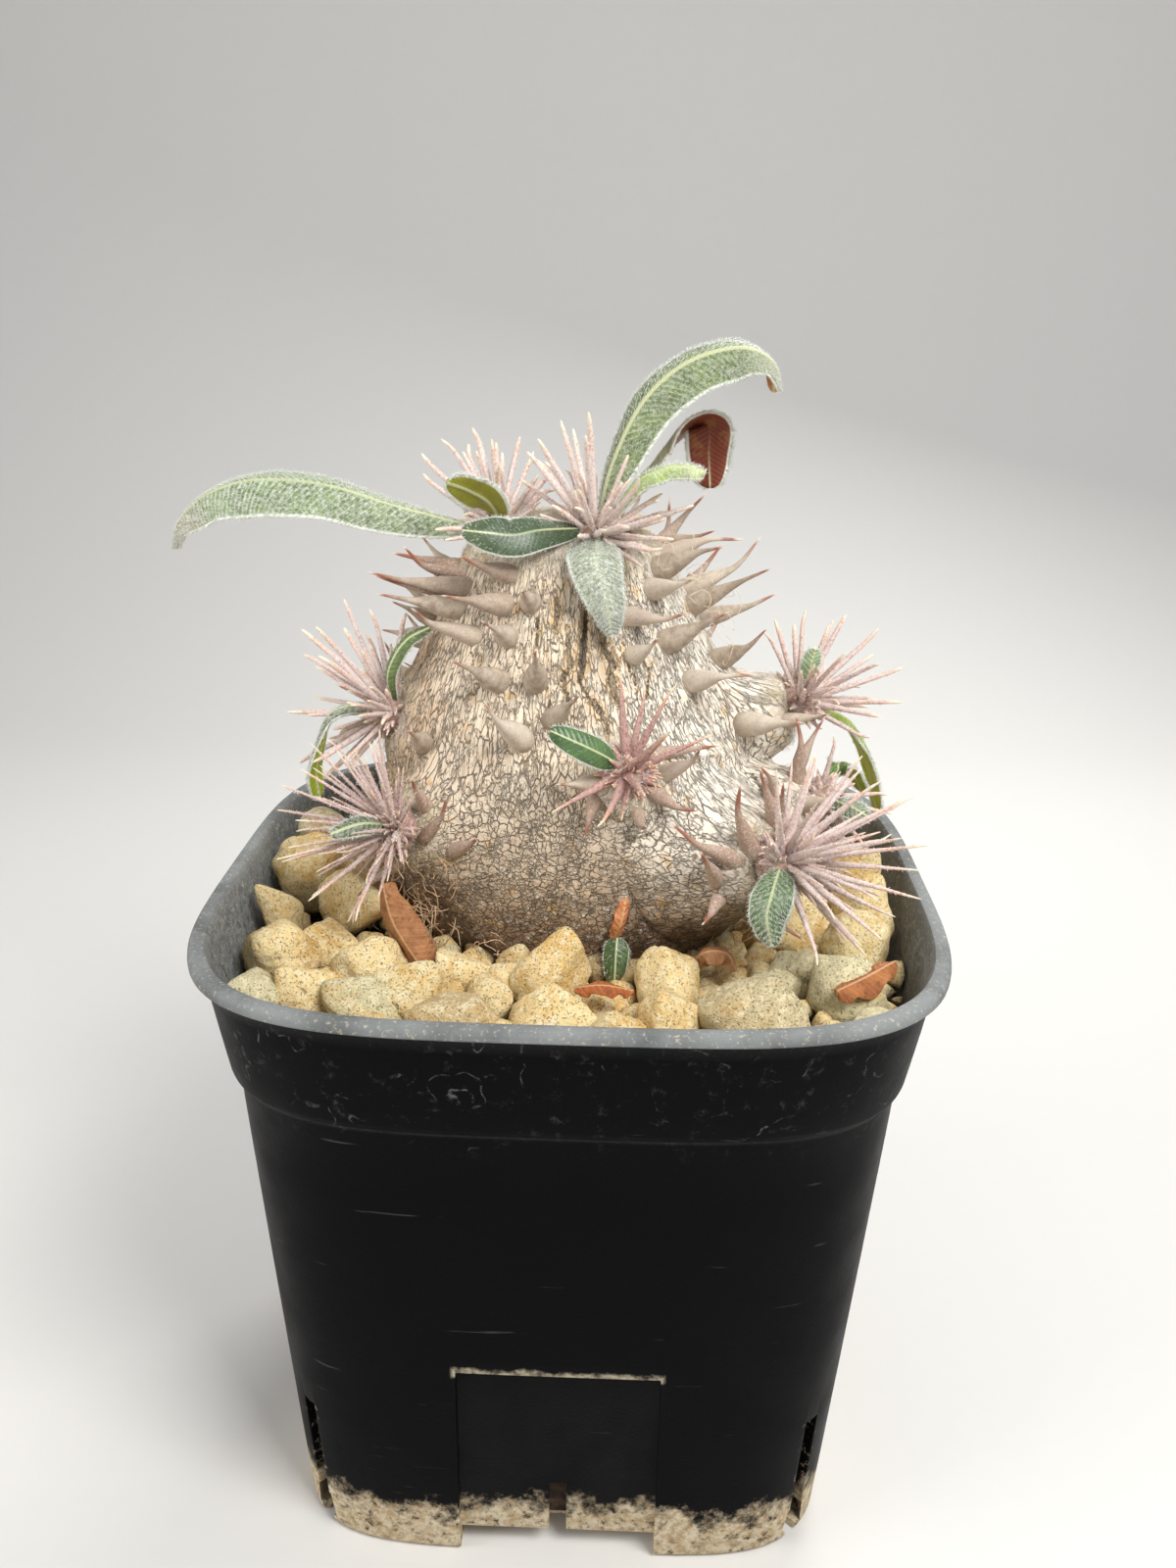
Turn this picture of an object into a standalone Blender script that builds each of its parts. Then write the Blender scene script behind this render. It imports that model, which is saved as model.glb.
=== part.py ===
"""A small pachypodium in a square plastic nursery pot, at its real size.

The frame is +Z up. The front of the object, the side with the low hanging leaf, faces -Y. Lengths below are
written in millimetres from the middle of the pot's foot, and turned into metres where the meshes are made.
At the end everything moves a few millimetres to the right, so that the origin lies under the middle of the
whole object, long leaf included, on the surface that the feet stand on.
"""

import math
import random

import bmesh
import bpy
import numpy as np
from mathutils import Matrix, Vector, noise
from mathutils.bvhtree import BVHTree

MM = 0.001
SEAT_GAP = 0.35  # between two pieces that touch
ROUGH_GAP = 0.5  # the same round the trunk, whose skin is uneven

# Pot
POT_HEIGHT = 80.0
RIM_HALF = 45.0
RIM_WIDTH = 1.9
RIM_DEPTH = 1.7
BASE_HALF = 34.3
BAND_LOW = 64.4
BAND_STEP = 1.1
BAND_HALF = 41.3
BODY_TOP_HALF = 40.3
WALL = 1.1
FLOOR_UNDER = 3.0
FLOOR_TOP = 4.1
FOOT_FLOOR = 1.2
PANEL_HALF = 12.2
PANEL_TOP = 30.0
PANEL_DEPTH = 1.4
PANEL_SLOT_HALF = 1.1
PANEL_SLOT_TOP = 11.0
CORNER_SLIT_HALF = 1.1
CORNER_SLIT_TOP = 20.0
CENTRE_HOLE = 4.5
SIDE_HOLE = 3.0
SIDE_HOLE_AT = 15.0
BASE_SQUARENESS = 5.0
RIM_SQUARENESS = 3.95
OUTLINE_POINTS = 36
FAR = 70.0  # past the pot's widest point, for cutters

# Soil and stones
SOIL_TOP = 66.0
BED_TOP = 69.5

# Trunk, as radii down its height, and its axis at the top and at the stones
TRUNK_PROFILE = (
    (124.2, 0.0), (123.8, 5.0), (122.3, 9.6), (119.5, 13.0), (114.0, 15.6), (109.0, 18.2), (103.5, 20.9),
    (98.0, 23.0), (92.0, 24.4), (86.0, 25.1), (79.0, 25.5), (73.0, 24.6), (68.0, 22.0), (62.0, 17.5),
    (54.0, 12.5), (44.0, 8.5), (32.0, 5.2), (20.0, 3.4), (16.0, 2.4), (14.6, 0.0),
)
TRUNK_TOP_X = -2.8
TRUNK_FOOT_X = -1.6
TRUNK_LEAN_FROM = 80.0
TRUNK_LEAN_TO = 121.0
TRUNK_Y = 13.0
TRUNK_STEPS = 28
SKIN_VOXEL = 1.5
SKIN_SMOOTHING = 6
SKIN_KEPT = 0.08

# Growing tips: centre, way that the tip points, core radius, arm radius at the trunk, needles, spread in
# degrees, shortest and longest needle
TIPS = {
    "crown_right": ((1.4, 6.4, 122.0), (0.24, -0.22, 0.94), 3.4, 0.0, 29, 76, 9.5, 15.5),
    "crown_left": ((-11.0, 12.0, 121.8), (-0.44, 0.0, 0.90), 3.2, 0.0, 23, 74, 8.5, 13.5),
    "left_upper": ((-24.6, 6.6, 98.4), (-0.86, -0.10, 0.50), 3.2, 7.5, 24, 74, 11.0, 15.5),
    "left_lower": ((-22.0, -9.2, 87.9), (-0.84, -0.46, 0.28), 3.2, 8.5, 25, 72, 11.0, 15.5),
    "front": ((6.4, -13.6, 97.6), (0.10, -0.78, 0.62), 2.6, 5.0, 13, 78, 7.5, 11.0),
    "right_lower": ((24.6, -17.0, 88.2), (0.82, -0.42, 0.26), 3.6, 11.0, 28, 74, 11.5, 17.0),
    "right_upper": ((28.6, 8.0, 100.8), (0.74, 0.0, 0.66), 3.3, 8.0, 24, 76, 9.5, 13.5),
    "right_middle": ((31.0, 0.6, 90.0), (0.92, -0.05, 0.38), 2.6, 6.5, 9, 70, 7.5, 10.0),
    "back_left": ((-15.0, 33.0, 95.0), (-0.42, 0.78, 0.45), 3.2, 7.5, 18, 74, 8.0, 11.5),
    "back_right": ((14.5, 34.0, 89.5), (0.45, 0.78, 0.42), 3.2, 8.0, 18, 74, 8.0, 11.5),
}
CROWNS = ("crown_right", "crown_left")
ARM_ROOT_DEPTH = 13.0
ARM_ROOT_DROP = 3.0
ARM_END_SWELL = 1.3
ARM_END_BACK = 0.45

# Leaves: the tip that bears it, points along the midrib, half width, ways that the upper face looks from its
# base to its point, and fold
LEAVES = {
    "leaf_crown_long": (
        "crown_left",
        (
            (-16.0, 11.5, 121.6), (-24.5, 10.9, 124.4), (-33.0, 9.8, 127.0), (-41.5, 9.0, 127.6),
            (-47.5, 7.6, 125.9), (-51.0, 6.5, 122.6), (-51.8, 6.0, 119.4),
        ),
        4.1, ((0.0, -0.54, 0.84), (-0.15, -0.54, 0.80), (-0.95, -0.25, 0.20)), 0.60,
    ),
    "leaf_crown_tall": (
        "crown_right",
        (
            (2.5, 7.9, 126.0), (3.7, 9.0, 130.9), (7.2, 10.0, 138.1), (12.3, 10.0, 142.8),
            (18.6, 10.0, 144.7), (22.6, 10.0, 143.2), (23.7, 10.0, 139.8),
        ),
        4.2, ((-0.75, -0.62, 0.10), (-0.49, -0.70, 0.64), (0.75, 0.20, 0.60)), 0.55,
    ),
    "leaf_crown_curled": (
        "crown_right",
        (
            (3.6, 9.6, 125.4), (7.1, 14.0, 127.8), (9.7, 15.5, 131.4), (13.0, 16.5, 135.4),
            (15.6, 17.0, 135.4), (15.9, 17.0, 131.4), (16.2, 16.4, 127.0),
        ),
        3.5, ((-0.60, -0.20, 0.60), (0.05, 0.30, 0.95), (0.25, 0.95, 0.10)), 0.15,
    ),
    "leaf_crown_short": (
        "crown_right",
        ((5.0, 5.6, 126.0), (6.6, 4.6, 128.8), (9.4, 3.8, 130.4), (12.0, 3.2, 130.9), (14.7, 2.6, 130.4)),
        1.6, ((-0.30, -0.50, 0.80),), 0.30,
    ),
    "leaf_crown_olive": (
        "crown_left",
        ((-10.4, 9.4, 124.4), (-11.8, 6.6, 126.2), (-14.2, 4.4, 127.9), (-16.6, 3.0, 128.9)),
        2.4, ((0.20, 0.80, 0.10), (0.25, 0.90, 0.20)), 0.15,
    ),
    "leaf_crown_dark": (
        "crown_right",
        (
            (-1.8, 3.0, 124.0), (-5.0, 0.2, 123.5), (-8.2, -1.8, 123.2), (-11.2, -2.9, 123.6),
            (-14.2, -3.2, 123.9),
        ),
        2.6, ((-0.10, -0.85, 0.50),), 0.20,
    ),
    "leaf_crown_silver": (
        "crown_right",
        ((1.4, 2.4, 122.0), (1.6, -1.6, 121.2), (2.3, -4.2, 118.9), (3.5, -5.4, 115.3), (4.1, -5.6, 112.2)),
        3.3, ((0.0, -0.30, 0.95), (0.0, -0.95, 0.25)), 0.22,
    ),
    "leaf_crown_back": (
        "crown_left",
        ((-12.6, 15.8, 123.6), (-13.6, 21.8, 123.4), (-13.6, 28.4, 119.8), (-13.0, 32.8, 113.6)),
        3.2, ((0.0, 0.10, 0.95), (0.0, 0.90, 0.35)), 0.15,
    ),
    "leaf_shoulder_left": (
        "left_upper",
        (
            (-24.0, 4.4, 101.4), (-24.5, 3.4, 103.8), (-23.6, 3.0, 106.6), (-21.8, 3.2, 109.0),
            (-19.2, 3.8, 110.4),
        ),
        1.1, ((-0.60, -0.75, 0.10),), 0.30,
    ),
    "leaf_left_drooping": (
        "left_upper",
        (
            (-27.2, 4.6, 99.4), (-29.9, 2.8, 99.8), (-32.2, 1.8, 98.6), (-33.5, 1.2, 95.4),
            (-34.3, 0.8, 91.6), (-33.9, 0.8, 88.1),
        ),
        1.9, ((-0.20, -0.55, 0.80), (-0.75, 0.0, 0.65), (-0.85, 0.50, 0.20)), 0.20,
    ),
    "leaf_left_low": (
        "left_lower", ((-23.6, -12.2, 89.6), (-25.6, -14.2, 90.2), (-28.9, -15.4, 89.3)),
        1.4, ((-0.10, -0.75, 0.65),), 0.20,
    ),
    "leaf_front": (
        "front", ((4.4, -15.2, 99.6), (2.2, -16.8, 101.2), (-2.6, -18.2, 103.8)),
        1.8, ((0.10, -0.85, 0.50),), 0.15,
    ),
    "leaf_right_low": (
        "right_lower", ((24.2, -20.8, 88.4), (23.2, -23.6, 87.0), (22.6, -25.0, 84.4), (23.3, -25.4, 81.2)),
        2.5, ((-0.20, -0.60, 0.75), (-0.25, -0.95, 0.20)), 0.25,
    ),
    "leaf_right_rim": (
        "right_upper", ((32.0, 8.4, 99.6), (35.6, 9.0, 97.4), (39.0, 10.0, 91.3), (40.8, 11.0, 84.2)),
        1.8, ((0.55, -0.20, 0.80), (0.75, 0.60, 0.25)), 0.30,
    ),
    "leaf_right_mid": (
        "right_middle", ((32.6, 2.6, 91.8), (33.8, 3.6, 93.6), (35.8, 4.0, 92.6), (37.4, 4.0, 89.8)),
        1.8, ((0.50, 0.20, 0.70), (0.70, 0.60, 0.30)), 0.20,
    ),
    "leaf_right_grey": (
        "right_middle", ((32.6, -1.8, 90.4), (34.4, -4.4, 90.6), (36.4, -5.8, 89.8)),
        1.5, ((0.0, -0.70, 0.70),), 0.20,
    ),
    "leaf_right_small": (
        "right_upper", ((29.2, 6.4, 104.0), (29.4, 5.6, 106.4), (29.8, 5.2, 108.6)),
        1.2, ((0.10, -0.90, 0.30),), 0.20,
    ),
    "leaf_back_left": (
        "back_left", ((-17.4, 36.0, 97.2), (-20.0, 38.2, 99.6), (-22.8, 39.8, 99.0), (-24.6, 40.8, 95.6)),
        2.0, ((-0.20, 0.40, 0.85), (-0.60, 0.60, 0.50)), 0.25,
    ),
    "leaf_back_right": (
        "back_right", ((17.0, 37.0, 91.4), (19.4, 39.0, 93.4), (22.4, 40.4, 92.4), (24.2, 41.0, 89.0)),
        2.0, ((0.20, 0.40, 0.85), (0.60, 0.60, 0.50)), 0.25,
    ),
    "leaf_base": (
        None, ((5.6, -13.2, 76.0), (5.5, -14.6, 74.2), (5.4, -16.0, 70.0)),
        1.6, ((0.0, -0.80, 0.50),), 0.20,
    ),
}
# Dry leaves: points along the midrib, half width, way that the upper face looks, and fold
DRY_LEAVES = {
    "dry_leaf_left": (
        ((-23.2, -12.4, 82.0), (-21.8, -14.0, 77.6), (-19.0, -15.2, 73.4), (-16.4, -15.8, 69.9)),
        2.4, ((-0.45, -0.80, 0.40),), 0.70,
    ),
    "dry_leaf_middle": (
        ((14.8, -16.6, 74.4), (16.4, -17.8, 76.4), (18.6, -18.0, 76.4), (19.8, -17.4, 74.2)),
        1.4, ((0.0, -0.60, 0.80),), 0.50,
    ),
    "dry_leaf_right": (
        ((31.0, -25.6, 75.6), (34.6, -23.4, 76.4), (38.4, -20.2, 77.0)),
        1.8, ((-0.2, -0.40, 0.90),), 0.60,
    ),
    "dry_leaf_far_left": (
        ((-39.4, 5.6, 78.2), (-37.2, 6.6, 79.6), (-35.0, 8.4, 79.8)),
        1.4, ((0.1, -0.50, 0.85),), 0.50,
    ),
    "dry_leaf_scrap": (
        ((1.0, -26.4, 75.4), (4.2, -26.8, 76.0), (7.6, -26.2, 75.2)),
        1.0, ((0.1, -0.30, 0.95),), 0.40,
    ),
}
LEAF_THICKNESS = 0.7
LEAF_EXTRA_STATIONS = 2  # past the points on its midrib
LEAF_EDGE_WIDTH = 0.45
LEAF_SHOULDER = 0.65
LEAF_TAPER = 0.80

# Stones that the front shows and the row close behind the front rim, as x, y, height of the middle, length,
# width, height, turn in degrees
STONES = (
    (-35.6, -15.2, 73.4, 11.0, 9.0, 9.0, 60), (-31.0, -10.4, 72.0, 8.5, 8.0, 8.0, 20),
    (-24.8, -15.4, 71.8, 9.5, 8.5, 8.0, 0), (-29.6, -1.4, 75.0, 12.0, 9.0, 9.5, -30),
    (-36.0, 5.6, 76.0, 9.0, 9.5, 10.0, 40), (-37.6, -4.6, 73.4, 6.5, 7.5, 8.0, 10),
    (-36.6, 14.6, 77.6, 8.0, 8.5, 9.0, 70), (-31.0, -22.5, 71.8, 8.0, 7.5, 7.5, 35),
    (-24.6, -24.4, 72.0, 9.5, 7.5, 7.5, -15), (-18.4, -22.4, 71.8, 8.0, 7.0, 8.0, 50),
    (-13.6, -16.6, 71.4, 7.0, 6.5, 7.5, 0), (-7.6, -17.2, 71.0, 6.6, 6.2, 6.6, 30),
    (-2.4, -18.6, 72.6, 11.5, 8.5, 9.5, 55), (-9.6, -22.2, 71.2, 6.5, 6.5, 7.5, 15),
    (-13.0, -28.6, 72.0, 10.5, 7.5, 7.5, 5), (-2.2, -28.2, 72.0, 9.5, 7.0, 7.0, -10),
    (5.8, -30.4, 71.8, 9.5, 6.5, 6.5, 0), (4.0, -22.8, 70.6, 6.0, 5.5, 6.0, 25),
    (11.8, -27.4, 72.2, 9.0, 7.5, 8.0, 65), (11.8, -18.6, 72.4, 9.6, 8.6, 9.5, 20),
    (22.0, -26.2, 72.6, 14.5, 8.5, 9.0, -8), (32.6, -20.2, 74.0, 11.5, 9.5, 11.0, -50),
    (35.4, -9.4, 74.6, 8.5, 8.0, 9.0, 25), (37.2, -1.6, 76.0, 7.0, 8.0, 9.5, 70),
    (37.6, 6.4, 77.0, 7.0, 8.5, 9.0, 80), (35.4, -28.6, 71.4, 8.0, 7.5, 8.0, 40),
    (-37.0, -24.4, 71.4, 8.0, 8.0, 8.0, 20), (29.0, -12.6, 71.0, 8.0, 7.0, 6.5, 0),
    (-35.0, -31.5, 70.6, 7.0, 6.5, 6.0, 0), (27.5, -33.0, 71.0, 8.0, 6.0, 6.0, 10),
    (-27.5, -35.0, 70.9, 9.0, 8.0, 7.5, 25), (-18.4, -36.4, 70.8, 9.5, 7.0, 7.0, -12),
    (-8.6, -36.0, 71.2, 9.0, 7.5, 8.0, 30), (1.4, -36.6, 70.8, 10.0, 7.0, 7.0, 5),
    (11.6, -36.0, 71.0, 9.0, 7.5, 7.5, -25), (20.4, -35.6, 70.8, 8.0, 7.5, 7.0, 40),
)
BACK_STONES = 15
BACK_STONE_FROM_Y = 17.0
STONE_LOW, STONE_HIGH = 9.5, 12.5
STONE_ROUGHNESS = 0.16
STONE_SQUARENESS = 0.80
STONE_SINK = 1.5

# Old thorns that the front shows: height, turn about the trunk (0 is +X, -90 the front), rise and sideways
# turn in degrees, and length
THORNS = (
    (117.0, -171, 15, 20, 8.5), (116.5, -155, 18, 7, 8.5), (115.5, -146, 9, -12, 12.0),
    (114.5, -153, 13, 7, 10.5), (113.0, -146, 14, 2, 10.5), (118.0, -117, 20, -18, 8.0),
    (118.5, -104, 42, -26, 9.0), (114.5, -117, 13, -23, 8.5), (110.0, -172, 26, 38, 7.0),
    (110.5, -129, 20, -17, 9.5), (111.0, -111, 24, 3, 7.5), (106.0, -112, 27, -19, 7.5),
    (106.5, -98, 39, 11, 7.5), (100.0, -102, 35, -22, 8.0), (102.5, -91, 35, 32, 7.0),
    (97.0, -138, 30, 38, 6.0), (107.0, -179, 0, -33, 7.0), (115.0, -103, 26, 5, 5.5),
    (117.5, -84, 47, -37, 9.0), (119.0, -12, 26, -10, 9.5), (118.0, -28, 27, -2, 9.5),
    (120.0, 6, 14, -30, 7.5), (116.0, -40, 16, -10, 8.5), (114.0, 4, 21, 10, 11.5),
    (112.5, -8, 30, -14, 11.5), (110.0, 6, 12, 6, 10.5), (113.5, -59, 4, 21, 9.0),
    (110.0, -41, 30, 10, 9.0), (109.0, -60, 28, 2, 6.5), (106.0, -12, 28, -30, 8.0),
    (105.0, -37, 19, -12, 9.0), (99.0, -23, 15, -26, 9.0), (92.0, -33, 46, -66, 6.5),
    (91.5, -45, 60, -80, 9.0), (90.0, -53, 60, -80, 9.0), (89.0, -57, 28, -88, 8.5),
    (86.5, -59, 44, -56, 6.5), (83.5, -58, -8, -50, 6.0), (93.0, -24, 74, -60, 8.0),
    (89.5, -38, 62, -54, 7.0), (84.0, -47, -60, 0, 6.5), (81.0, -40, -50, -20, 6.0),
    (91.0, -127, 52, 16, 6.0), (88.0, -124, 48, 80, 6.5), (86.0, -118, 30, 66, 6.0),
    (95.0, -66, -12, 20, 6.0), (94.0, -80, -28, -20, 6.0), (98.5, -61, 10, 60, 7.0),
)
# Thorns that the front doesn't show follow a rule: height of the row and thorns in it, round the back half
THORN_ROWS = ((118.0, 5), (114.5, 4), (111.0, 5), (107.0, 4), (102.0, 4), (97.0, 3))
THORN_BACK_FROM, THORN_BACK_TO = 24, 172
THORN_LENGTH = (7.5, 10.0)
THORN_GIRTH = 1.35
THORN_SIDES = 4
THORN_RISE = 0.35
ARM_THORNS = 4
ARM_THORN_LENGTH = (6.0, 9.0)
ARM_THORN_GIRTH = 1.0
ROOT_SINK = 1.6
LOWEST_THORN = 78.5
NEEDLE_GIRTH = 0.66
NEEDLE_SIDES = 3
CLEAR_OF_LEAF = 0.80
CLEAR_SAMPLES = 15

# Colours, as linear values
BLACK_PLASTIC = (0.012, 0.012, 0.014)
POTTING_MIX = (0.085, 0.055, 0.035)
CREAM_STONE = (0.55, 0.43, 0.24)
GREY_BARK = (0.42, 0.35, 0.27)
MAUVE_NEEDLE = (0.40, 0.25, 0.25)
GREEN_LEAF = (0.10, 0.19, 0.07)
SILVER_LEAF = (0.30, 0.38, 0.28)
BROWN_LEAF = (0.30, 0.12, 0.045)


def clear_scene():
    for obj in list(bpy.data.objects):
        bpy.data.objects.remove(obj)


def collection(name):
    found = bpy.data.collections.new(name)
    bpy.context.scene.collection.children.link(found)
    return found


def material(name, colour, roughness):
    """A Principled finish in one plain colour."""
    made = bpy.data.materials.new(name)
    made.use_nodes = True
    shader = made.node_tree.nodes["Principled BSDF"]
    shader.inputs["Base Color"].default_value = (*colour, 1.0)
    shader.inputs["Roughness"].default_value = roughness
    return made


def mesh_object(name, shape, group):
    """Moves a bmesh, written in millimetres, into a new object in metres."""
    bmesh.ops.scale(shape, vec=(MM, MM, MM), verts=shape.verts)
    mesh = bpy.data.meshes.new(name)
    shape.to_mesh(mesh)
    shape.free()
    obj = bpy.data.objects.new(name, mesh)
    group.objects.link(obj)
    return obj


def settle(obj):
    """Applies the object's modifiers to its mesh."""
    graph = bpy.context.evaluated_depsgraph_get()
    mesh = bpy.data.meshes.new_from_object(obj.evaluated_get(graph))
    obj.modifiers.clear()
    obj.data = mesh
    return obj


def combine(obj, others, operation, solver="EXACT"):
    """Cuts, joins or keeps what is common, and removes the other objects."""
    for other in others:
        modifier = obj.modifiers.new(operation.lower(), "BOOLEAN")
        modifier.operation = operation
        modifier.solver = solver
        modifier.object = other
    settle(obj)
    for other in others:
        bpy.data.objects.remove(other)
    return obj


def join_repeats(obj, repeats):
    """One Boolean union of a whole collection of repeats with what they grow from."""
    modifier = obj.modifiers.new("repeats", "BOOLEAN")
    modifier.operation = "UNION"
    modifier.solver = "MANIFOLD"
    modifier.operand_type = "COLLECTION"
    modifier.collection = repeats
    settle(obj)
    for repeat in list(repeats.objects):
        bpy.data.objects.remove(repeat)
    bpy.data.collections.remove(repeats)
    return obj


def drop_scraps(obj):
    """Keeps a mesh's largest body and drops the crumbs that trimming left loose."""
    shape = bmesh.new()
    shape.from_mesh(obj.data)
    left = set(shape.verts)
    bodies = []
    while left:
        edge = [left.pop()]
        body = set(edge)
        while edge:
            near = {e.other_vert(vert) for vert in edge for e in vert.link_edges} - body
            body |= near
            left -= near
            edge = list(near)
        bodies.append(body)
    bodies.sort(key=len)
    for body in bodies[:-1]:
        bmesh.ops.delete(shape, geom=list(body), context="VERTS")
    shape.to_mesh(obj.data)
    shape.free()
    return obj


def finish(obj, finish_material, smooth_angle=50):
    obj.data.materials.clear()
    obj.data.materials.append(finish_material)
    obj.data.shade_smooth()
    obj.data.set_sharp_from_angle(angle=math.radians(smooth_angle))
    return obj


# Pot

def squareness(z):
    return BASE_SQUARENESS + (RIM_SQUARENESS - BASE_SQUARENESS) * min(max(z / POT_HEIGHT, 0.0), 1.0)


def body_half(z):
    """Half width of the pot's tapered body below the rim band."""
    return BASE_HALF + (BODY_TOP_HALF - BASE_HALF) * z / BAND_LOW


def inner_half(z):
    """Half width of the pot's inside."""
    if z <= BAND_LOW:
        return body_half(z) - WALL
    top = RIM_HALF - RIM_WIDTH
    low = BAND_HALF - WALL
    return low + (top - low) * (z - BAND_LOW) / (POT_HEIGHT - BAND_LOW)


def outline(half, z):
    """A rounded square at height z: a superellipse whose corners tighten towards the base."""
    power = 2.0 / squareness(z)
    points = []
    for index in range(OUTLINE_POINTS):
        turn = 2 * math.pi * (index + 0.5) / OUTLINE_POINTS
        c, s = math.cos(turn), math.sin(turn)
        x = math.copysign(abs(c) ** power, c)
        y = math.copysign(abs(s) ** power, s)
        points.append(Vector((half * x, half * y, z)))
    return points


def loft(name, rings, group):
    """A closed solid through rings of points, listed from the lowest to the highest."""
    shape = bmesh.new()
    loops = [[shape.verts.new(point) for point in ring] for ring in rings]
    for lower, upper in zip(loops, loops[1:]):
        count = len(lower)
        for index in range(count):
            after = (index + 1) % count
            shape.faces.new((lower[index], lower[after], upper[after], upper[index]))
    shape.faces.new(list(reversed(loops[0])))
    shape.faces.new(loops[-1])
    return mesh_object(name, shape, group)


def box(name, low, high, group, turn=0.0):
    """A box between two corners, turned about the vertical axis."""
    shape = bmesh.new()
    bmesh.ops.create_cube(shape, size=1.0)
    low, high = Vector(low), Vector(high)
    bmesh.ops.scale(shape, vec=high - low, verts=shape.verts)
    bmesh.ops.translate(shape, vec=(low + high) / 2, verts=shape.verts)
    bmesh.ops.rotate(shape, matrix=Matrix.Rotation(turn, 3, "Z"), verts=shape.verts)
    return mesh_object(name, shape, group)


def side_wedge(name, half_width, inset, low, high, turn, group):
    """A block outside one side wall, whose inner face follows the wall's slope at the given inset."""
    shape = bmesh.new()
    bmesh.ops.create_cube(shape, size=2.0)
    for vert in shape.verts:
        z = high if vert.co.z > 0 else low
        y = -(body_half(z) - inset) if vert.co.y > 0 else -FAR
        vert.co = Vector((math.copysign(half_width, vert.co.x), y, z))
    bmesh.ops.rotate(shape, matrix=Matrix.Rotation(turn, 3, "Z"), verts=shape.verts)
    return mesh_object(name, shape, group)


def quarter_turns():
    return [index * math.pi / 2 for index in range(4)]


def cavity(group, shrink, low, high, panel_gap):
    """The pot's inside between two heights, pulled in by shrink and kept clear of the side panels."""
    levels = [low, BAND_LOW, BAND_LOW + BAND_STEP, high]
    levels = [z for z in levels if low <= z <= high]
    rings = [outline(inner_half(z) - shrink, z) for z in sorted(set(levels))]
    inside = loft("cavity", rings, group)
    if low < PANEL_TOP:
        half_width = PANEL_HALF + WALL + panel_gap
        inset = PANEL_DEPTH + WALL + panel_gap
        top = PANEL_TOP + WALL + panel_gap
        blocks = [
            side_wedge("panel_back", half_width, inset, low - 1.0, top, turn, group)
            for turn in quarter_turns()
        ]
        combine(inside, blocks, "DIFFERENCE")
    return inside


def hole(radius, x, y, group):
    shape = bmesh.new()
    bmesh.ops.create_cone(shape, cap_ends=True, segments=12, radius1=radius, radius2=radius, depth=10.0)
    bmesh.ops.translate(shape, vec=(x, y, FLOOR_UNDER), verts=shape.verts)
    return mesh_object("hole", shape, group)


def make_pot(parts, cutters):
    """The moulded pot: tapered body, rim band, flange, panels, slots, corner slits and four hollow feet."""
    edge = 0.7
    rings = [
        outline(BASE_HALF - edge, 0.0),
        outline(BASE_HALF, edge),
        outline(BODY_TOP_HALF, BAND_LOW),
        outline(BAND_HALF, BAND_LOW + BAND_STEP),
        outline(RIM_HALF - 1.4, POT_HEIGHT - RIM_DEPTH - 0.2),
        outline(RIM_HALF, POT_HEIGHT - RIM_DEPTH),
        outline(RIM_HALF, POT_HEIGHT - 0.4),
        outline(RIM_HALF - 0.4, POT_HEIGHT),
    ]
    pot = loft("pot", rings, parts)
    inside = cavity(cutters, 0.0, FLOOR_TOP, POT_HEIGHT + 1.0, 0.0)
    corner_in, corner_out = PANEL_HALF + WALL, body_half(FOOT_FLOOR) - WALL - 2.2
    pocket_low = (corner_in, corner_in, FOOT_FLOOR)
    pocket_high = (corner_out, corner_out, FLOOR_TOP + 1.0)
    pockets = [box("foot_pocket", pocket_low, pocket_high, cutters, turn) for turn in quarter_turns()]
    cuts = [inside, *pockets]
    cuts.append(box("under_x", (-PANEL_HALF, -FAR, -1.0), (PANEL_HALF, FAR, FLOOR_UNDER), cutters))
    cuts.append(box("under_y", (-FAR, -PANEL_HALF, -1.0), (FAR, PANEL_HALF, FLOOR_UNDER), cutters))
    for turn in quarter_turns():
        cuts.append(side_wedge("panel", PANEL_HALF, PANEL_DEPTH, -1.0, PANEL_TOP, turn, cutters))
        slot_in = -(BASE_HALF - PANEL_DEPTH - 2 * WALL)
        slot_low = (-PANEL_SLOT_HALF, -FAR, -1.0)
        cuts.append(box("slot", slot_low, (PANEL_SLOT_HALF, slot_in, PANEL_SLOT_TOP), cutters, turn))
        corner = (BASE_HALF - 2 * WALL) * 2 ** (0.5 - 1 / BASE_SQUARENESS)
        slit_low = (-CORNER_SLIT_HALF, -FAR, -1.0)
        slit_high = (CORNER_SLIT_HALF, -corner, CORNER_SLIT_TOP)
        cuts.append(box("slit", slit_low, slit_high, cutters, turn + math.pi / 4))
        cuts.append(hole(SIDE_HOLE, SIDE_HOLE_AT * math.cos(turn), SIDE_HOLE_AT * math.sin(turn), cutters))
    cuts.append(hole(CENTRE_HOLE, 0.0, 0.0, cutters))
    return combine(pot, cuts, "DIFFERENCE")


# Trunk

def trunk_x(z):
    """Where the leaning trunk's axis stands at height z."""
    share = min(max((z - TRUNK_LEAN_FROM) / (TRUNK_LEAN_TO - TRUNK_LEAN_FROM), 0.0), 1.0)
    return TRUNK_FOOT_X + (TRUNK_TOP_X - TRUNK_FOOT_X) * share


def tip_axis(name):
    return Vector(TIPS[name][1]).normalized()


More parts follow.
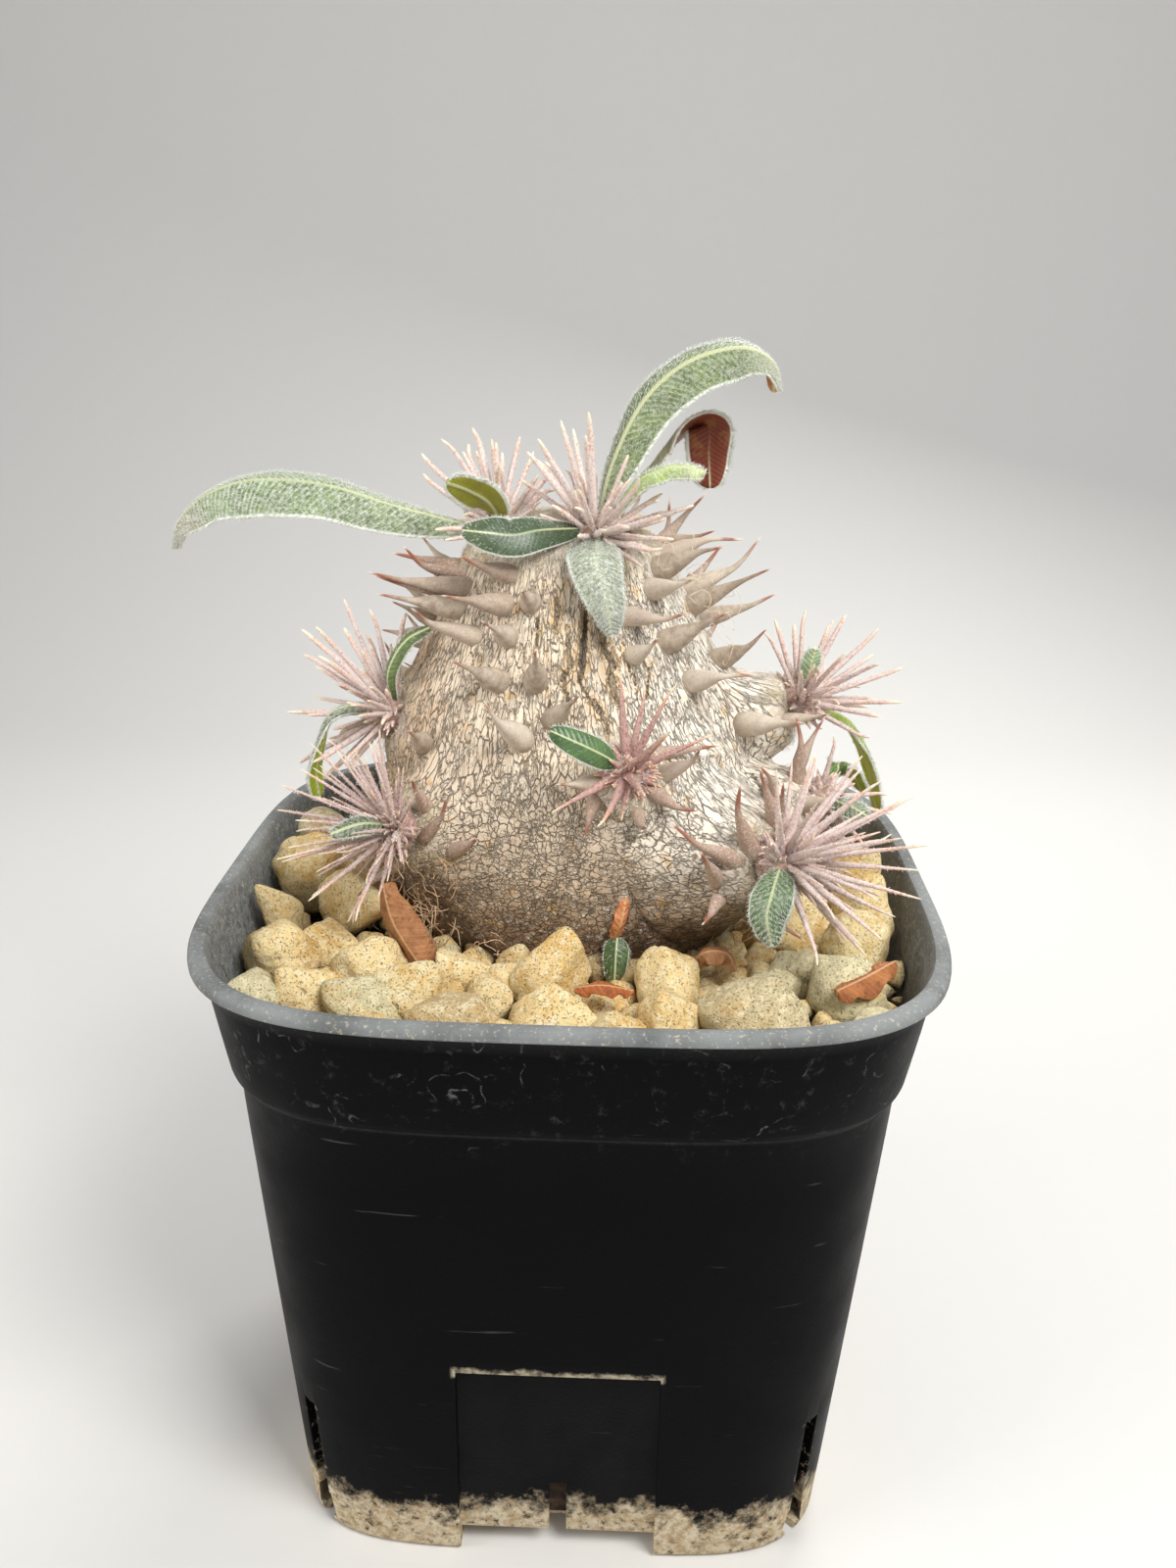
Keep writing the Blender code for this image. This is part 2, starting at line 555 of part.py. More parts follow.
def turned_trunk(group):
    """The bell of the trunk and its buried root: a profile turned about the vertical axis, then leant."""
    mesh = bpy.data.meshes.new("bell")
    points = [(radius * MM, 0.0, z * MM) for z, radius in TRUNK_PROFILE]
    mesh.from_pydata(points, [(i, i + 1) for i in range(len(points) - 1)], [])
    bell = bpy.data.objects.new("bell", mesh)
    group.objects.link(bell)
    screw = bell.modifiers.new("turn", "SCREW")
    screw.steps = screw.render_steps = TRUNK_STEPS
    screw.use_merge_vertices = True
    screw.merge_threshold = 0.00005
    settle(bell)
    for vert in bell.data.vertices:
        vert.co += Vector((trunk_x(vert.co.z / MM), TRUNK_Y, 0.0)) * MM
    return bell


def arm(name, group):
    """A tapering arm from inside the trunk to just behind a growing tip."""
    centre, _, core, root_radius, *_ = TIPS[name]
    axis = tip_axis(name)
    end = Vector(centre) - axis * core * ARM_END_BACK
    inward = Vector((trunk_x(end.z) - end.x, TRUNK_Y - end.y, 0.0)).normalized()
    root = end + inward * ARM_ROOT_DEPTH - Vector((0.0, 0.0, ARM_ROOT_DROP))
    along = end - root
    shape = bmesh.new()
    end_radius = core + ARM_END_SWELL
    bmesh.ops.create_cone(
        shape, cap_ends=True, segments=20, radius1=root_radius, radius2=end_radius, depth=along.length
    )
    turn = along.to_track_quat("Z", "Y").to_matrix().to_4x4()
    bmesh.ops.transform(shape, matrix=Matrix.Translation((root + end) / 2) @ turn, verts=shape.verts)
    return mesh_object("arm", shape, group)


def trunk_skin(group):
    """The smooth body of the trunk: bell and arms blended into one skin."""
    skin = turned_trunk(group)
    arms = [arm(name, group) for name in TIPS if name not in CROWNS]
    combine(skin, arms, "UNION", "MANIFOLD")
    remesh = skin.modifiers.new("blend", "REMESH")
    remesh.mode = "VOXEL"
    remesh.voxel_size = SKIN_VOXEL * MM
    smooth = skin.modifiers.new("smooth", "SMOOTH")
    smooth.factor = 0.5
    smooth.iterations = SKIN_SMOOTHING
    thin = skin.modifiers.new("thin", "DECIMATE")
    thin.ratio = SKIN_KEPT
    settle(skin)
    return skin


def swollen(obj, by, name, group):
    """A copy of a body pushed out along its normals, for cutting what it stands in."""
    copy = bpy.data.objects.new(name, obj.data.copy())
    group.objects.link(copy)
    push = copy.modifiers.new("push", "DISPLACE")
    push.strength = by * MM
    push.mid_level = 0.0
    return settle(copy)


def ball(name, centre, radius, group, segments=8, rings=6):
    shape = bmesh.new()
    bmesh.ops.create_uvsphere(shape, u_segments=segments, v_segments=rings, radius=radius)
    bmesh.ops.translate(shape, vec=centre, verts=shape.verts)
    return mesh_object(name, shape, group)


# Leaves

def smooth_path(points, count):
    """Evenly stepped points on a Catmull-Rom curve through the given ones."""
    known = np.array(points, float)
    known = np.vstack([2 * known[0] - known[1], known, 2 * known[-1] - known[-2]])
    spans = len(points) - 1
    place = np.linspace(0, spans, count)
    index = np.minimum(place.astype(int), spans - 1)
    t = (place - index)[:, None]
    a, b, c, d = (known[index + k] for k in range(4))
    return 0.5 * (2 * b + (c - a) * t + (2 * a - 5 * b + 4 * c - d) * t**2 + (3 * b - a - 3 * c + d) * t**3)


def leaf_grid(points, half_width, faces, fold, across=3):
    """Points of a blade: along the midrib, and across it, both halves folded back from the upper face."""
    stations = len(points) + LEAF_EXTRA_STATIONS
    path = smooth_path(points, stations)
    tangent = np.gradient(path, axis=0)
    tangent /= np.linalg.norm(tangent, axis=1)[:, None]
    if len(faces) == 1:
        face = np.repeat(np.array(faces, float), stations, axis=0)
    else:
        face = smooth_path(faces, stations)
    side = np.cross(tangent, face)
    side /= np.linalg.norm(side, axis=1)[:, None]
    normal = np.cross(side, tangent)
    share = np.linspace(0, 1, stations)
    peak = LEAF_SHOULDER / (LEAF_SHOULDER + LEAF_TAPER)
    lance = (share / peak) ** LEAF_SHOULDER * ((1 - share) / (1 - peak)) ** LEAF_TAPER
    width = LEAF_EDGE_WIDTH + (half_width - LEAF_EDGE_WIDTH) * lance
    v = np.linspace(-1, 1, across)
    spread = side[:, None, :] * (v[None, :, None] * width[:, None, None])
    drop = normal[:, None, :] * (np.abs(v)[None, :, None] * width[:, None, None] * fold)
    return path[:, None, :] + spread - drop


def fine_grid(grid, times=4):
    """The same faceted blade, sampled more densely along and across it."""
    for axis in (0, 1):
        count = grid.shape[axis]
        place = np.linspace(0, count - 1, (count - 1) * times + 1)
        low = np.minimum(place.astype(int), count - 2)
        share = (place - low).reshape((-1, 1, 1) if axis == 0 else (1, -1, 1))
        grid = np.take(grid, low, axis) * (1 - share) + np.take(grid, low + 1, axis) * share
    return grid


def rooted(tip, points):
    """The midrib's points with the first one moved onto the growing tip that bears the leaf."""
    if tip is None:
        return points
    centre, _, core, *_ = TIPS[tip]
    centre = Vector(centre)
    start = centre + (Vector(points[0]) - centre).normalized() * (core + SEAT_GAP + 0.1)
    return (tuple(start), *points[1:])


def blade(name, grid, thickness, group):
    """A leaf of even thickness: the grid's surface, split into triangles and thickened about its middle."""
    stations, across = grid.shape[:2]
    shape = bmesh.new()
    verts = [[shape.verts.new(grid[i, j]) for j in range(across)] for i in range(stations)]
    for i in range(stations - 1):
        for j in range(across - 1):
            shape.faces.new((verts[i][j], verts[i][j + 1], verts[i + 1][j + 1], verts[i + 1][j]))
    bmesh.ops.triangulate(shape, faces=shape.faces)
    obj = mesh_object(name, shape, group)
    solidify = obj.modifiers.new("thickness", "SOLIDIFY")
    solidify.thickness = thickness * MM
    solidify.offset = 0.0
    return settle(obj)


# Thorns and needles

class Clearance:
    """Places already taken, as points with a radius, so that thorns and needles keep off them."""

    def __init__(self):
        self.points = np.zeros((0, 3))
        self.radii = np.zeros(0)

    def add(self, points, radius):
        points = np.asarray(points, float).reshape(-1, 3)
        self.points = np.vstack([self.points, points])
        self.radii = np.concatenate([self.radii, np.full(len(points), radius)])

    def free(self, points, margin):
        apart = np.linalg.norm(self.points[None, :, :] - np.asarray(points)[:, None, :], axis=2)
        return bool((apart > self.radii[None, :] + margin).all()) if len(self.points) else True


def spine(start, way, length, profile, sides, group):
    """A thorn or needle: rings of the given radii along a straight axis, ending in a point."""
    way = Vector(way).normalized()
    turn = way.to_track_quat("Z", "Y").to_matrix()
    start = Vector(start)
    shape = bmesh.new()
    rings = []
    for share, radius in profile[:-1]:
        ring = []
        for index in range(sides):
            angle = 2 * math.pi * index / sides
            offset = turn @ Vector((radius * math.cos(angle), radius * math.sin(angle), share * length))
            ring.append(shape.verts.new(start + offset))
        rings.append(ring)
    point = shape.verts.new(start + way * length)
    for lower, upper in zip(rings, rings[1:]):
        for index in range(sides):
            after = (index + 1) % sides
            shape.faces.new((lower[index], lower[after], upper[after], upper[index]))
    for index in range(sides):
        shape.faces.new((rings[-1][index], rings[-1][(index + 1) % sides], point))
    shape.faces.new(list(reversed(rings[0])))
    return mesh_object("spine", shape, group)


def thorn_profile(girth):
    """A swollen foot that narrows to a fine tip."""
    return ((0.0, girth), (0.34, girth * 1.04), (0.68, girth * 0.42), (1.0, 0.0))


def needle_profile(girth):
    return ((0.0, girth), (0.62, girth * 0.78), (1.0, 0.0))


def axis_points(start, way, length):
    shares = np.linspace(0.0, 1.0, CLEAR_SAMPLES)[:, None]
    return np.array(start)[None, :] + shares * length * np.array(way)[None, :]


def cone_directions(axis, count, spread, rng):
    """Directions spread evenly over a cap about the axis by the golden angle, a little disordered."""
    turn = axis.to_track_quat("Z", "Y").to_matrix()
    golden = math.pi * (3 - math.sqrt(5))
    found = []
    for index in range(count):
        depth = 1 - (1 - math.cos(math.radians(spread))) * (index + 0.5) / count
        angle = index * golden + rng.uniform(-0.12, 0.12)
        ring = math.sqrt(max(0.0, 1 - depth * depth))
        found.append(turn @ Vector((ring * math.cos(angle), ring * math.sin(angle), depth)))
    return found


def inside_or_near(tree, point, margin):
    """Whether a point lies in the body or closer to its surface than the margin."""
    near, normal, _, distance = tree.find_nearest(Vector(point) * MM)
    if distance < margin * MM:
        return True
    return (Vector(point) * MM - near).dot(normal) < 0


def make_tip(name, skin_tree, taken, parts, seed):
    """A growing tip: a small woolly core with young needles standing out of it, longest in the middle."""
    centre, _, core, _, count, spread, shortest, longest = TIPS[name]
    rng = random.Random(seed)
    repeats = collection("needles_" + name)
    own = []
    for index, way in enumerate(cone_directions(tip_axis(name), count, spread, rng)):
        length = longest - (longest - shortest) * (0.7 * index / count + rng.uniform(0.0, 0.3))
        points = axis_points(centre, way, length)
        outside = points[np.linalg.norm(points - np.array(centre), axis=1) > core + 0.6]
        if not taken.free(outside, NEEDLE_GIRTH):
            continue
        if any(inside_or_near(skin_tree, point, NEEDLE_GIRTH + SEAT_GAP) for point in outside):
            continue
        root = Vector(centre) + way * core * 0.3
        spine(root, way, length - core * 0.3, needle_profile(NEEDLE_GIRTH), NEEDLE_SIDES, repeats)
        own.append(outside)
    tip = ball("tip_" + name, centre, core, parts)
    join_repeats(tip, repeats)
    taken.add(np.vstack(own), NEEDLE_GIRTH)
    taken.add([centre], core)
    return tip


def on_trunk(skin_tree, height, turn):
    """The place and outward normal of the trunk's side, at a height and a turn about its axis."""
    out = Vector((math.cos(turn), math.sin(turn), 0.0))
    origin = Vector((trunk_x(height), TRUNK_Y, height))
    hit, normal, _, _ = skin_tree.ray_cast((origin + out * 60.0) * MM, -out)
    return hit / MM, normal, out


def shown_thorns(skin_tree):
    """The thorns that the front shows, from their table. Yields place, way, length and girth."""
    for height, turn, rise, sweep, length in THORNS:
        place, _, out = on_trunk(skin_tree, height, math.radians(turn))
        across = Vector((-out.y, out.x, 0.0))
        rise, sweep = math.radians(rise), math.radians(sweep)
        flat = out * math.cos(sweep) + across * math.sin(sweep)
        way = flat * math.cos(rise) + Vector((0.0, 0.0, math.sin(rise)))
        yield place, way, length, THORN_GIRTH * min(1.0, 0.45 + length / 16)


def ruled_thorns(skin_tree):
    """The other thorns: rows round the back of the trunk, then a ring behind each side tip, seeded."""
    rng = random.Random(11)
    for row, (height, count) in enumerate(THORN_ROWS):
        for index in range(count):
            share = (index + 0.25 + 0.5 * (row % 2)) / count
            turn = math.radians(THORN_BACK_FROM + (THORN_BACK_TO - THORN_BACK_FROM) * share)
            turn += rng.uniform(-0.1, 0.1)
            place, normal, _ = on_trunk(skin_tree, height + rng.uniform(-0.9, 0.9), turn)
            way = (normal + Vector((0.0, 0.0, THORN_RISE))).normalized()
            yield place, way, rng.uniform(*THORN_LENGTH), THORN_GIRTH
    for name in TIPS:
        if name in CROWNS:
            continue
        centre, _, core, *_ = TIPS[name]
        axis = tip_axis(name)
        turn = axis.to_track_quat("Z", "Y").to_matrix()
        for index in range(ARM_THORNS):
            angle = 2 * math.pi * (index + rng.uniform(-0.2, 0.2)) / ARM_THORNS
            out = turn @ Vector((math.cos(angle), math.sin(angle), 0.0))
            back = rng.uniform(1.0, 2.6)
            beside = Vector(centre) - axis * back + out * (core + 2.0)
            near, normal, _, _ = skin_tree.find_nearest(beside * MM)
            way = (normal * 0.8 + axis * 0.55 + out * 0.4).normalized()
            yield near / MM, way, rng.uniform(*ARM_THORN_LENGTH), ARM_THORN_GIRTH


def place_thorns(sites, taken, repeats, heed_own=True):
    """Stands a thorn at each site clear of the stones, leaves, needles and, if asked, the other thorns."""
    placed = []
    for place, way, length, girth in sites:
        points = axis_points(place, way, length)
        if points[:, 2].min() < LOWEST_THORN or not taken.free(points, girth * 0.75):
            continue
        spine(place - way * ROOT_SINK, way, length + ROOT_SINK, thorn_profile(girth), THORN_SIDES, repeats)
        placed.append(points[2:])
        if heed_own:
            taken.add(points[2:], girth * 0.6)
    if not heed_own:
        taken.add(np.vstack(placed), THORN_GIRTH * 0.8)


def make_caudex(skin, repeats, cutters):
    """The trunk with its arms, the old thorns fused on, and a socket under each growing tip."""
    join_repeats(skin, repeats)
    sockets = [ball("socket", centre, core + SEAT_GAP, cutters) for centre, _, core, *_ in TIPS.values()]
    combine(skin, sockets, "DIFFERENCE", "MANIFOLD")
    skin.name = "caudex"
    return drop_scraps(skin)


# Soil and stones

def stone(place, size, turn, seed, group):
    """A rounded pumice stone: a ball squared up, made uneven by noise, with its foot sunk in the bed."""
    shape = bmesh.new()
    bmesh.ops.create_cube(shape, size=2.0)
    bmesh.ops.subdivide_edges(shape, edges=shape.edges, cuts=1, use_grid_fill=True)
    shift = Vector((seed * 7.3, seed * 3.1, seed * 1.7))
    foot = max(1.0, (place[2] - BED_TOP + STONE_SINK) / (size[2] / 2))
    for vert in shape.verts:
        way = vert.co.normalized()
        squared = Vector([math.copysign(abs(c) ** STONE_SQUARENESS, c) for c in way])
        uneven = 1 + STONE_ROUGHNESS * noise.noise(way * 1.4 + shift)
        vert.co = Vector([c * s / 2 * uneven for c, s in zip(squared, size)])
        vert.co.z *= foot if vert.co.z < 0 else 1.0
    tilt = Matrix.Rotation(math.radians(turn), 3, "Z") @ Matrix.Rotation(0.25 * math.sin(seed * 2.1), 3, "X")
    bmesh.ops.rotate(shape, matrix=tilt, verts=shape.verts)
    bmesh.ops.translate(shape, vec=place, verts=shape.verts)
    return mesh_object("stone", shape, group)


def back_stones():
    """Stones behind the trunk, which the front doesn't show: a seeded draw, each clear of the last."""
    rng = random.Random(5)
    placed = [(x, y) for x, y, *_ in STONES]
    for _ in range(4000):
        if len(placed) >= len(STONES) + BACK_STONES:
            break
        x, y = rng.uniform(-37, 37), rng.uniform(BACK_STONE_FROM_Y - 34, 37)
        size = rng.uniform(STONE_LOW, STONE_HIGH)
        from_trunk = math.hypot(x - TRUNK_FOOT_X, y - TRUNK_Y)
        edge = (abs(x) ** 4 + abs(y) ** 4) ** 0.25
        if from_trunk < 23.5 or edge > 37.2 or (y < BACK_STONE_FROM_Y and abs(x) < 26):
            continue
        if min(math.hypot(x - a, y - b) for a, b in placed) < 0.66 * size:
            continue
        placed.append((x, y))
        z = BED_TOP + 2.0 + rng.uniform(-0.4, 1.6)
        width, height = size * rng.uniform(0.75, 0.95), size * rng.uniform(0.75, 0.95)
        yield (x, y, z), (size, width, height), rng.uniform(0, 180)


def make_soil(skin, parts, cutters):
    """Potting mix filling the pot up to the stones, with a hole for the root."""
    soil = cavity(cutters, ROUGH_GAP, FLOOR_TOP + SEAT_GAP, SOIL_TOP, ROUGH_GAP)
    soil.name = "soil"
    parts.objects.link(soil)
    cutters.objects.unlink(soil)
    combine(soil, [swollen(skin, ROUGH_GAP, "root_hole", cutters)], "DIFFERENCE")
    return soil


def make_gravel(skin, parts, cutters):
    """The top dressing: a thin bed with the stones fused into it, trimmed to the pot and round the trunk."""
    gravel = cavity(cutters, SEAT_GAP + 0.2, SOIL_TOP + SEAT_GAP, BED_TOP, 0.0)
    gravel.name = "gravel"
    parts.objects.link(gravel)
    cutters.objects.unlink(gravel)
    repeats = collection("stones")
    for seed, (x, y, z, length, width, height, turn) in enumerate(STONES):
        stone((x, y, z), (length, width, height), turn, seed + 1, repeats)
    for seed, (place, size, turn) in enumerate(back_stones()):
        stone(place, size, turn, seed + 101, repeats)
    join_repeats(gravel, repeats)
    room = cavity(cutters, SEAT_GAP, SOIL_TOP + SEAT_GAP, POT_HEIGHT + 6.0, 0.0)
    combine(gravel, [room], "INTERSECT", "MANIFOLD")
    cuts = [swollen(skin, ROUGH_GAP, "trunk_hole", cutters)]
    cuts.extend(leaf_slot(*shape, cutters) for shape in DRY_LEAVES.values())
    cuts.append(leaf_slot(*LEAVES["leaf_base"][1:], cutters))
    return drop_scraps(combine(gravel, cuts, "DIFFERENCE", "MANIFOLD"))


def leaf_slot(points, half_width, faces, fold, group):
    """The room that a leaf lying among the stones takes: the same blade, wider, longer and thicker."""
    way = (Vector(points[-1]) - Vector(points[-2])).normalized() * SEAT_GAP * 2
    back = (Vector(points[0]) - Vector(points[1])).normalized() * SEAT_GAP * 2
    longer = (tuple(Vector(points[0]) + back), *points[1:-1], tuple(Vector(points[-1]) + way))
    grid = leaf_grid(longer, half_width + 2 * SEAT_GAP, faces, fold)
    return blade("slot", grid, LEAF_THICKNESS + 3 * SEAT_GAP, group)


def make_leaves(parts, taken, finishes):
    for name, (tip, points, half_width, faces, fold) in LEAVES.items():
        grid = leaf_grid(rooted(tip, points), half_width, faces, fold)
        leaf = blade(name, grid, LEAF_THICKNESS, parts)
        finish(leaf, finishes["silver_leaf" if name == "leaf_crown_silver" else "green_leaf"])
        taken.add(fine_grid(grid), CLEAR_OF_LEAF)
    for name, (points, half_width, faces, fold) in DRY_LEAVES.items():
        grid = leaf_grid(points, half_width, faces, fold)
        leaf = blade(name, grid, LEAF_THICKNESS, parts)
        finish(leaf, finishes["brown_leaf"])
        taken.add(fine_grid(grid), CLEAR_OF_LEAF)


def centre_over_origin(parts):
    """Moves all the solids together, so that the middle of the whole box stands over the origin."""
    points = np.vstack([[vert.co[:] for vert in obj.data.vertices] for obj in parts.objects])
    middle = (points.min(axis=0) + points.max(axis=0)) / 2
    for obj in parts.objects:
        obj.data.transform(Matrix.Translation((-middle[0], -middle[1], 0.0)))


def main():
    clear_scene()
    parts = collection("potted_pachypodium")
    cutters = collection("cutters")
    finishes = {
        "pot": material("black_plastic", BLACK_PLASTIC, 0.55),
        "soil": material("potting_mix", POTTING_MIX, 0.95),
        "gravel": material("pumice_stone", CREAM_STONE, 0.9),
        "bark": material("grey_bark", GREY_BARK, 0.85),
        "needle": material("mauve_needle", MAUVE_NEEDLE, 0.8),
        "green_leaf": material("green_leaf", GREEN_LEAF, 0.6),
        "silver_leaf": material("silver_leaf", SILVER_LEAF, 0.8),
        "brown_leaf": material("brown_leaf", BROWN_LEAF, 0.8),
    }
    finish(make_pot(parts, cutters), finishes["pot"], 35)
    skin = trunk_skin(parts)
    skin_tree = BVHTree.FromObject(skin, bpy.context.evaluated_depsgraph_get())
    finish(make_soil(skin, parts, cutters), finishes["soil"])
    finish(make_gravel(skin, parts, cutters), finishes["gravel"], 70)
    taken = Clearance()
    make_leaves(parts, taken, finishes)
    thorns = collection("thorns")
    place_thorns(shown_thorns(skin_tree), taken, thorns, heed_own=False)
    for seed, name in enumerate(TIPS):
        finish(make_tip(name, skin_tree, taken, parts, 20 + seed), finishes["needle"])
    place_thorns(ruled_thorns(skin_tree), taken, thorns)
    finish(make_caudex(skin, thorns, cutters), finishes["bark"], 60)
    centre_over_origin(parts)


main()
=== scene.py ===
"""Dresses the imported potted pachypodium: bark, thorns, woolly tips, hairy leaves, pumice and a nursery pot.

Sizes are in millimetres about the pot's own upright axis, with +Z up and the front towards -Y. They become
metres in the row frame once, where a mesh is made. Every surface is worked out with numpy as whole arrays.
"""

import math
import random

import bpy
import numpy as np
from bpy.props import FloatProperty, FloatVectorProperty, IntProperty, PointerProperty
from mathutils import Matrix, Vector
from mathutils.bvhtree import BVHTree


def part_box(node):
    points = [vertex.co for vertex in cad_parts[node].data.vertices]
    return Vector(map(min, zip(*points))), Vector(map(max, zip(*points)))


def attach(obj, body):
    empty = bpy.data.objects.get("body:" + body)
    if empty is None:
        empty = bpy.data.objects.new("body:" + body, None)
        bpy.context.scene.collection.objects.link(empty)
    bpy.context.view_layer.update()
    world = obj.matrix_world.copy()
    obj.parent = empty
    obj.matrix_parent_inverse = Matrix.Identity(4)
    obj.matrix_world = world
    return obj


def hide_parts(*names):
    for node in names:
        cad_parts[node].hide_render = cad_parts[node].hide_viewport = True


bl_info = {
    "name": "Potted pachypodium",
    "version": (1, 0, 0),
    "blender": (4, 5, 0),
    "location": "View3D > Sidebar > Pachypodium",
    "description": "Builds the detailed surfaces and finishes of a small potted pachypodium",
    "category": "Object",
}

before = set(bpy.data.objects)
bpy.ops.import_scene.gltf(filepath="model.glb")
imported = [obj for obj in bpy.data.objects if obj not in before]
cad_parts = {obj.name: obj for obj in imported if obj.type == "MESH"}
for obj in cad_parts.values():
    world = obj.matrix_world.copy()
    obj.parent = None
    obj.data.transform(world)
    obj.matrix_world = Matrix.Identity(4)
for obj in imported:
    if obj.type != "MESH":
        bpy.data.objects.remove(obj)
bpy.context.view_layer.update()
MM = 0.001
BODY = "root"
POT_LOW, POT_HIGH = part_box("pot")
POT_AT = np.array([(POT_LOW.x + POT_HIGH.x) / 2, (POT_LOW.y + POT_HIGH.y) / 2, POT_LOW.z])

# Pot
POT_HEIGHT = 80.0
RIM_HALF = 45.0
RIM_WIDTH = 1.9
BASE_HALF = 34.3
BAND_LOW = 64.4
BAND_HALF = 41.3
BODY_TOP_HALF = 40.3
WALL = 1.1
FLOOR_UNDER = 3.0
FLOOR_TOP = 4.1
FOOT_FLOOR = 1.2
PANEL_HALF = 12.2
PANEL_TOP = 30.0
PANEL_DEPTH = 1.4
PANEL_SLOT_HALF = 1.1
PANEL_SLOT_TOP = 11.0
CORNER_SLIT_HALF = 1.1
CORNER_SLIT_TOP = 20.0
CENTRE_HOLE = 4.5
SIDE_HOLE = 3.0
SIDE_HOLE_AT = 15.0
BASE_SQUARENESS = 5.0
RIM_SQUARENESS = 3.95
POST_SIDES = 24
FAR = 70.0  # past the pot's widest point, for cutters

# Soil and stones
SOIL_TOP = 66.0
BED_TOP = 69.5

# Trunk, as radii down its height, and its axis at the top and at the stones
TRUNK_PROFILE = (
    (124.2, 0.0), (123.8, 5.0), (122.3, 9.6), (119.5, 13.0), (114.0, 15.6), (109.0, 18.2), (103.5, 20.9),
    (98.0, 23.0), (92.0, 24.4), (86.0, 25.1), (79.0, 25.5), (73.0, 24.6), (68.0, 22.0), (62.0, 17.5),
    (54.0, 12.5), (44.0, 8.5), (32.0, 5.2), (20.0, 3.4), (16.0, 2.4), (14.6, 0.0),
)
TRUNK_TOP_X = -2.8
TRUNK_FOOT_X = -1.6
TRUNK_LEAN_FROM = 80.0
TRUNK_LEAN_TO = 121.0
TRUNK_Y = 13.0
BARK_VOXEL = 0.46
BARK_SMOOTHING = 63  # rounds before the arms are softened
SOFT_SMOOTHING = 40  # rounds after it

# Growing tips: centre, way that the tip points, core radius, arm radius at the trunk, needles, spread in
# degrees, shortest and longest needle
TIPS = {
    "crown_right": ((1.4, 6.4, 122.0), (0.24, -0.22, 0.94), 3.4, 0.0, 29, 76, 9.5, 15.5),
    "crown_left": ((-11.0, 12.0, 121.8), (-0.44, 0.0, 0.9), 3.2, 0.0, 23, 74, 8.5, 13.5),
    "left_upper": ((-24.6, 6.6, 98.4), (-0.86, -0.1, 0.5), 3.2, 7.5, 24, 74, 11.0, 15.5),
    "left_lower": ((-22.0, -9.2, 87.9), (-0.84, -0.46, 0.28), 3.2, 8.5, 25, 72, 11.0, 15.5),
    "front": ((6.4, -13.6, 97.6), (0.1, -0.78, 0.62), 2.6, 5.0, 13, 78, 7.5, 11.0),
    "right_lower": ((24.6, -17.0, 88.2), (0.82, -0.42, 0.26), 3.6, 11.0, 28, 74, 11.5, 17.0),
    "right_upper": ((28.6, 8.0, 100.8), (0.74, 0.0, 0.66), 3.3, 8.0, 24, 76, 9.5, 13.5),
    "right_middle": ((31.0, 0.6, 90.0), (0.92, -0.05, 0.38), 2.6, 6.5, 9, 70, 7.5, 10.0),
    "back_left": ((-15.0, 33.0, 95.0), (-0.42, 0.78, 0.45), 3.2, 7.5, 18, 74, 8.0, 11.5),
    "back_right": ((14.5, 34.0, 89.5), (0.45, 0.78, 0.42), 3.2, 8.0, 18, 74, 8.0, 11.5),
}
CROWNS = ("crown_right", "crown_left")
ARMS = tuple(name for name in TIPS if name not in CROWNS)
GOLDEN_ANGLE = math.pi * (3 - math.sqrt(5))
ARM_ROOT_DEPTH = 13.0
ARM_ROOT_DROP = 3.0
ARM_END_SWELL = 1.3
ARM_END_BACK = 0.45

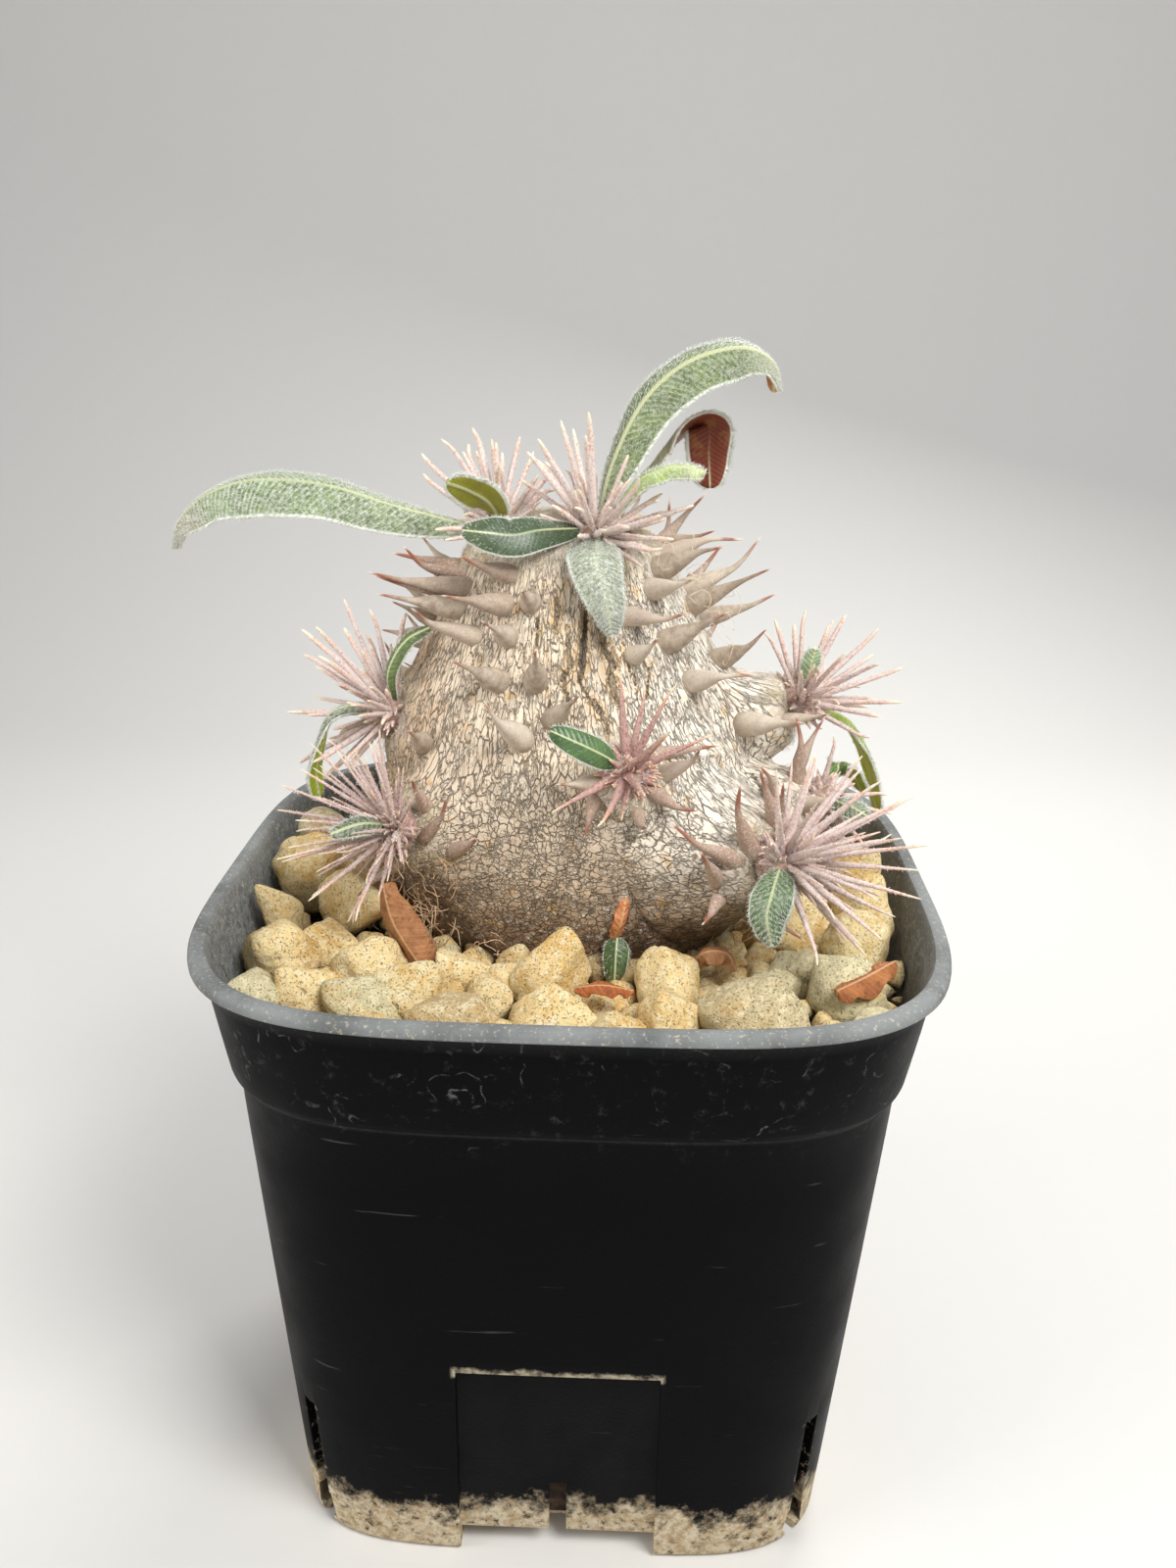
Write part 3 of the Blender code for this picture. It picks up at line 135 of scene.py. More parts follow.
# Leaves: the tip that bears it, points along the midrib, half width, ways that the upper face looks from its
# base to its point, and fold
LEAVES = {
    "leaf_crown_long": (
        "crown_left",
        (
            (-16.0, 11.5, 121.6), (-24.5, 10.9, 124.4), (-33.0, 9.8, 127.0), (-41.5, 9.0, 127.6),
            (-47.5, 7.6, 125.9), (-51.0, 6.5, 122.6), (-51.8, 6.0, 119.4),
        ),
        4.1, ((0.0, -0.54, 0.84), (-0.15, -0.54, 0.8), (-0.95, -0.25, 0.2)), 0.6,
    ),
    "leaf_crown_tall": (
        "crown_right",
        (
            (2.5, 7.9, 126.0), (3.7, 9.0, 130.9), (7.2, 10.0, 138.1), (12.3, 10.0, 142.8),
            (18.6, 10.0, 144.7), (22.6, 10.0, 143.2), (23.7, 10.0, 139.8),
        ),
        4.2, ((-0.75, -0.62, 0.1), (-0.49, -0.7, 0.64), (0.75, 0.2, 0.6)), 0.55,
    ),
    "leaf_crown_curled": (
        "crown_right",
        (
            (3.6, 9.6, 125.4), (7.1, 14.0, 127.8), (9.7, 15.5, 131.4), (13.0, 16.5, 135.4),
            (15.6, 17.0, 135.4), (15.9, 17.0, 131.4), (16.2, 16.4, 127.0),
        ),
        3.5, ((-0.6, -0.2, 0.6), (0.05, 0.3, 0.95), (0.25, 0.95, 0.1)), 0.15,
    ),
    "leaf_crown_short": (
        "crown_right",
        ((5.0, 5.6, 126.0), (6.6, 4.6, 128.8), (9.4, 3.8, 130.4), (12.0, 3.2, 130.9), (14.7, 2.6, 130.4)),
        1.6, ((-0.3, -0.5, 0.8),), 0.3,
    ),
    "leaf_crown_olive": (
        "crown_left",
        ((-10.4, 9.4, 124.4), (-11.8, 6.6, 126.2), (-14.2, 4.4, 127.9), (-16.6, 3.0, 128.9)),
        2.4, ((0.2, 0.8, 0.1), (0.25, 0.9, 0.2)), 0.15,
    ),
    "leaf_crown_dark": (
        "crown_right",
        (
            (-1.8, 3.0, 124.0), (-5.0, 0.2, 123.5), (-8.2, -1.8, 123.2), (-11.2, -2.9, 123.6),
            (-14.2, -3.2, 123.9),
        ),
        2.6, ((-0.1, -0.85, 0.5),), 0.2,
    ),
    "leaf_crown_silver": (
        "crown_right",
        ((1.4, 2.4, 122.0), (1.6, -1.6, 121.2), (2.3, -4.2, 118.9), (3.5, -5.4, 115.3), (4.1, -5.6, 112.2)),
        3.3, ((0.0, -0.3, 0.95), (0.0, -0.95, 0.25)), 0.22,
    ),
    "leaf_crown_back": (
        "crown_left",
        ((-12.6, 15.8, 123.6), (-13.6, 21.8, 123.4), (-13.6, 28.4, 119.8), (-13.0, 32.8, 113.6)),
        3.2, ((0.0, 0.1, 0.95), (0.0, 0.9, 0.35)), 0.15,
    ),
    "leaf_shoulder_left": (
        "left_upper",
        (
            (-24.0, 4.4, 101.4), (-24.5, 3.4, 103.8), (-23.6, 3.0, 106.6), (-21.8, 3.2, 109.0),
            (-19.2, 3.8, 110.4),
        ),
        1.1, ((-0.6, -0.75, 0.1),), 0.3,
    ),
    "leaf_left_drooping": (
        "left_upper",
        (
            (-27.2, 4.6, 99.4), (-29.9, 2.8, 99.8), (-32.2, 1.8, 98.6), (-33.5, 1.2, 95.4),
            (-34.3, 0.8, 91.6), (-33.9, 0.8, 88.1),
        ),
        1.9, ((-0.2, -0.55, 0.8), (-0.75, 0.0, 0.65), (-0.85, 0.5, 0.2)), 0.2,
    ),
    "leaf_left_low": (
        "left_lower", ((-23.6, -12.2, 89.6), (-25.6, -14.2, 90.2), (-28.9, -15.4, 89.3)),
        1.4, ((-0.1, -0.75, 0.65),), 0.2,
    ),
    "leaf_front": (
        "front", ((4.4, -15.2, 99.6), (2.2, -16.8, 101.2), (-2.6, -18.2, 103.8)),
        1.8, ((0.1, -0.85, 0.5),), 0.15,
    ),
    "leaf_right_low": (
        "right_lower", ((24.2, -20.8, 88.4), (23.2, -23.6, 87.0), (22.6, -25.0, 84.4), (23.3, -25.4, 81.2)),
        2.5, ((-0.2, -0.6, 0.75), (-0.25, -0.95, 0.2)), 0.25,
    ),
    "leaf_right_rim": (
        "right_upper", ((32.0, 8.4, 99.6), (35.6, 9.0, 97.4), (39.0, 10.0, 91.3), (40.8, 11.0, 84.2)),
        1.8, ((0.55, -0.2, 0.8), (0.75, 0.6, 0.25)), 0.3,
    ),
    "leaf_right_mid": (
        "right_middle", ((32.6, 2.6, 91.8), (33.8, 3.6, 93.6), (35.8, 4.0, 92.6), (37.4, 4.0, 89.8)),
        1.8, ((0.5, 0.2, 0.7), (0.7, 0.6, 0.3)), 0.2,
    ),
    "leaf_right_grey": (
        "right_middle", ((32.6, -1.8, 90.4), (34.4, -4.4, 90.6), (36.4, -5.8, 89.8)),
        1.5, ((0.0, -0.7, 0.7),), 0.2,
    ),
    "leaf_right_small": (
        "right_upper", ((29.2, 6.4, 104.0), (29.4, 5.6, 106.4), (29.8, 5.2, 108.6)),
        1.2, ((0.1, -0.9, 0.3),), 0.2,
    ),
    "leaf_back_left": (
        "back_left", ((-17.4, 36.0, 97.2), (-20.0, 38.2, 99.6), (-22.8, 39.8, 99.0), (-24.6, 40.8, 95.6)),
        2.0, ((-0.2, 0.4, 0.85), (-0.6, 0.6, 0.5)), 0.25,
    ),
    "leaf_back_right": (
        "back_right", ((17.0, 37.0, 91.4), (19.4, 39.0, 93.4), (22.4, 40.4, 92.4), (24.2, 41.0, 89.0)),
        2.0, ((0.2, 0.4, 0.85), (0.6, 0.6, 0.5)), 0.25,
    ),
    "leaf_base": (
        None, ((5.6, -13.2, 76.0), (5.5, -14.6, 74.2), (5.4, -16.0, 70.0)),
        1.6, ((0.0, -0.8, 0.5),), 0.2,
    ),
}
# Dry leaves: points along the midrib, half width, way that the upper face looks, and fold
DRY_LEAVES = {
    "dry_leaf_left": (
        ((-23.2, -12.4, 82.0), (-21.8, -14.0, 77.6), (-19.0, -15.2, 73.4), (-16.4, -15.8, 69.9)),
        2.4, ((-0.45, -0.8, 0.4),), 0.7,
    ),
    "dry_leaf_middle": (
        ((14.8, -16.6, 74.4), (16.4, -17.8, 76.4), (18.6, -18.0, 76.4), (19.8, -17.4, 74.2)),
        1.4, ((0.0, -0.6, 0.8),), 0.5,
    ),
    "dry_leaf_right": (
        ((31.0, -25.6, 75.6), (34.6, -23.4, 76.4), (38.4, -20.2, 77.0)),
        1.8, ((-0.2, -0.4, 0.9),), 0.6,
    ),
    "dry_leaf_far_left": (
        ((-39.4, 5.6, 78.2), (-37.2, 6.6, 79.6), (-35.0, 8.4, 79.8)),
        1.4, ((0.1, -0.5, 0.85),), 0.5,
    ),
    "dry_remnant": (
        ((5.2, -13.2, 76.0), (6.0, -14.4, 78.6), (6.5, -13.9, 81.6)),
        0.9, ((0.2, -0.9, 0.2),), 0.6,
    ),
    "dry_leaf_scrap": (
        ((1.0, -26.4, 75.4), (4.2, -26.8, 76.0), (7.6, -26.2, 75.2)),
        1.0, ((0.1, -0.3, 0.95),), 0.4,
    ),
}
LEAF_THICKNESS = 0.7
LEAF_EDGE_WIDTH = 0.45
LEAF_ENDS = (0.8, 0.65)  # powers of a leaf's taper to the point and to the base

# Stones that the front shows and the row close behind the front rim, as x, y, height of the middle, length,
# width, height, turn in degrees
STONES = (
    (-35.6, -15.2, 73.4, 11.0, 9.0, 9.0, 60), (-31.0, -10.4, 72.0, 8.5, 8.0, 8.0, 20),
    (-24.8, -15.4, 71.8, 9.5, 8.5, 8.0, 0), (-29.6, -1.4, 75.0, 12.0, 9.0, 9.5, -30),
    (-36.0, 5.6, 76.0, 9.0, 9.5, 10.0, 40), (-37.6, -4.6, 73.4, 6.5, 7.5, 8.0, 10),
    (-36.6, 14.6, 77.6, 8.0, 8.5, 9.0, 70), (-31.0, -22.5, 71.8, 8.0, 7.5, 7.5, 35),
    (-24.6, -24.4, 72.0, 9.5, 7.5, 7.5, -15), (-18.4, -22.4, 71.8, 8.0, 7.0, 8.0, 50),
    (-13.6, -16.6, 71.4, 7.0, 6.5, 7.5, 0), (-7.6, -17.2, 71.0, 6.6, 6.2, 6.6, 30),
    (-2.4, -18.6, 72.6, 11.5, 8.5, 9.5, 55), (-9.6, -22.2, 71.2, 6.5, 6.5, 7.5, 15),
    (-13.0, -28.6, 72.0, 10.5, 7.5, 7.5, 5), (-2.2, -28.2, 72.0, 9.5, 7.0, 7.0, -10),
    (5.8, -30.4, 71.8, 9.5, 6.5, 6.5, 0), (4.0, -22.8, 70.6, 6.0, 5.5, 6.0, 25),
    (11.8, -27.4, 72.2, 9.0, 7.5, 8.0, 65), (11.8, -18.6, 72.4, 9.6, 8.6, 9.5, 20),
    (22.0, -26.2, 72.6, 14.5, 8.5, 9.0, -8), (32.6, -20.2, 72.4, 11.5, 9.5, 9.0, -50),
    (35.4, -9.4, 74.6, 8.5, 8.0, 9.0, 25), (37.2, -1.6, 76.0, 7.0, 8.0, 9.5, 70),
    (37.6, 6.4, 77.0, 7.0, 8.5, 9.0, 80), (35.4, -28.6, 71.4, 8.0, 7.5, 8.0, 40),
    (-37.0, -24.4, 71.4, 8.0, 8.0, 8.0, 20), (29.0, -12.6, 71.0, 8.0, 7.0, 6.5, 0),
    (-35.0, -31.5, 70.6, 7.0, 6.5, 6.0, 0), (27.5, -33.0, 71.0, 8.0, 6.0, 6.0, 10),
    (-27.5, -35.0, 70.9, 9.0, 8.0, 7.5, 25), (-18.4, -36.4, 70.8, 9.5, 7.0, 7.0, -12),
    (-8.6, -36.0, 71.2, 9.0, 7.5, 8.0, 30), (1.4, -36.6, 70.8, 10.0, 7.0, 7.0, 5),
    (11.6, -36.0, 71.0, 9.0, 7.5, 7.5, -25), (20.4, -35.6, 70.8, 8.0, 7.5, 7.0, 40),
)
BACK_STONES = 15
BACK_STONE_FROM_Y = 17.0
BACK_STONE = (9.5, 12.5)  # sizes of the stones behind the trunk
STONE_SINK = 1.5

# Old thorns that the front shows: height, turn about the trunk (0 is +X, -90 the front), rise and sideways
# turn in degrees, and length
THORNS = (
    (117.0, -171, 15, 20, 8.5), (116.5, -155, 18, 7, 8.5), (115.5, -146, 9, -12, 12.0),
    (114.5, -153, 13, 7, 10.5), (113.0, -146, 14, 2, 10.5), (118.0, -117, 20, -18, 8.0),
    (118.5, -104, 42, -26, 9.0), (114.5, -117, 13, -23, 8.5), (110.0, -172, 26, 38, 7.0),
    (110.5, -129, 20, -17, 9.5), (111.0, -111, 24, 3, 7.5), (106.0, -112, 27, -19, 7.5),
    (106.5, -98, 39, 11, 7.5), (100.0, -102, 35, -22, 8.0), (102.5, -91, 35, 32, 7.0),
    (97.0, -138, 30, 38, 6.0), (107.0, -179, 0, -33, 7.0), (115.0, -103, 26, 5, 5.5),
    (117.5, -84, 47, -37, 9.0), (119.0, -12, 26, -10, 9.5), (118.0, -28, 27, -2, 9.5),
    (120.0, 6, 14, -30, 7.5), (116.0, -40, 16, -10, 8.5), (114.0, 4, 21, 10, 11.5),
    (112.5, -8, 30, -14, 11.5), (110.0, 6, 12, 6, 10.5), (113.5, -59, 4, 21, 9.0),
    (110.0, -41, 30, 10, 9.0), (109.0, -60, 28, 2, 6.5), (106.0, -12, 28, -30, 8.0),
    (105.0, -37, 19, -12, 9.0), (99.0, -23, 15, -26, 9.0), (92.0, -33, 46, -66, 6.5),
    (91.5, -45, 60, -80, 9.0), (90.0, -53, 60, -80, 9.0), (89.0, -57, 28, -88, 8.5),
    (86.5, -59, 44, -56, 6.5), (83.5, -58, -8, -50, 6.0), (93.0, -24, 74, -60, 8.0),
    (89.5, -38, 62, -54, 7.0), (84.0, -47, -60, 0, 6.5), (81.0, -40, -50, -20, 6.0),
    (91.0, -127, 52, 16, 6.0), (88.0, -124, 48, 80, 6.5), (86.0, -118, 30, 66, 6.0),
    (95.0, -66, -12, 20, 6.0), (94.0, -80, -28, -20, 6.0), (98.5, -61, 10, 60, 7.0),
)
# Thorns that the front doesn't show follow a rule: height of the row and thorns in it, round the back half
THORN_ROWS = ((118.0, 5), (114.5, 4), (111.0, 5), (107.0, 4), (102.0, 4), (97.0, 3))
THORN_BACK_FROM, THORN_BACK_TO = 24, 172
THORN_LENGTH = (7.5, 10.0)
THORN_GIRTH = 1.35
THORN_RISE = 0.35
THORN_SHAKE = (0.1, 0.9)  # most that a thorn of a row is off its place: radians of turn and height
ARM_THORNS = 4
ARM_THORN_LENGTH = (6.0, 9.0)
ARM_THORN_GIRTH = 1.0
LOWEST_THORN = 78.5
NEEDLE_GIRTH = 0.66
NEEDLE_SIDES = 8
NEEDLE_START = 0.3  # where a needle starts, as a share of the core's radius
CROWN_WIDER = 34  # degrees by which the crown's young needles, and all scales, go past the spread
TIP_WIDER = 6  # the same for the side tips' young needles
CLEAR_OF_LEAF = 0.80
CLEAR_SAMPLES = 15

# Finer shapes
BELL_ROWS, BELL_COLUMNS = 80, 96
ARM_ROWS, ARM_COLUMNS = 8, 32
# Deep fissures in front: places down each as turn in degrees and height, half width, depth and blackness
FISSURES = (
    (((-78.0, 114.2), (-78.6, 112.2), (-79.8, 110.0), (-81.0, 108.2), (-82.4, 106.6)), 0.44, 0.6, 0.85),
    (((-82.0, 106.6), (-80.0, 105.4), (-77.4, 104.2), (-75.4, 102.2), (-75.8, 100.0)), 0.16, 0.25, 0.5),
    (
        ((-69.0, 112.4), (-71.4, 110.2), (-69.2, 108.5), (-71.0, 107.0), (-69.6, 105.2), (-69.0, 103.6)),
        0.5, 0.4, 0.15,
    ),
    (((-85.2, 112.6), (-86.2, 110.0), (-85.2, 108.6), (-88.0, 107.0), (-86.2, 104.4)), 0.34, 0.32, 0.1),
    (((-79.4, 104.6), (-77.6, 103.8), (-75.6, 102.6), (-74.4, 101.2)), 0.38, 0.3, 0.1),
    (((-56.2, 109.0), (-54.4, 107.2), (-56.6, 105.8), (-58.4, 104.2)), 0.2, 0.3, 0.5),
    (((-99.4, 113.6), (-98.6, 112.0), (-99.2, 110.2)), 0.22, 0.25, 0.4),
    (((-91.0, 116.0), (-90.2, 114.2), (-90.8, 111.8)), 0.34, 0.15, 0.0),
    (((-93.4, 106.0), (-92.6, 104.0), (-93.6, 101.6)), 0.14, 0.2, 0.5),
    (((-62.8, 110.6), (-63.6, 108.8), (-62.0, 106.4), (-63.0, 103.8)), 0.16, 0.25, 0.5),
)
FISSURE_LIP = 0.16
FISSURE_STEPS = 60
FISSURE_REACH = (14, 10)  # how far its marks are looked for: degrees of turn and millimetres of height
FISSURE_WANDER = 0.22
# The bark's relief in millimetres, and where the felt begins: heights, and distances past a tip's core
LUMPS, RIPPLES, CRACK_DEPTH, FELT_BUMPS = 0.24, 0.08, 0.09, 0.09
CRACK_CELLS = 1.6
FELT_HEIGHTS = (115.5, 121.0)
FELT_ROUND_TIP = (4.5, 0.8)
MOST_SOFTENING = 1.6
# Heights between which the cracks change from upright wavy lines to a net, and how far they are drawn out
NET_BELOW, LINES_ABOVE = 84.0, 97.0
LINES_STRETCH = 0.30
FLOW_RADIUS = 20.0
# Places along a thorn, and its radius there as a share of its girth if it is stout and if it is slender; the
# places below 0 are sunk in the bark
THORN_SHAPE = (
    (-0.16, 1.36, 0.98), (-0.04, 1.28, 0.88), (0.06, 1.2, 0.8), (0.15, 1.12, 0.73), (0.24, 1.0, 0.66),
    (0.33, 0.84, 0.57), (0.42, 0.64, 0.47), (0.5, 0.47, 0.38), (0.57, 0.35, 0.31), (0.64, 0.27, 0.26),
    (0.72, 0.21, 0.21), (0.8, 0.17, 0.17), (0.88, 0.13, 0.13), (0.95, 0.09, 0.08), (1.0, 0.02, 0.02),
)
THORN_STRETCH = 1.08  # how much longer the fine ends are than the part's
THORN_HOOK = 0.30  # most that a thorn's end bends aside, as a share of its length
# Rows of the table of shown thorns that are slender, and how far
SLENDER_THORNS = {
    0: 1.0, 1: 1.0, 2: 0.4, 3: 1.0, 5: 0.6, 6: 0.9, 7: 0.3, 9: 0.4, 19: 0.3, 21: 0.4, 26: 0.5, 32: 0.8,
    33: 0.9, 34: 1.0, 35: 1.0, 36: 0.9, 37: 1.0, 38: 0.9, 39: 0.9, 40: 0.8, 41: 0.9, 42: 1.0, 43: 1.0,
    44: 0.9, 45: 0.8, 46: 0.9, 47: 0.9,
}
# A needle's radius along it, as shares of its girth, as a blunt rod and as a spike
NEEDLE_ALONG = (0.0, 0.12, 0.26, 0.42, 0.58, 0.72, 0.84, 0.92, 0.98, 1.0)
ROD_SHAPE = (1.1, 1.08, 1.04, 1.0, 0.95, 0.88, 0.78, 0.66, 0.46, 0.12)
SPIKE_SHAPE = (1.3, 1.28, 1.14, 0.92, 0.68, 0.49, 0.35, 0.26, 0.17, 0.05)
# How much longer the long needles are than the part's, where that isn't 1.06
NEEDLE_STRETCH = {"front": 1.35, "crown_right": 1.12, "left_upper": 1.12}
# How a tip's needles look: girth, young ones for each long one, spike rather than rod, redness, hairiness
TIP_LOOKS = {
    "crown_right": (0.43, 1.7, 0.15, 0.08, 1.0), "crown_left": (0.4, 1.7, 0.15, 0.12, 1.0),
    "left_upper": (0.43, 1.0, 0.2, 0.25, 0.9), "left_lower": (0.28, 2.0, 0.5, 0.5, 1.0),
    "front": (0.5, 0.35, 1.0, 0.9, 0.35), "right_lower": (0.46, 0.8, 0.85, 0.3, 1.0),
    "right_upper": (0.4, 0.8, 0.25, 0.35, 0.9), "right_middle": (0.44, 0.7, 0.6, 0.3, 0.6),
    "back_left": (0.34, 1.4, 0.3, 0.4, 0.8), "back_right": (0.34, 1.4, 0.3, 0.4, 0.8),
}
SCALES = 70  # short ones on each tip's core
FELT_HAIRS = 14000
CORE_HAIRS = 900
# Thin hairs caught at the right: height, turn and radius of the arc
CURLED_HAIRS = (
    (117.0, -24, 1.8), (116.0, -16, 2.2), (114.5, -10, 1.6), (113.0, -20, 1.4), (111.0, -14, 2.4),
    (109.5, -8, 1.8), (107.5, -16, 1.5), (118.5, -36, 1.6), (112.0, -4, 2.0), (109.0, -22, 1.3),
    (119.5, -20, 1.9), (106.0, -20, 1.4),
)
# Root fibres: how many, and between which heights, turns and radii
FIBRES = (
    (220, (71.0, 86.0), (-176, -122), (1.2, 4.4)), (50, (70.0, 74.0), (-128, -60), (1.0, 2.6)),
    (30, (71.0, 76.0), (-50, -20), (1.0, 2.6)), (60, (70.0, 76.0), (20, 160), (1.0, 2.6)),
)
HAIR_FACES = np.array(((0, 2, 1), (0, 1, 3), (1, 2, 3), (2, 0, 3)))
LEAF_ROWS, LEAF_COLUMNS = 72, 44
# How a leaf looks: upper and lower colour, colour towards its point, how silvery, half width of its midrib in
# millimetres, how woolly its margins, hairs, waves of its margins, and powers of its taper, else LEAF_ENDS
LEAF_LOOKS = {
    "leaf_crown_long": ((116, 138, 84), (150, 150, 104), (186, 150, 118), 0.7, 0.22, 0.9, 1.5, 0.35),
    "leaf_crown_tall": ((104, 122, 62), (190, 122, 62), (172, 168, 124), 0.42, 0.4, 0.9, 1.2, 0.35, 0.7),
    "leaf_crown_curled": (
        (168, 178, 140), (116, 48, 32), (148, 100, 52), 0.3, 0.12, 2.0, 0.1, 0.35, 0.42, 0.5,
    ),
    "leaf_crown_short": ((170, 192, 104), (184, 200, 120), (196, 206, 140), 0.45, 0.2, 0.9, 0.9, 0.1, 0.6),
    "leaf_crown_olive": ((150, 150, 56), (142, 144, 50), (150, 146, 62), 0.05, 0.26, 2.2, 0.3, 0.15, 0.65),
    "leaf_crown_dark": ((70, 90, 62), (120, 128, 80), (84, 98, 66), 0.06, 0.12, 0.5, 0.35, 0.15, 0.7),
    "leaf_crown_silver": (
        (158, 166, 138), (150, 150, 104), (170, 174, 150), 1.0, 0.1, 1.0, 3.4, 0.2, 0.8, 0.3,
    ),
    "leaf_crown_back": ((96, 124, 74), (150, 150, 104), (120, 128, 84), 0.55, 0.26, 0.8, 1.0, 0.35),
    "leaf_shoulder_left": ((104, 126, 68), (132, 142, 88), (110, 128, 74), 0.1, 0.18, 0.4, 0.2, 0.05),
    "leaf_left_drooping": ((92, 104, 74), (150, 172, 34), (150, 172, 40), 0.45, 0.3, 1.2, 1.4, 0.15, 0.55),
    "leaf_left_low": ((92, 106, 76), (150, 150, 104), (104, 116, 84), 0.34, 0.22, 0.8, 1.2, 0.1),
    "leaf_front": ((88, 120, 72), (120, 140, 70), (72, 100, 58), 0.04, 0.12, 0.7, 0.14, 0.08, 0.6),
    "leaf_right_low": ((84, 114, 62), (150, 150, 104), (100, 124, 74), 0.36, 0.14, 0.8, 1.5, 0.15, 0.7, 0.5),
    "leaf_right_rim": ((160, 184, 62), (184, 204, 72), (168, 186, 80), 0.08, 0.3, 1.2, 0.5, 0.15, 0.6),
    "leaf_right_mid": ((108, 140, 60), (150, 176, 62), (120, 146, 66), 0.1, 0.16, 2.0, 0.4, 0.15, 0.6),
    "leaf_right_grey": ((98, 116, 84), (150, 150, 104), (110, 124, 90), 0.45, 0.16, 0.9, 0.8, 0.1, 0.7),
    "leaf_right_small": ((150, 178, 130), (150, 178, 130), (170, 190, 150), 0.35, 0.16, 0.8, 0.6, 0.1, 0.6),
    "leaf_back_left": ((96, 124, 74), (150, 150, 104), (120, 128, 84), 0.55, 0.26, 0.8, 1.0, 0.2),
    "leaf_back_right": ((96, 124, 74), (150, 150, 104), (120, 128, 84), 0.55, 0.26, 0.8, 1.0, 0.2),
    "leaf_base": ((78, 104, 58), (150, 150, 104), (120, 110, 66), 0.08, 0.12, 0.5, 0.3, 0.1),
    "dry_leaf_left": ((150, 98, 58), (176, 132, 90), (178, 124, 80), 0.0, 0.18, 0.0, 0.0, 0.9),
    "dry_leaf_middle": ((172, 118, 74), (190, 146, 100), (180, 130, 90), 0.0, 0.18, 0.0, 0.0, 0.7),
    "dry_leaf_right": ((178, 112, 60), (196, 140, 84), (150, 88, 48), 0.0, 0.18, 0.0, 0.0, 0.7),
    "dry_leaf_far_left": ((190, 106, 42), (206, 130, 60), (160, 84, 36), 0.0, 0.18, 0.0, 0.0, 0.7),
    "dry_remnant": ((196, 116, 66), (160, 88, 50), (226, 158, 108), 0.0, 0.18, 0.0, 0.0, 0.5),
    "dry_leaf_scrap": ((176, 96, 40), (196, 122, 58), (160, 84, 36), 0.0, 0.18, 0.0, 0.0, 0.5),
}
FRINGE_HAIRS = 16  # to a millimetre of a woolly margin
VEIN_STEP = 0.72  # between side veins, in millimetres along the midrib
VEIN_SLOPE = 0.75  # how far a side vein runs towards the point for each millimetre outwards
VEIN_HEIGHT = 0.045
RIB_FURROW, RIB_BELOW = 0.4, 0.38
STONE_STEPS = 18
STONE_PLANES = 15  # flat sides of a stone
STONE_EDGE = 11.0  # the power that joins them: the higher, the sharper
STONE_GAP = 0.35  # between a stone and the pot's wall
STONE_BUMPS = (0.26, 0.09)  # the coarse and the fine ones, in millimetres
PIT_DEPTH = 0.34
BED_INSIDE = 20.0  # radius of the bed's hole round the trunk
BED_TURNS, BED_SPANS = 160, 30
PEBBLES = 520
PEBBLE_PLANES = 10
PEBBLE_SIZE = (1.3, 3.2)  # the smallest, and how much larger the largest is
PEBBLE_FROM_TRUNK = 22.0
SMALL_STONES = 90
SMALL_STONE = (4.2, 7.6)  # sizes of the stones that fill the gaps, in millimetres
# How near the trunk's axis and how far out the middles of the seeded stones may lie
BACK_STONE_PLACES = (23.5, 37.2)
SMALL_STONE_PLACES = (22.5, 38.6)
# How softly each arm runs into the trunk, in millimetres
BLEND = {
    "left_upper": 1.0, "left_lower": 1.8, "front": 1.6, "right_lower": 3.2, "right_upper": 1.2,
    "right_middle": 1.6, "back_left": 1.6, "back_right": 1.6,
}
POT_COLUMNS = 176
POT_EDGE = 0.2
# The pot's outside from the base up and over its rim, as height and half width
POT_OUTSIDE = (
    (0.0, 33.5), (0.15, 33.85), (0.45, 34.15), (0.9, 34.35), (8.0, 35.05), (16.0, 35.79), (24.0, 36.54),
    (32.0, 37.28), (40.0, 38.03), (48.0, 38.77), (56.0, 39.52), (63.9, 40.25), (64.25, 40.38),
    (64.6, 40.62), (65.0, 40.95), (65.3, 41.18), (65.7, 41.32), (68.0, 41.76), (72.0, 42.5),
    (76.0, 43.22), (77.9, 43.56), (78.15, 43.75), (78.3, 44.3), (78.4, 44.72), (78.65, 44.97),
    (79.1, 45.02), (79.55, 44.97), (79.85, 44.78), (80.0, 44.45), (80.0, 43.65), (79.9, 43.32),
    (79.6, 43.12),
)
# Heights of the rings down the pot's inside
POT_INSIDE = (FLOOR_TOP, 20.0, 40.0, 58.0, BAND_LOW - 0.3, BAND_LOW + 0.6, 72.0, 78.6)
BOX_CORNERS = np.array(
    ((0, 0, 0), (1, 0, 0), (1, 1, 0), (0, 1, 0), (0, 0, 1), (1, 0, 1), (1, 1, 1), (0, 1, 1))
)
BOX_FACES = np.array(((0, 3, 2, 1), (4, 5, 6, 7), (0, 1, 5, 4), (1, 2, 6, 5), (2, 3, 7, 6), (3, 0, 4, 7)))
# The photograph's camera: its place, and its turn, dip and roll in radians
CAMERA_AT = (6.42, -176.62, 152.14)
CAMERA_TURN, CAMERA_DIP, CAMERA_ROLL = 0.02899, 0.331502, 0.0171777
# The studio's floor: radius of its bend, height of the wall and half width
SWEEP_RADIUS, SWEEP_HEIGHT, SWEEP_HALF = 260.0, 900.0, 1600.0

# Numbers on whole arrays

def unit(vectors):
    """Vectors scaled to length 1."""
    return vectors / np.maximum(np.linalg.norm(vectors, axis=-1, keepdims=True), 1e-9)


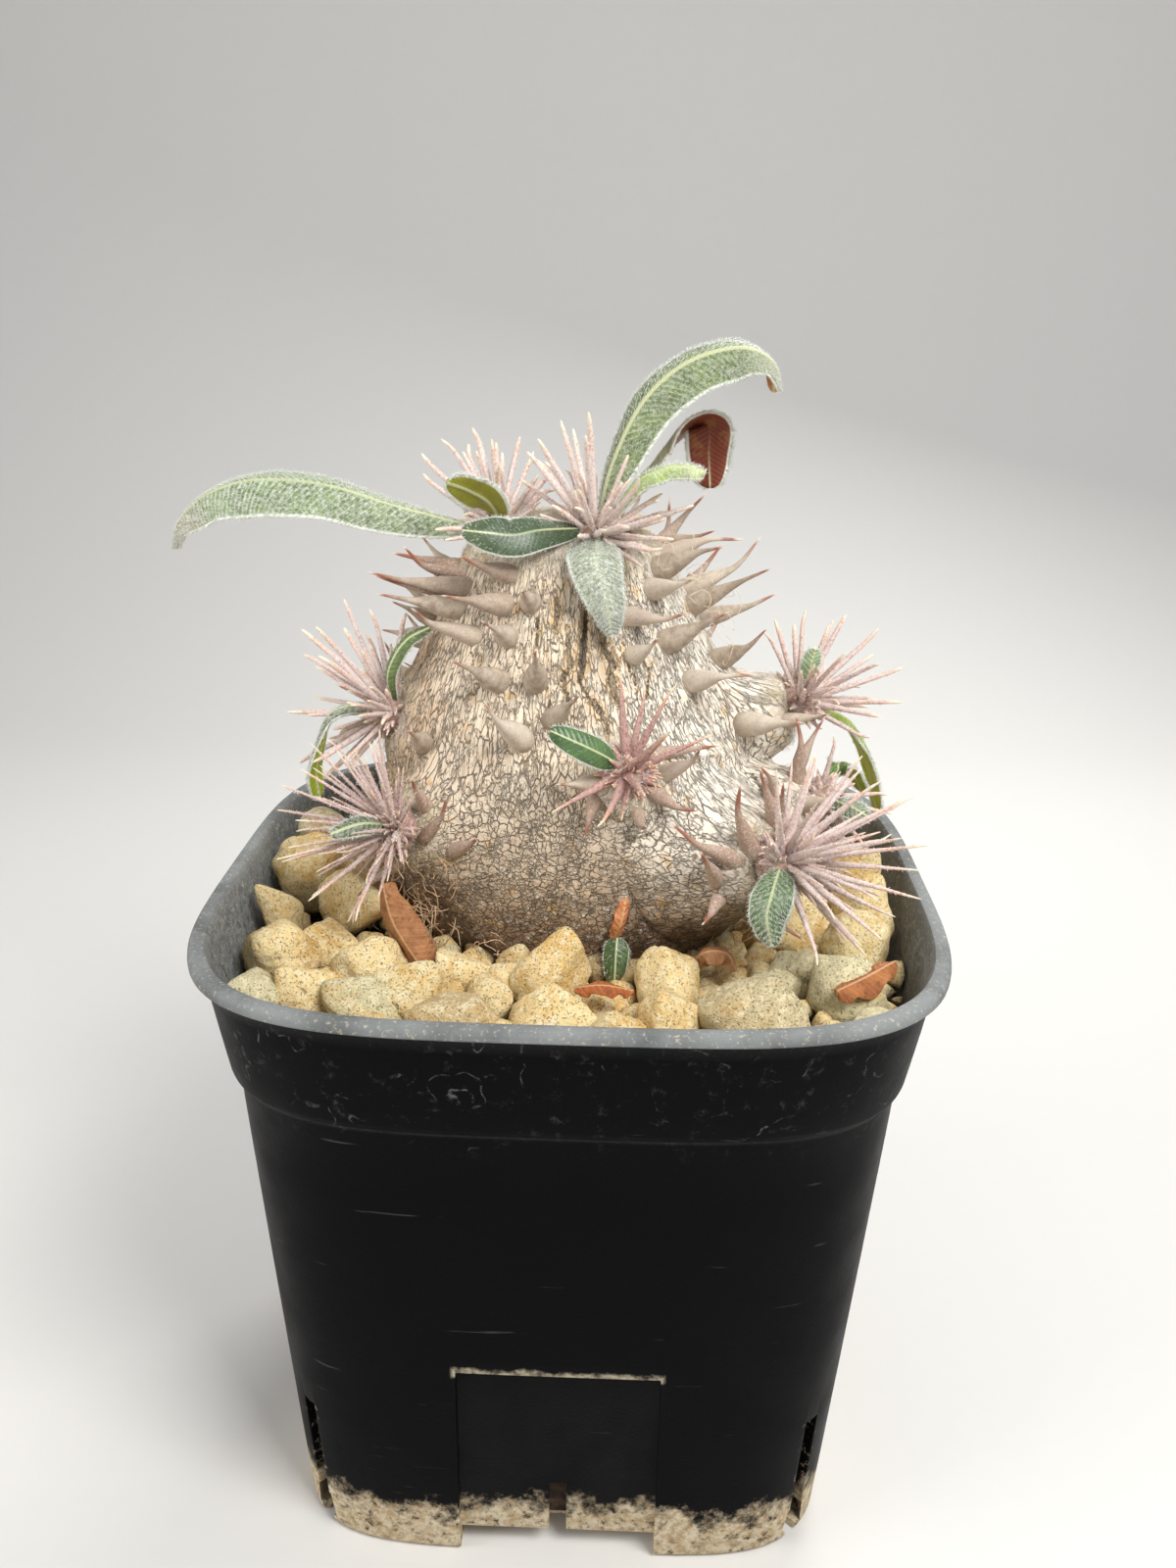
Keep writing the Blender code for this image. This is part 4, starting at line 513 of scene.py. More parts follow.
def hashed(cells, seed):
    """A number from 0 to 1 for each cell: its whole-number place mixed with the seed by large odd factors."""
    x, y, z = (cells[..., axis].astype(np.int64) for axis in range(3))
    mixed = (x * 73856093) ^ (y * 19349663) ^ (z * 83492791) ^ (seed * 2654435761)
    mixed = ((mixed ^ (mixed >> 15)) * 2246822519) & 0xFFFFFFFF
    mixed = ((mixed ^ (mixed >> 13)) * 3266489917) & 0xFFFFFFFF
    return (mixed ^ (mixed >> 16)) / 4294967296.0


def value_noise(points, size, seed):
    """Smooth noise from 0 to 1: hashed values at the corners of cubes of that size, blended by 3tt - 2ttt."""
    place = np.asarray(points) / size
    low = np.floor(place)
    t = place - low
    t = t * t * (3 - 2 * t)
    total = 0.0
    for corner in np.ndindex(2, 2, 2):
        weight = np.prod(np.where(np.array(corner) == 1, t, 1 - t), axis=-1)
        total = total + weight * hashed(low + corner, seed)
    return total


def fractal(points, size, seed, octaves=3):
    """Noise about 0, the sum of octaves that halve in size and strength."""
    layers = (value_noise(points, size / 2**octave, seed + octave) for octave in range(octaves))
    return sum((2 * layer - 1) * 0.5**octave for octave, layer in enumerate(layers))


def cell_noise(points, size, seed):
    """Distances to the nearest and next of seeded points, one in each cube, as shares of the size."""
    place = np.asarray(points) / size
    low = np.floor(place)
    nearest = np.full(place.shape[:-1], 9.0)
    second = nearest.copy()
    for step in np.ndindex(3, 3, 3):
        cell = low + np.array(step) - 1
        seeds = np.stack([hashed(cell, seed + axis * 17) for axis in range(3)], axis=-1)
        apart = np.linalg.norm(cell + seeds - place, axis=-1)
        second = np.minimum(second, np.maximum(nearest, apart))
        nearest = np.minimum(nearest, apart)
    return nearest, second


def eased(value, low, high):
    """0 below low and 1 above high, with the smooth step 3tt - 2ttt between; low may be the larger."""
    t = np.clip((value - low) / (high - low), 0.0, 1.0)
    return t * t * (3 - 2 * t)


def smooth_path(points, count):
    """Evenly stepped points on a Catmull-Rom curve through the given ones."""
    known = np.array(points, float)
    known = np.vstack([2 * known[0] - known[1], known, 2 * known[-1] - known[-2]])
    spans = len(points) - 1
    place = np.linspace(0, spans, count)
    index = np.minimum(place.astype(int), spans - 1)
    t = (place - index)[:, None]
    a, b, c, d = (known[index + k] for k in range(4))
    return 0.5 * (2 * b + (c - a) * t + (2 * a - 5 * b + 4 * c - d) * t**2 + (3 * b - a - 3 * c + d) * t**3)


def turned_to(way):
    """Two unit vectors square to a way, or to each of many: the first leans least along it."""
    way = unit(np.asarray(way, float))
    reference = np.eye(3)[np.argmin(np.abs(way), axis=-1)]
    first = unit(reference - way * np.sum(reference * way, axis=-1, keepdims=True))
    return first, np.cross(way, first)


def beside(ways, rng):
    """For each way, a unit vector square to it at a random turn."""
    first, second = turned_to(ways)
    turn = rng.uniform(0, 2 * np.pi, len(ways))[:, None]
    return np.cos(turn) * first + np.sin(turn) * second


def round_reach(x, y, power):
    """The half width of the rounded square |x/h|^p + |y/h|^p = 1 on which a place lies."""
    return (np.abs(x) ** power + np.abs(y) ** power) ** (1 / power)


def from_trunk(x, y):
    """How far a place lies from the trunk's foot, seen from above."""
    return np.hypot(x - TRUNK_FOOT_X, y - TRUNK_Y)


# Closed surfaces

def tube_faces(rows, columns):
    """Faces of a tube: quads between its rings, and a fan from each end ring to the pole that closes it."""
    ring = np.arange(columns)
    after = (ring + 1) % columns
    row = columns * np.arange(rows - 1)[:, None]
    quads = np.stack([row + ring, row + after, row + columns + after, row + columns + ring], axis=-1)
    start, end = rows * columns, rows * columns + 1
    last = (rows - 1) * columns
    low = np.stack([np.full(columns, start), after, ring], axis=-1)
    high = np.stack([np.full(columns, end), last + ring, last + after], axis=-1)
    return quads.reshape(-1, 4), np.concatenate([low, high])


def tube_points(paths, radii, columns):
    """Rings square to each path, radius by radius, then the path's two ends as poles: (copies, points, 3)."""
    tangent = unit(np.gradient(paths, axis=1))
    way = unit(paths[:, -1] - paths[:, 0])
    reference = np.eye(3)[np.argmin(np.abs(way), axis=-1)][:, None, :]
    across = unit(reference - tangent * np.sum(reference * tangent, axis=-1, keepdims=True))
    other = np.cross(tangent, across)
    turn = 2 * np.pi * np.arange(columns) / columns
    ring = np.cos(turn)[:, None] * across[:, :, None, :] + np.sin(turn)[:, None] * other[:, :, None, :]
    around = paths[:, :, None, :] + radii[:, :, None, None] * ring
    return np.concatenate([around.reshape(len(paths), -1, 3), paths[:, :1], paths[:, -1:]], axis=1)


def grid_quads(corner, row):
    """Quads that start at these corners of a grid whose rows are so many points long."""
    return np.stack([corner, corner + row, corner + row + 1, corner + 1], axis=-1)


def ball_grid(steps):
    """A cube's six faces as grids, each point pushed out to the unit ball: ways, and quads facing out."""
    span = np.tan(np.linspace(-np.pi / 4, np.pi / 4, steps + 1))
    a, b = np.meshgrid(span, span, indexing="ij")
    one = np.ones_like(a)
    sides = [(one, a, b), (-one, b, a), (b, one, a), (a, -one, b), (a, b, one), (b, a, -one)]
    ways = unit(np.stack([np.stack(side, axis=-1).reshape(-1, 3) for side in sides]).reshape(-1, 3))
    quad = grid_quads((np.arange(steps)[:, None] * (steps + 1) + np.arange(steps)).reshape(-1), steps + 1)
    quads = np.concatenate([quad + side * (steps + 1) ** 2 for side in range(6)])
    _, keep, where = np.unique(np.round(ways, 6), axis=0, return_index=True, return_inverse=True)
    return ways[keep], where.reshape(-1)[quads]


class Pile:
    """Closed surfaces gathered into one mesh: points, faces and the marks that each point carries."""

    def __init__(self):
        self.points, self.quads, self.triangles, self.marks = [], [], [], {}
        self.size = 0

    def add(self, points, quads=None, triangles=None, **marks):
        """Adds copies (copies, points, 3) that share their faces.

        A mark is one value, one a copy or one a point, or one vector for all when its name ends in "colour".
        """
        copies, count = points.shape[:2]
        shift = self.size + count * np.arange(copies)[:, None, None]
        self.points.append(points.reshape(-1, 3))
        for kept, faces in ((self.quads, quads), (self.triangles, triangles)):
            if faces is not None:
                kept.append((faces[None] + shift).reshape(-1, faces.shape[1]))
        for name, value in marks.items():
            value = np.asarray(value, float)
            if name.endswith("colour"):
                spread = np.broadcast_to(value, (copies * count, 3))
            else:
                value = value[:, None] if value.ndim == 1 else value
                spread = np.broadcast_to(value, (copies, count)).reshape(-1)
            self.marks.setdefault(name, []).append(spread)
        self.size += copies * count

    def make(self, name, material=None):
        """The gathered surfaces as one smooth-shaded object, whose marks become attributes of its points."""
        quads, triangles = (
            np.concatenate(kept) if kept else np.zeros((0, corners), int)
            for kept, corners in ((self.quads, 4), (self.triangles, 3))
        )
        marks = {name: np.concatenate(values) for name, values in self.marks.items()}
        return make_object(name, np.concatenate(self.points), quads, triangles, marks, material)


def to_row(points):
    """Points in millimetres about the pot as the flat list of metres that a mesh takes."""
    return (points * MM + POT_AT).astype(np.float32).ravel()


def write_marks(mesh, marks):
    """Keeps marks as float or vector attributes of the points."""
    for name, values in marks.items():
        kind, field = ("FLOAT", "value") if values.ndim == 1 else ("FLOAT_VECTOR", "vector")
        mesh.attributes.new(name, kind, "POINT").data.foreach_set(field, values.astype(np.float32).ravel())


def make_object(name, points, quads, triangles, marks, material):
    """A smooth-shaded mesh object from arrays in millimetres about the pot."""
    mesh = bpy.data.meshes.new(name)
    sizes = np.concatenate([np.full(len(quads), 4), np.full(len(triangles), 3)])
    corners = np.concatenate([np.ravel(quads), np.ravel(triangles)]).astype(np.int32)
    mesh.vertices.add(len(points))
    mesh.loops.add(len(corners))
    mesh.polygons.add(len(sizes))
    mesh.vertices.foreach_set("co", to_row(points))
    mesh.loops.foreach_set("vertex_index", corners)
    mesh.polygons.foreach_set("loop_start", np.concatenate([[0], np.cumsum(sizes)[:-1]]).astype(np.int32))
    mesh.update(calc_edges=True)
    mesh.polygons.foreach_set("use_smooth", np.ones(len(sizes), bool))
    write_marks(mesh, marks)
    if material is not None:
        mesh.materials.append(material)
    obj = bpy.data.objects.new(name, mesh)
    bpy.context.scene.collection.objects.link(obj)
    return obj


def add_modifier(obj, kind, **settings):
    """Adds a modifier of that kind with these settings."""
    made = obj.modifiers.new(kind.lower(), kind)
    for name, value in settings.items():
        setattr(made, name, value)


def settle(obj):
    """Applies an object's modifiers."""
    bpy.context.view_layer.update()
    found = obj.evaluated_get(bpy.context.evaluated_depsgraph_get())
    mesh = bpy.data.meshes.new_from_object(found)
    obj.modifiers.clear()
    obj.data = mesh
    return obj


def read(items, field, width, kind):
    """A property of all of a mesh's items as an array of that many numbers each."""
    values = np.empty(len(items) * width, kind)
    items.foreach_get(field, values)
    return values.reshape(-1, width) if width > 1 else values


def mesh_arrays(obj):
    """An object's points in millimetres about the pot, their normals, and its quads and triangles."""
    mesh = obj.data
    points = (read(mesh.vertices, "co", 3, np.float32).astype(float) - POT_AT) / MM
    normals = read(mesh.vertices, "normal", 3, np.float32).astype(float)
    corners = read(mesh.loops, "vertex_index", 1, np.int32)
    starts, totals = (read(mesh.polygons, field, 1, np.int32) for field in ("loop_start", "loop_total"))
    quads, triangles = (corners[starts[totals == sides][:, None] + np.arange(sides)] for sides in (4, 3))
    return points, normals, quads, triangles


def keep_piece(obj, slot, *nodes):
    """Puts a finished piece on the body, where it rides, and hides the CAD nodes that it stands for; the slot
    is not used.
    """
    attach(obj, BODY)
    if nodes:
        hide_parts(*nodes)

# Shader nodes

class Field:
    """One output of a node, which is a value, a colour or a vector over the surface; sums on it add nodes."""

    def __init__(self, tree, socket):
        self.tree, self.socket = tree, socket

    def math(self, operation, *others):
        """One math node on this and the others."""
        return add_node(self.tree, "ShaderNodeMath", (self, *others), operation=operation)[0]

    def __add__(self, other):
        return self.math("ADD", other)

    def __sub__(self, other):
        return self.math("SUBTRACT", other)

    def __mul__(self, other):
        return self.math("MULTIPLY", other)

    def __abs__(self):
        return self.math("ABSOLUTE")

    def most(self, *others):
        """The largest of this and the others."""
        largest = self
        for other in others:
            largest = largest.math("MAXIMUM", other)
        return largest

    def ease(self, low, high, to_low=0.0, to_high=1.0):
        """The value spread from one range to another by a smooth step; low may be the larger."""
        inputs = (self, low, high, to_low, to_high)
        return add_node(self.tree, "ShaderNodeMapRange", inputs, interpolation_type="SMOOTHSTEP")[0]


def add_node(tree, kind, inputs=(), **settings):
    """One node: its settings, then its inputs by place or name; its outputs come back by place and name."""
    made = tree.nodes.new(kind)
    for name, value in settings.items():
        setattr(made, name, value)
    for place, value in inputs.items() if isinstance(inputs, dict) else enumerate(inputs):
        socket = made.inputs[place]
        if isinstance(value, Field):
            tree.links.new(value.socket, socket)
        else:
            socket.default_value = (*value[:3], 1.0) if socket.type == "RGBA" else value
    outputs = [Field(tree, socket) for socket in made.outputs]
    return {**dict(enumerate(outputs)), **{output.socket.name: output for output in outputs}}


def texture(tree, kind, place, scale, **inputs):
    """The outputs of a noise or Voronoi texture."""
    return add_node(tree, "ShaderNodeTex" + kind, {"Vector": place, "Scale": scale, **inputs})


class Finish:
    """A material in the making: its nodes, and the place on the surface in millimetres."""

    def __init__(self, name):
        self.material = bpy.data.materials.new(name)
        self.material.use_nodes = True
        self.tree = self.material.node_tree
        self.tree.nodes.clear()
        self.place = self.millimetres()

    def millimetres(self, stretch=(1.0, 1.0, 1.0)):
        """Object coordinates in millimetres, each axis squeezed by its stretch."""
        place = add_node(self.tree, "ShaderNodeTexCoord")["Object"]
        scale = tuple(1 / MM / along for along in stretch)
        return add_node(self.tree, "ShaderNodeMapping", {"Vector": place, "Scale": scale})[0]

    def axes(self, origin=(0.0, 0.0, 0.0)):
        """The three coordinates of the place from an origin."""
        inputs = (self.place, tuple(origin))
        apart = add_node(self.tree, "ShaderNodeVectorMath", inputs, operation="SUBTRACT")[0]
        made = add_node(self.tree, "ShaderNodeSeparateXYZ", (apart,))
        return made[0], made[1], made[2]

    def mark(self, name, kind="Fac"):
        """A mark of the piece, as a value, or as a colour or a vector by the name of that output."""
        return add_node(self.tree, "ShaderNodeAttribute", attribute_name=name)[kind]

    def noise(self, size, detail=2.0, roughness=0.5, place=None):
        """Noise whose features are about that many millimetres across."""
        place = place or self.place
        return texture(self.tree, "Noise", place, 1 / size, Detail=detail, Roughness=roughness)[0]

    def effect(self, name, **inputs):
        """A shared effect with its own values."""
        inputs = {"Place": self.place, **inputs}
        return add_node(self.tree, "ShaderNodeGroup", inputs, node_tree=bpy.data.node_groups[name])[0]

    def patches(self, size, detail, roughness, low, high, place=None):
        """A share from 0 to 1 in patches of noise, by the effect that every finish uses."""
        values = {"Size": size, "Detail": detail, "Roughness": roughness, "Low": low, "High": high}
        return self.effect("Patches", Place=place or self.place, **values)

    def paint(self, colour, *layers):
        """A colour with others laid over it in turn, each by its share."""
        for share, layer in layers:
            inputs = {0: share, 6: colour, 7: layer}
            colour = add_node(self.tree, "ShaderNodeMix", inputs, data_type="RGBA")[2]
        return colour

    def relief(self, height, distance, strength, **under):
        """A bump whose full height is that many millimetres, perhaps over the Normal of another."""
        inputs = {"Height": height, "Distance": distance * MM, "Strength": strength, **under}
        return add_node(self.tree, "ShaderNodeBump", inputs)[0]

    def done(self, colour, roughness, specular=0.5, **normal):
        """The material, whose Principled shader is fed with these."""
        inputs = {"Base Color": colour, "Roughness": roughness, "Specular IOR Level": specular, **normal}
        shader = add_node(self.tree, "ShaderNodeBsdfPrincipled", inputs)[0]
        add_node(self.tree, "ShaderNodeOutputMaterial", (shader,))
        return self.material


def linear(red, green, blue):
    """A colour read off as 0 to 255 values, as the linear values that Blender holds."""
    shares = [value / 255 for value in (red, green, blue)]
    return tuple(s / 12.92 if s <= 0.04045 else ((s + 0.055) / 1.055) ** 2.4 for s in shares)


# Effects that the finishes share

def start_group(name, output, *inputs):
    """A node group that reads a Place and some values: its tree and its inputs by name."""
    group = bpy.data.node_groups.new(name, "ShaderNodeTree")
    group.interface.new_socket("Place", in_out="INPUT", socket_type="NodeSocketVector")
    for socket in inputs:
        group.interface.new_socket(socket, in_out="INPUT", socket_type="NodeSocketFloat")
    group.interface.new_socket(output, in_out="OUTPUT", socket_type="NodeSocketFloat")
    return group, add_node(group, "NodeGroupInput")


def build_patches():
    """Noise eased between two of its values: a share from 0 to 1."""
    group, given = start_group("Patches", "Share", "Size", "Detail", "Roughness", "Low", "High")
    scale = add_node(group, "ShaderNodeMath", (1.0, given["Size"]), operation="DIVIDE")[0]
    inputs = {name: given[name] for name in ("Detail", "Roughness")}
    noise = texture(group, "Noise", given["Place"], scale, **inputs)[0]
    add_node(group, "NodeGroupOutput", (noise.ease(given["Low"], given["High"]),))


def build_cracks():
    """A net of lines between cells, on a place that noise has pushed about: 1 in a line and 0 off it."""
    group, given = start_group("Crack lines", "Line", "Size", "Width", "Wander")
    scale = add_node(group, "ShaderNodeMath", (1.0, given["Size"]), operation="DIVIDE")[0]
    push = texture(group, "Noise", given["Place"], scale, Detail=3.0)[1]
    centred = add_node(group, "ShaderNodeVectorMath", (push, (0.5, 0.5, 0.5)), operation="SUBTRACT")[0]
    pushed = add_node(group, "ShaderNodeVectorMath", {0: centred, 3: given["Wander"]}, operation="SCALE")[0]
    place = add_node(group, "ShaderNodeVectorMath", (given["Place"], pushed), operation="ADD")[0]
    inputs = {"Vector": place, "Scale": scale}
    edges = add_node(group, "ShaderNodeTexVoronoi", inputs, feature="DISTANCE_TO_EDGE")["Distance"]
    line = (edges * given["Size"]).ease(given["Width"], 0.0)
    add_node(group, "NodeGroupOutput", (line,))


def build_speckle():
    """Scattered round specks, 1 at their middles, in the cells whose own number is under the share."""
    group, given = start_group("Speckle", "Speck", "Size", "Share", "Radius")
    scale = add_node(group, "ShaderNodeMath", (1.0, given["Size"]), operation="DIVIDE")[0]
    dots = texture(group, "Voronoi", given["Place"], scale)
    chance = add_node(group, "ShaderNodeSeparateColor", (dots["Color"],))[0]
    speck = dots["Distance"].ease(given["Radius"], 0.0) * chance.math("LESS_THAN", given["Share"])
    add_node(group, "NodeGroupOutput", (speck,))

# What a user would change

def colour_setting(name, of, red, green, blue):
    """A colour that the user can change, given as 0 to 255 values."""
    values = {"description": "Colour of " + of, "default": linear(red, green, blue)}
    return FloatVectorProperty(name=name, subtype="COLOR", min=0.0, max=1.0, **values)


class PotLook(bpy.types.PropertyGroup):
    plastic: colour_setting("Plastic", "the moulded pot", 7, 7, 9)
    scuffed: colour_setting("Scuffed plastic", "its worn rim and inside", 134, 138, 138)
    mineral: colour_setting("Mineral crust", "the water marks and of the crust", 206, 194, 168)
    earth: colour_setting("Earth", "the browner crust", 170, 146, 112)


class BarkLook(bpy.types.PropertyGroup):
    # pale is painted light on the lit right side of the bark; warm is painted shade on its left, and also the
    # colour of its patches and of the fibres.
    pale: colour_setting("Pale bark", "the bark on the right", 246, 240, 226)
    middle: colour_setting("Middle bark", "the bark in the middle", 236, 220, 196)
    warm: colour_setting("Warm bark", "the bark on the left and of its patches", 234, 200, 164)
    low: colour_setting("Lower bark", "the bark below the middle", 174, 146, 112)
    foot: colour_setting("Foot", "the bark at the stones", 104, 74, 42)
    chalk: colour_setting("Chalky streaks", "the pale streaks along the bark", 240, 232, 214)
    stain: colour_setting("Stain", "the tan flakes and patches", 218, 170, 88)
    dark: colour_setting("Cracks", "Colour inside the cracks", 54, 42, 32)
    grey: colour_setting("Fissure bed", "the grey bed of the deep fissures", 178, 156, 124)
    black: colour_setting("Black fissure", "the blackest fissure", 34, 30, 28)
    felt: colour_setting("Felt", "the young felted skin near the tips", 218, 208, 192)
    moss: colour_setting("Green felt", "the greener felt", 188, 178, 146)


class ThornLook(bpy.types.PropertyGroup):
    body: colour_setting("Thorn", "a thorn's swollen foot", 192, 178, 160)
    # shade colours a thorn's darker patches, and is also painted as shade at its foot, where it meets the
    # bark.
    shade: colour_setting("Darker thorn", "its shaded patches", 162, 146, 128)
    mauve: colour_setting("Slender thorn", "a slender thorn's foot", 164, 134, 118)
    light: colour_setting("Paler thorn", "the palest thorns and of the very points", 244, 234, 216)
    point: colour_setting("Thorn point", "its thin end", 158, 98, 78)
    mark: colour_setting("Thorn lines", "the fine lines down it", 112, 90, 70)
    sides: IntProperty(name="Sides", description="Faces round a thorn", default=14, min=6, max=32)


class NeedleLook(bpy.types.PropertyGroup):
    felt: colour_setting("Felted core", "the felted middle of a tip", 178, 160, 140)
    stem: colour_setting("Needle", "a woolly young needle", 208, 180, 174)
    red: colour_setting("Red needle", "a reddish needle", 154, 88, 72)
    shade: colour_setting("Dark spots", "the darker spots on a needle", 158, 114, 106)
    orange: colour_setting("Upper needle", "a needle's upper third", 214, 150, 108)
    point: colour_setting("Needle point", "its tip", 232, 214, 176)
    wool: colour_setting("Wool", "the pale hairs", 238, 232, 226)
    hairs: IntProperty(name="Hairs", description="Hairs on each long needle", default=90, min=0, max=300)


class LeafLook(bpy.types.PropertyGroup):
    midrib: colour_setting("Midrib", "the pale line down a leaf", 194, 198, 156)
    hair: colour_setting("Leaf hair", "the hairs on a leaf", 226, 230, 220)
    deep: colour_setting("Leaf shade", "the darker patches of a leaf", 44, 62, 30)
    hairs: FloatProperty(
        name="Hair density", description="Hairs on a square millimetre of a hairy leaf", default=14.0, min=0.0
    )


class StoneLook(bpy.types.PropertyGroup):
    cream: colour_setting("Pumice", "Main colour of the stones", 240, 216, 160)
    ochre: colour_setting("Stain", "their rusty stains", 214, 172, 96)
    grey: colour_setting("Brown stone", "the browner stones", 176, 150, 112)
    green: colour_setting("Green stone", "the greener stones", 200, 198, 164)
    pale: colour_setting("Fresh pumice", "the palest patches of the stones", 246, 234, 196)
    pore: colour_setting("Pores", "Colour inside the pores", 108, 82, 54)
    # soil also colours the bed, which is both potting mix and painted shade in the gaps between the stones.
    soil: colour_setting("Potting mix", "the soil", 46, 34, 26)


class StageLook(bpy.types.PropertyGroup):
    floor: colour_setting("Floor", "the floor and the wall behind", 214, 213, 210)
    key: FloatProperty(name="Key light", description="Watts of the light from the upper right", default=2.3)
    fill: FloatProperty(name="Fill light", description="Watts of the warm light from the left", default=0.95)
    sky: FloatProperty(name="Sky", description="Strength of the even light all round", default=0.42)
    lens: FloatProperty(name="Lens", description="Millimetres of focal length on 36 mm", default=33.43)


# Pot

def squareness(z):
    """The power of the pot's rounded squares |x/h|^p + |y/h|^p = 1 at height z."""
    return BASE_SQUARENESS + (RIM_SQUARENESS - BASE_SQUARENESS) * np.clip(z / POT_HEIGHT, 0.0, 1.0)


def body_half(z):
    """Half width of the pot's tapered body below the rim band."""
    return BASE_HALF + (BODY_TOP_HALF - BASE_HALF) * z / BAND_LOW


def inner_half(z):
    """Half width of the pot's inside."""
    top, low = RIM_HALF - RIM_WIDTH, BAND_HALF - WALL
    above = low + (top - low) * (z - BAND_LOW) / (POT_HEIGHT - BAND_LOW)
    return np.where(z <= BAND_LOW, body_half(z) - WALL, above)


def one_surface(name, points, quads, triangles=None, material=None, **marks):
    """Copies of one closed surface as an object."""
    pile = Pile()
    pile.add(points, quads, triangles, **marks)
    return pile.make(name, material)


def pot_shell():
    """Rounded squares |x/h|^p + |y/h|^p = 1 stacked up the outside, over the rim and down the inside."""
    levels = np.array(POT_INSIDE)
    inside = np.stack([levels, inner_half(levels)], axis=-1)[::-1]
    z, half = np.vstack([np.array(POT_OUTSIDE), inside, [[FLOOR_TOP, 20.0]]]).T
    turn = 2 * np.pi * (np.arange(POT_COLUMNS) + 0.5) / POT_COLUMNS
    power = 2.0 / squareness(z)[:, None]
    x, y = (np.sign(part) * np.abs(part) ** power * half[:, None] for part in (np.cos(turn), np.sin(turn)))
    rings = np.stack([x, y, np.broadcast_to(z[:, None], x.shape)], axis=-1).reshape(-1, 3)
    poles = np.array([[0.0, 0.0, 0.0], [0.0, 0.0, FLOOR_TOP]])
    return one_surface("moulded_pot", np.vstack([rings, poles])[None], *tube_faces(len(z), POT_COLUMNS))


def box_points(low, high):
    """The corners of an upright box."""
    return np.array(low) + BOX_CORNERS * (np.array(high, float) - low)


def wall_points(half_width, outer, inner, low, high):
    """A block at the front wall whose two faces follow its slope, each at its inset from the outside."""
    z = np.where(BOX_CORNERS[:, 2] == 1, high, low)
    inset = np.where(BOX_CORNERS[:, 1] == 1, inner, outer)
    return np.stack([(2 * BOX_CORNERS[:, 0] - 1) * half_width, -(body_half(z) - inset), z], axis=-1)


def turned_round(points, turns):
    """Copies of the points turned about the pot's axis by each of the turns."""
    c, s = np.cos(turns)[:, None], np.sin(turns)[:, None]
    x, y, z = points.T
    return np.stack([c * x - s * y, s * x + c * y, np.broadcast_to(z, (len(turns), len(z)))], axis=-1)


def post(radius, x, y):
    """A round post through the floor."""
    path = np.array([[x, y, FLOOR_UNDER - 3.0], [x, y, FLOOR_TOP + 3.0]])
    return tube_points(path[None], np.full((1, 2), radius), POST_SIDES)


def shape_with(obj, others, operation):
    """One boolean of the object with a group of closed shapes."""
    group = bpy.data.collections.new(operation.lower())
    for other in others:
        group.objects.link(other)
    add_modifier(
        obj, "BOOLEAN", operation=operation, operand_type="COLLECTION", collection=group, solver="EXACT"
    )
    settle(obj)
    for other in others:
        bpy.data.objects.remove(other)
    bpy.data.collections.remove(group)


def make_pot(material):
    """The pot: shell and panel backs, then panels, feet, slots, slits and drain holes cut, edges rounded."""
    pot = pot_shell()
    quarter = np.arange(4) * math.pi / 2
    back = wall_points(PANEL_HALF + WALL, 0.5, PANEL_DEPTH + WALL, FLOOR_UNDER + 0.4, PANEL_TOP + WALL)
    backs = [one_surface("back", piece[None], BOX_FACES) for piece in turned_round(back, quarter)]
    shape_with(pot, backs, "UNION")
    pocket_in, pocket_out = PANEL_HALF + WALL, body_half(FOOT_FLOOR) - WALL - 2.2
    pocket = box_points((pocket_in, pocket_in, FOOT_FLOOR), (pocket_out, pocket_out, FLOOR_TOP + 1.0))
    panel = wall_points(PANEL_HALF, -FAR / 2, PANEL_DEPTH, -1.0, PANEL_TOP)
    slot_in = -(BASE_HALF - PANEL_DEPTH - 2 * WALL)
    slot = box_points((-PANEL_SLOT_HALF, -FAR, -1.0), (PANEL_SLOT_HALF, slot_in, PANEL_SLOT_TOP))
    corner = (BASE_HALF - 2 * WALL) * 2 ** (0.5 - 1 / BASE_SQUARENESS)
    slit = box_points((-CORNER_SLIT_HALF, -FAR, -1.0), (CORNER_SLIT_HALF, -corner, CORNER_SLIT_TOP))
    under = box_points((-PANEL_HALF, -FAR, -1.0), (PANEL_HALF, FAR, FLOOR_UNDER))
    blocks = [*turned_round(pocket, quarter), *turned_round(panel, quarter), *turned_round(slot, quarter)]
    blocks += [*turned_round(slit, quarter + math.pi / 4), *turned_round(under, quarter[:2])]
    cuts = [one_surface("cut", piece[None], BOX_FACES) for piece in blocks]
    holes = [(CENTRE_HOLE, 0.0, 0.0)]
    holes += [(SIDE_HOLE, SIDE_HOLE_AT * math.cos(turn), SIDE_HOLE_AT * math.sin(turn)) for turn in quarter]
    cuts += [one_surface("cut", post(*hole), *tube_faces(2, POST_SIDES)) for hole in holes]
    shape_with(pot, cuts, "DIFFERENCE")
    sharp = math.radians(40)
    add_modifier(pot, "BEVEL", width=POT_EDGE * MM, segments=2, limit_method="ANGLE", angle_limit=sharp)
    settle(pot)
    mesh = pot.data
    x, y, z = mesh_arrays(pot)[0].T
    past_inside = round_reach(x, y, squareness(z)) - inner_half(z)
    lip = eased(z, 77.8, 78.5) * eased(past_inside, -0.4, 0.2)
    write_marks(mesh, {"lip": lip, "inside": eased(past_inside, 0.45, 0.15) * eased(z, 60.0, 66.0)})
    mesh.polygons.foreach_set("use_smooth", np.ones(len(mesh.polygons), bool))
    mesh.set_sharp_from_angle(angle=math.radians(32))
    mesh.materials.clear()
    mesh.materials.append(material)
    return pot

# Trunk

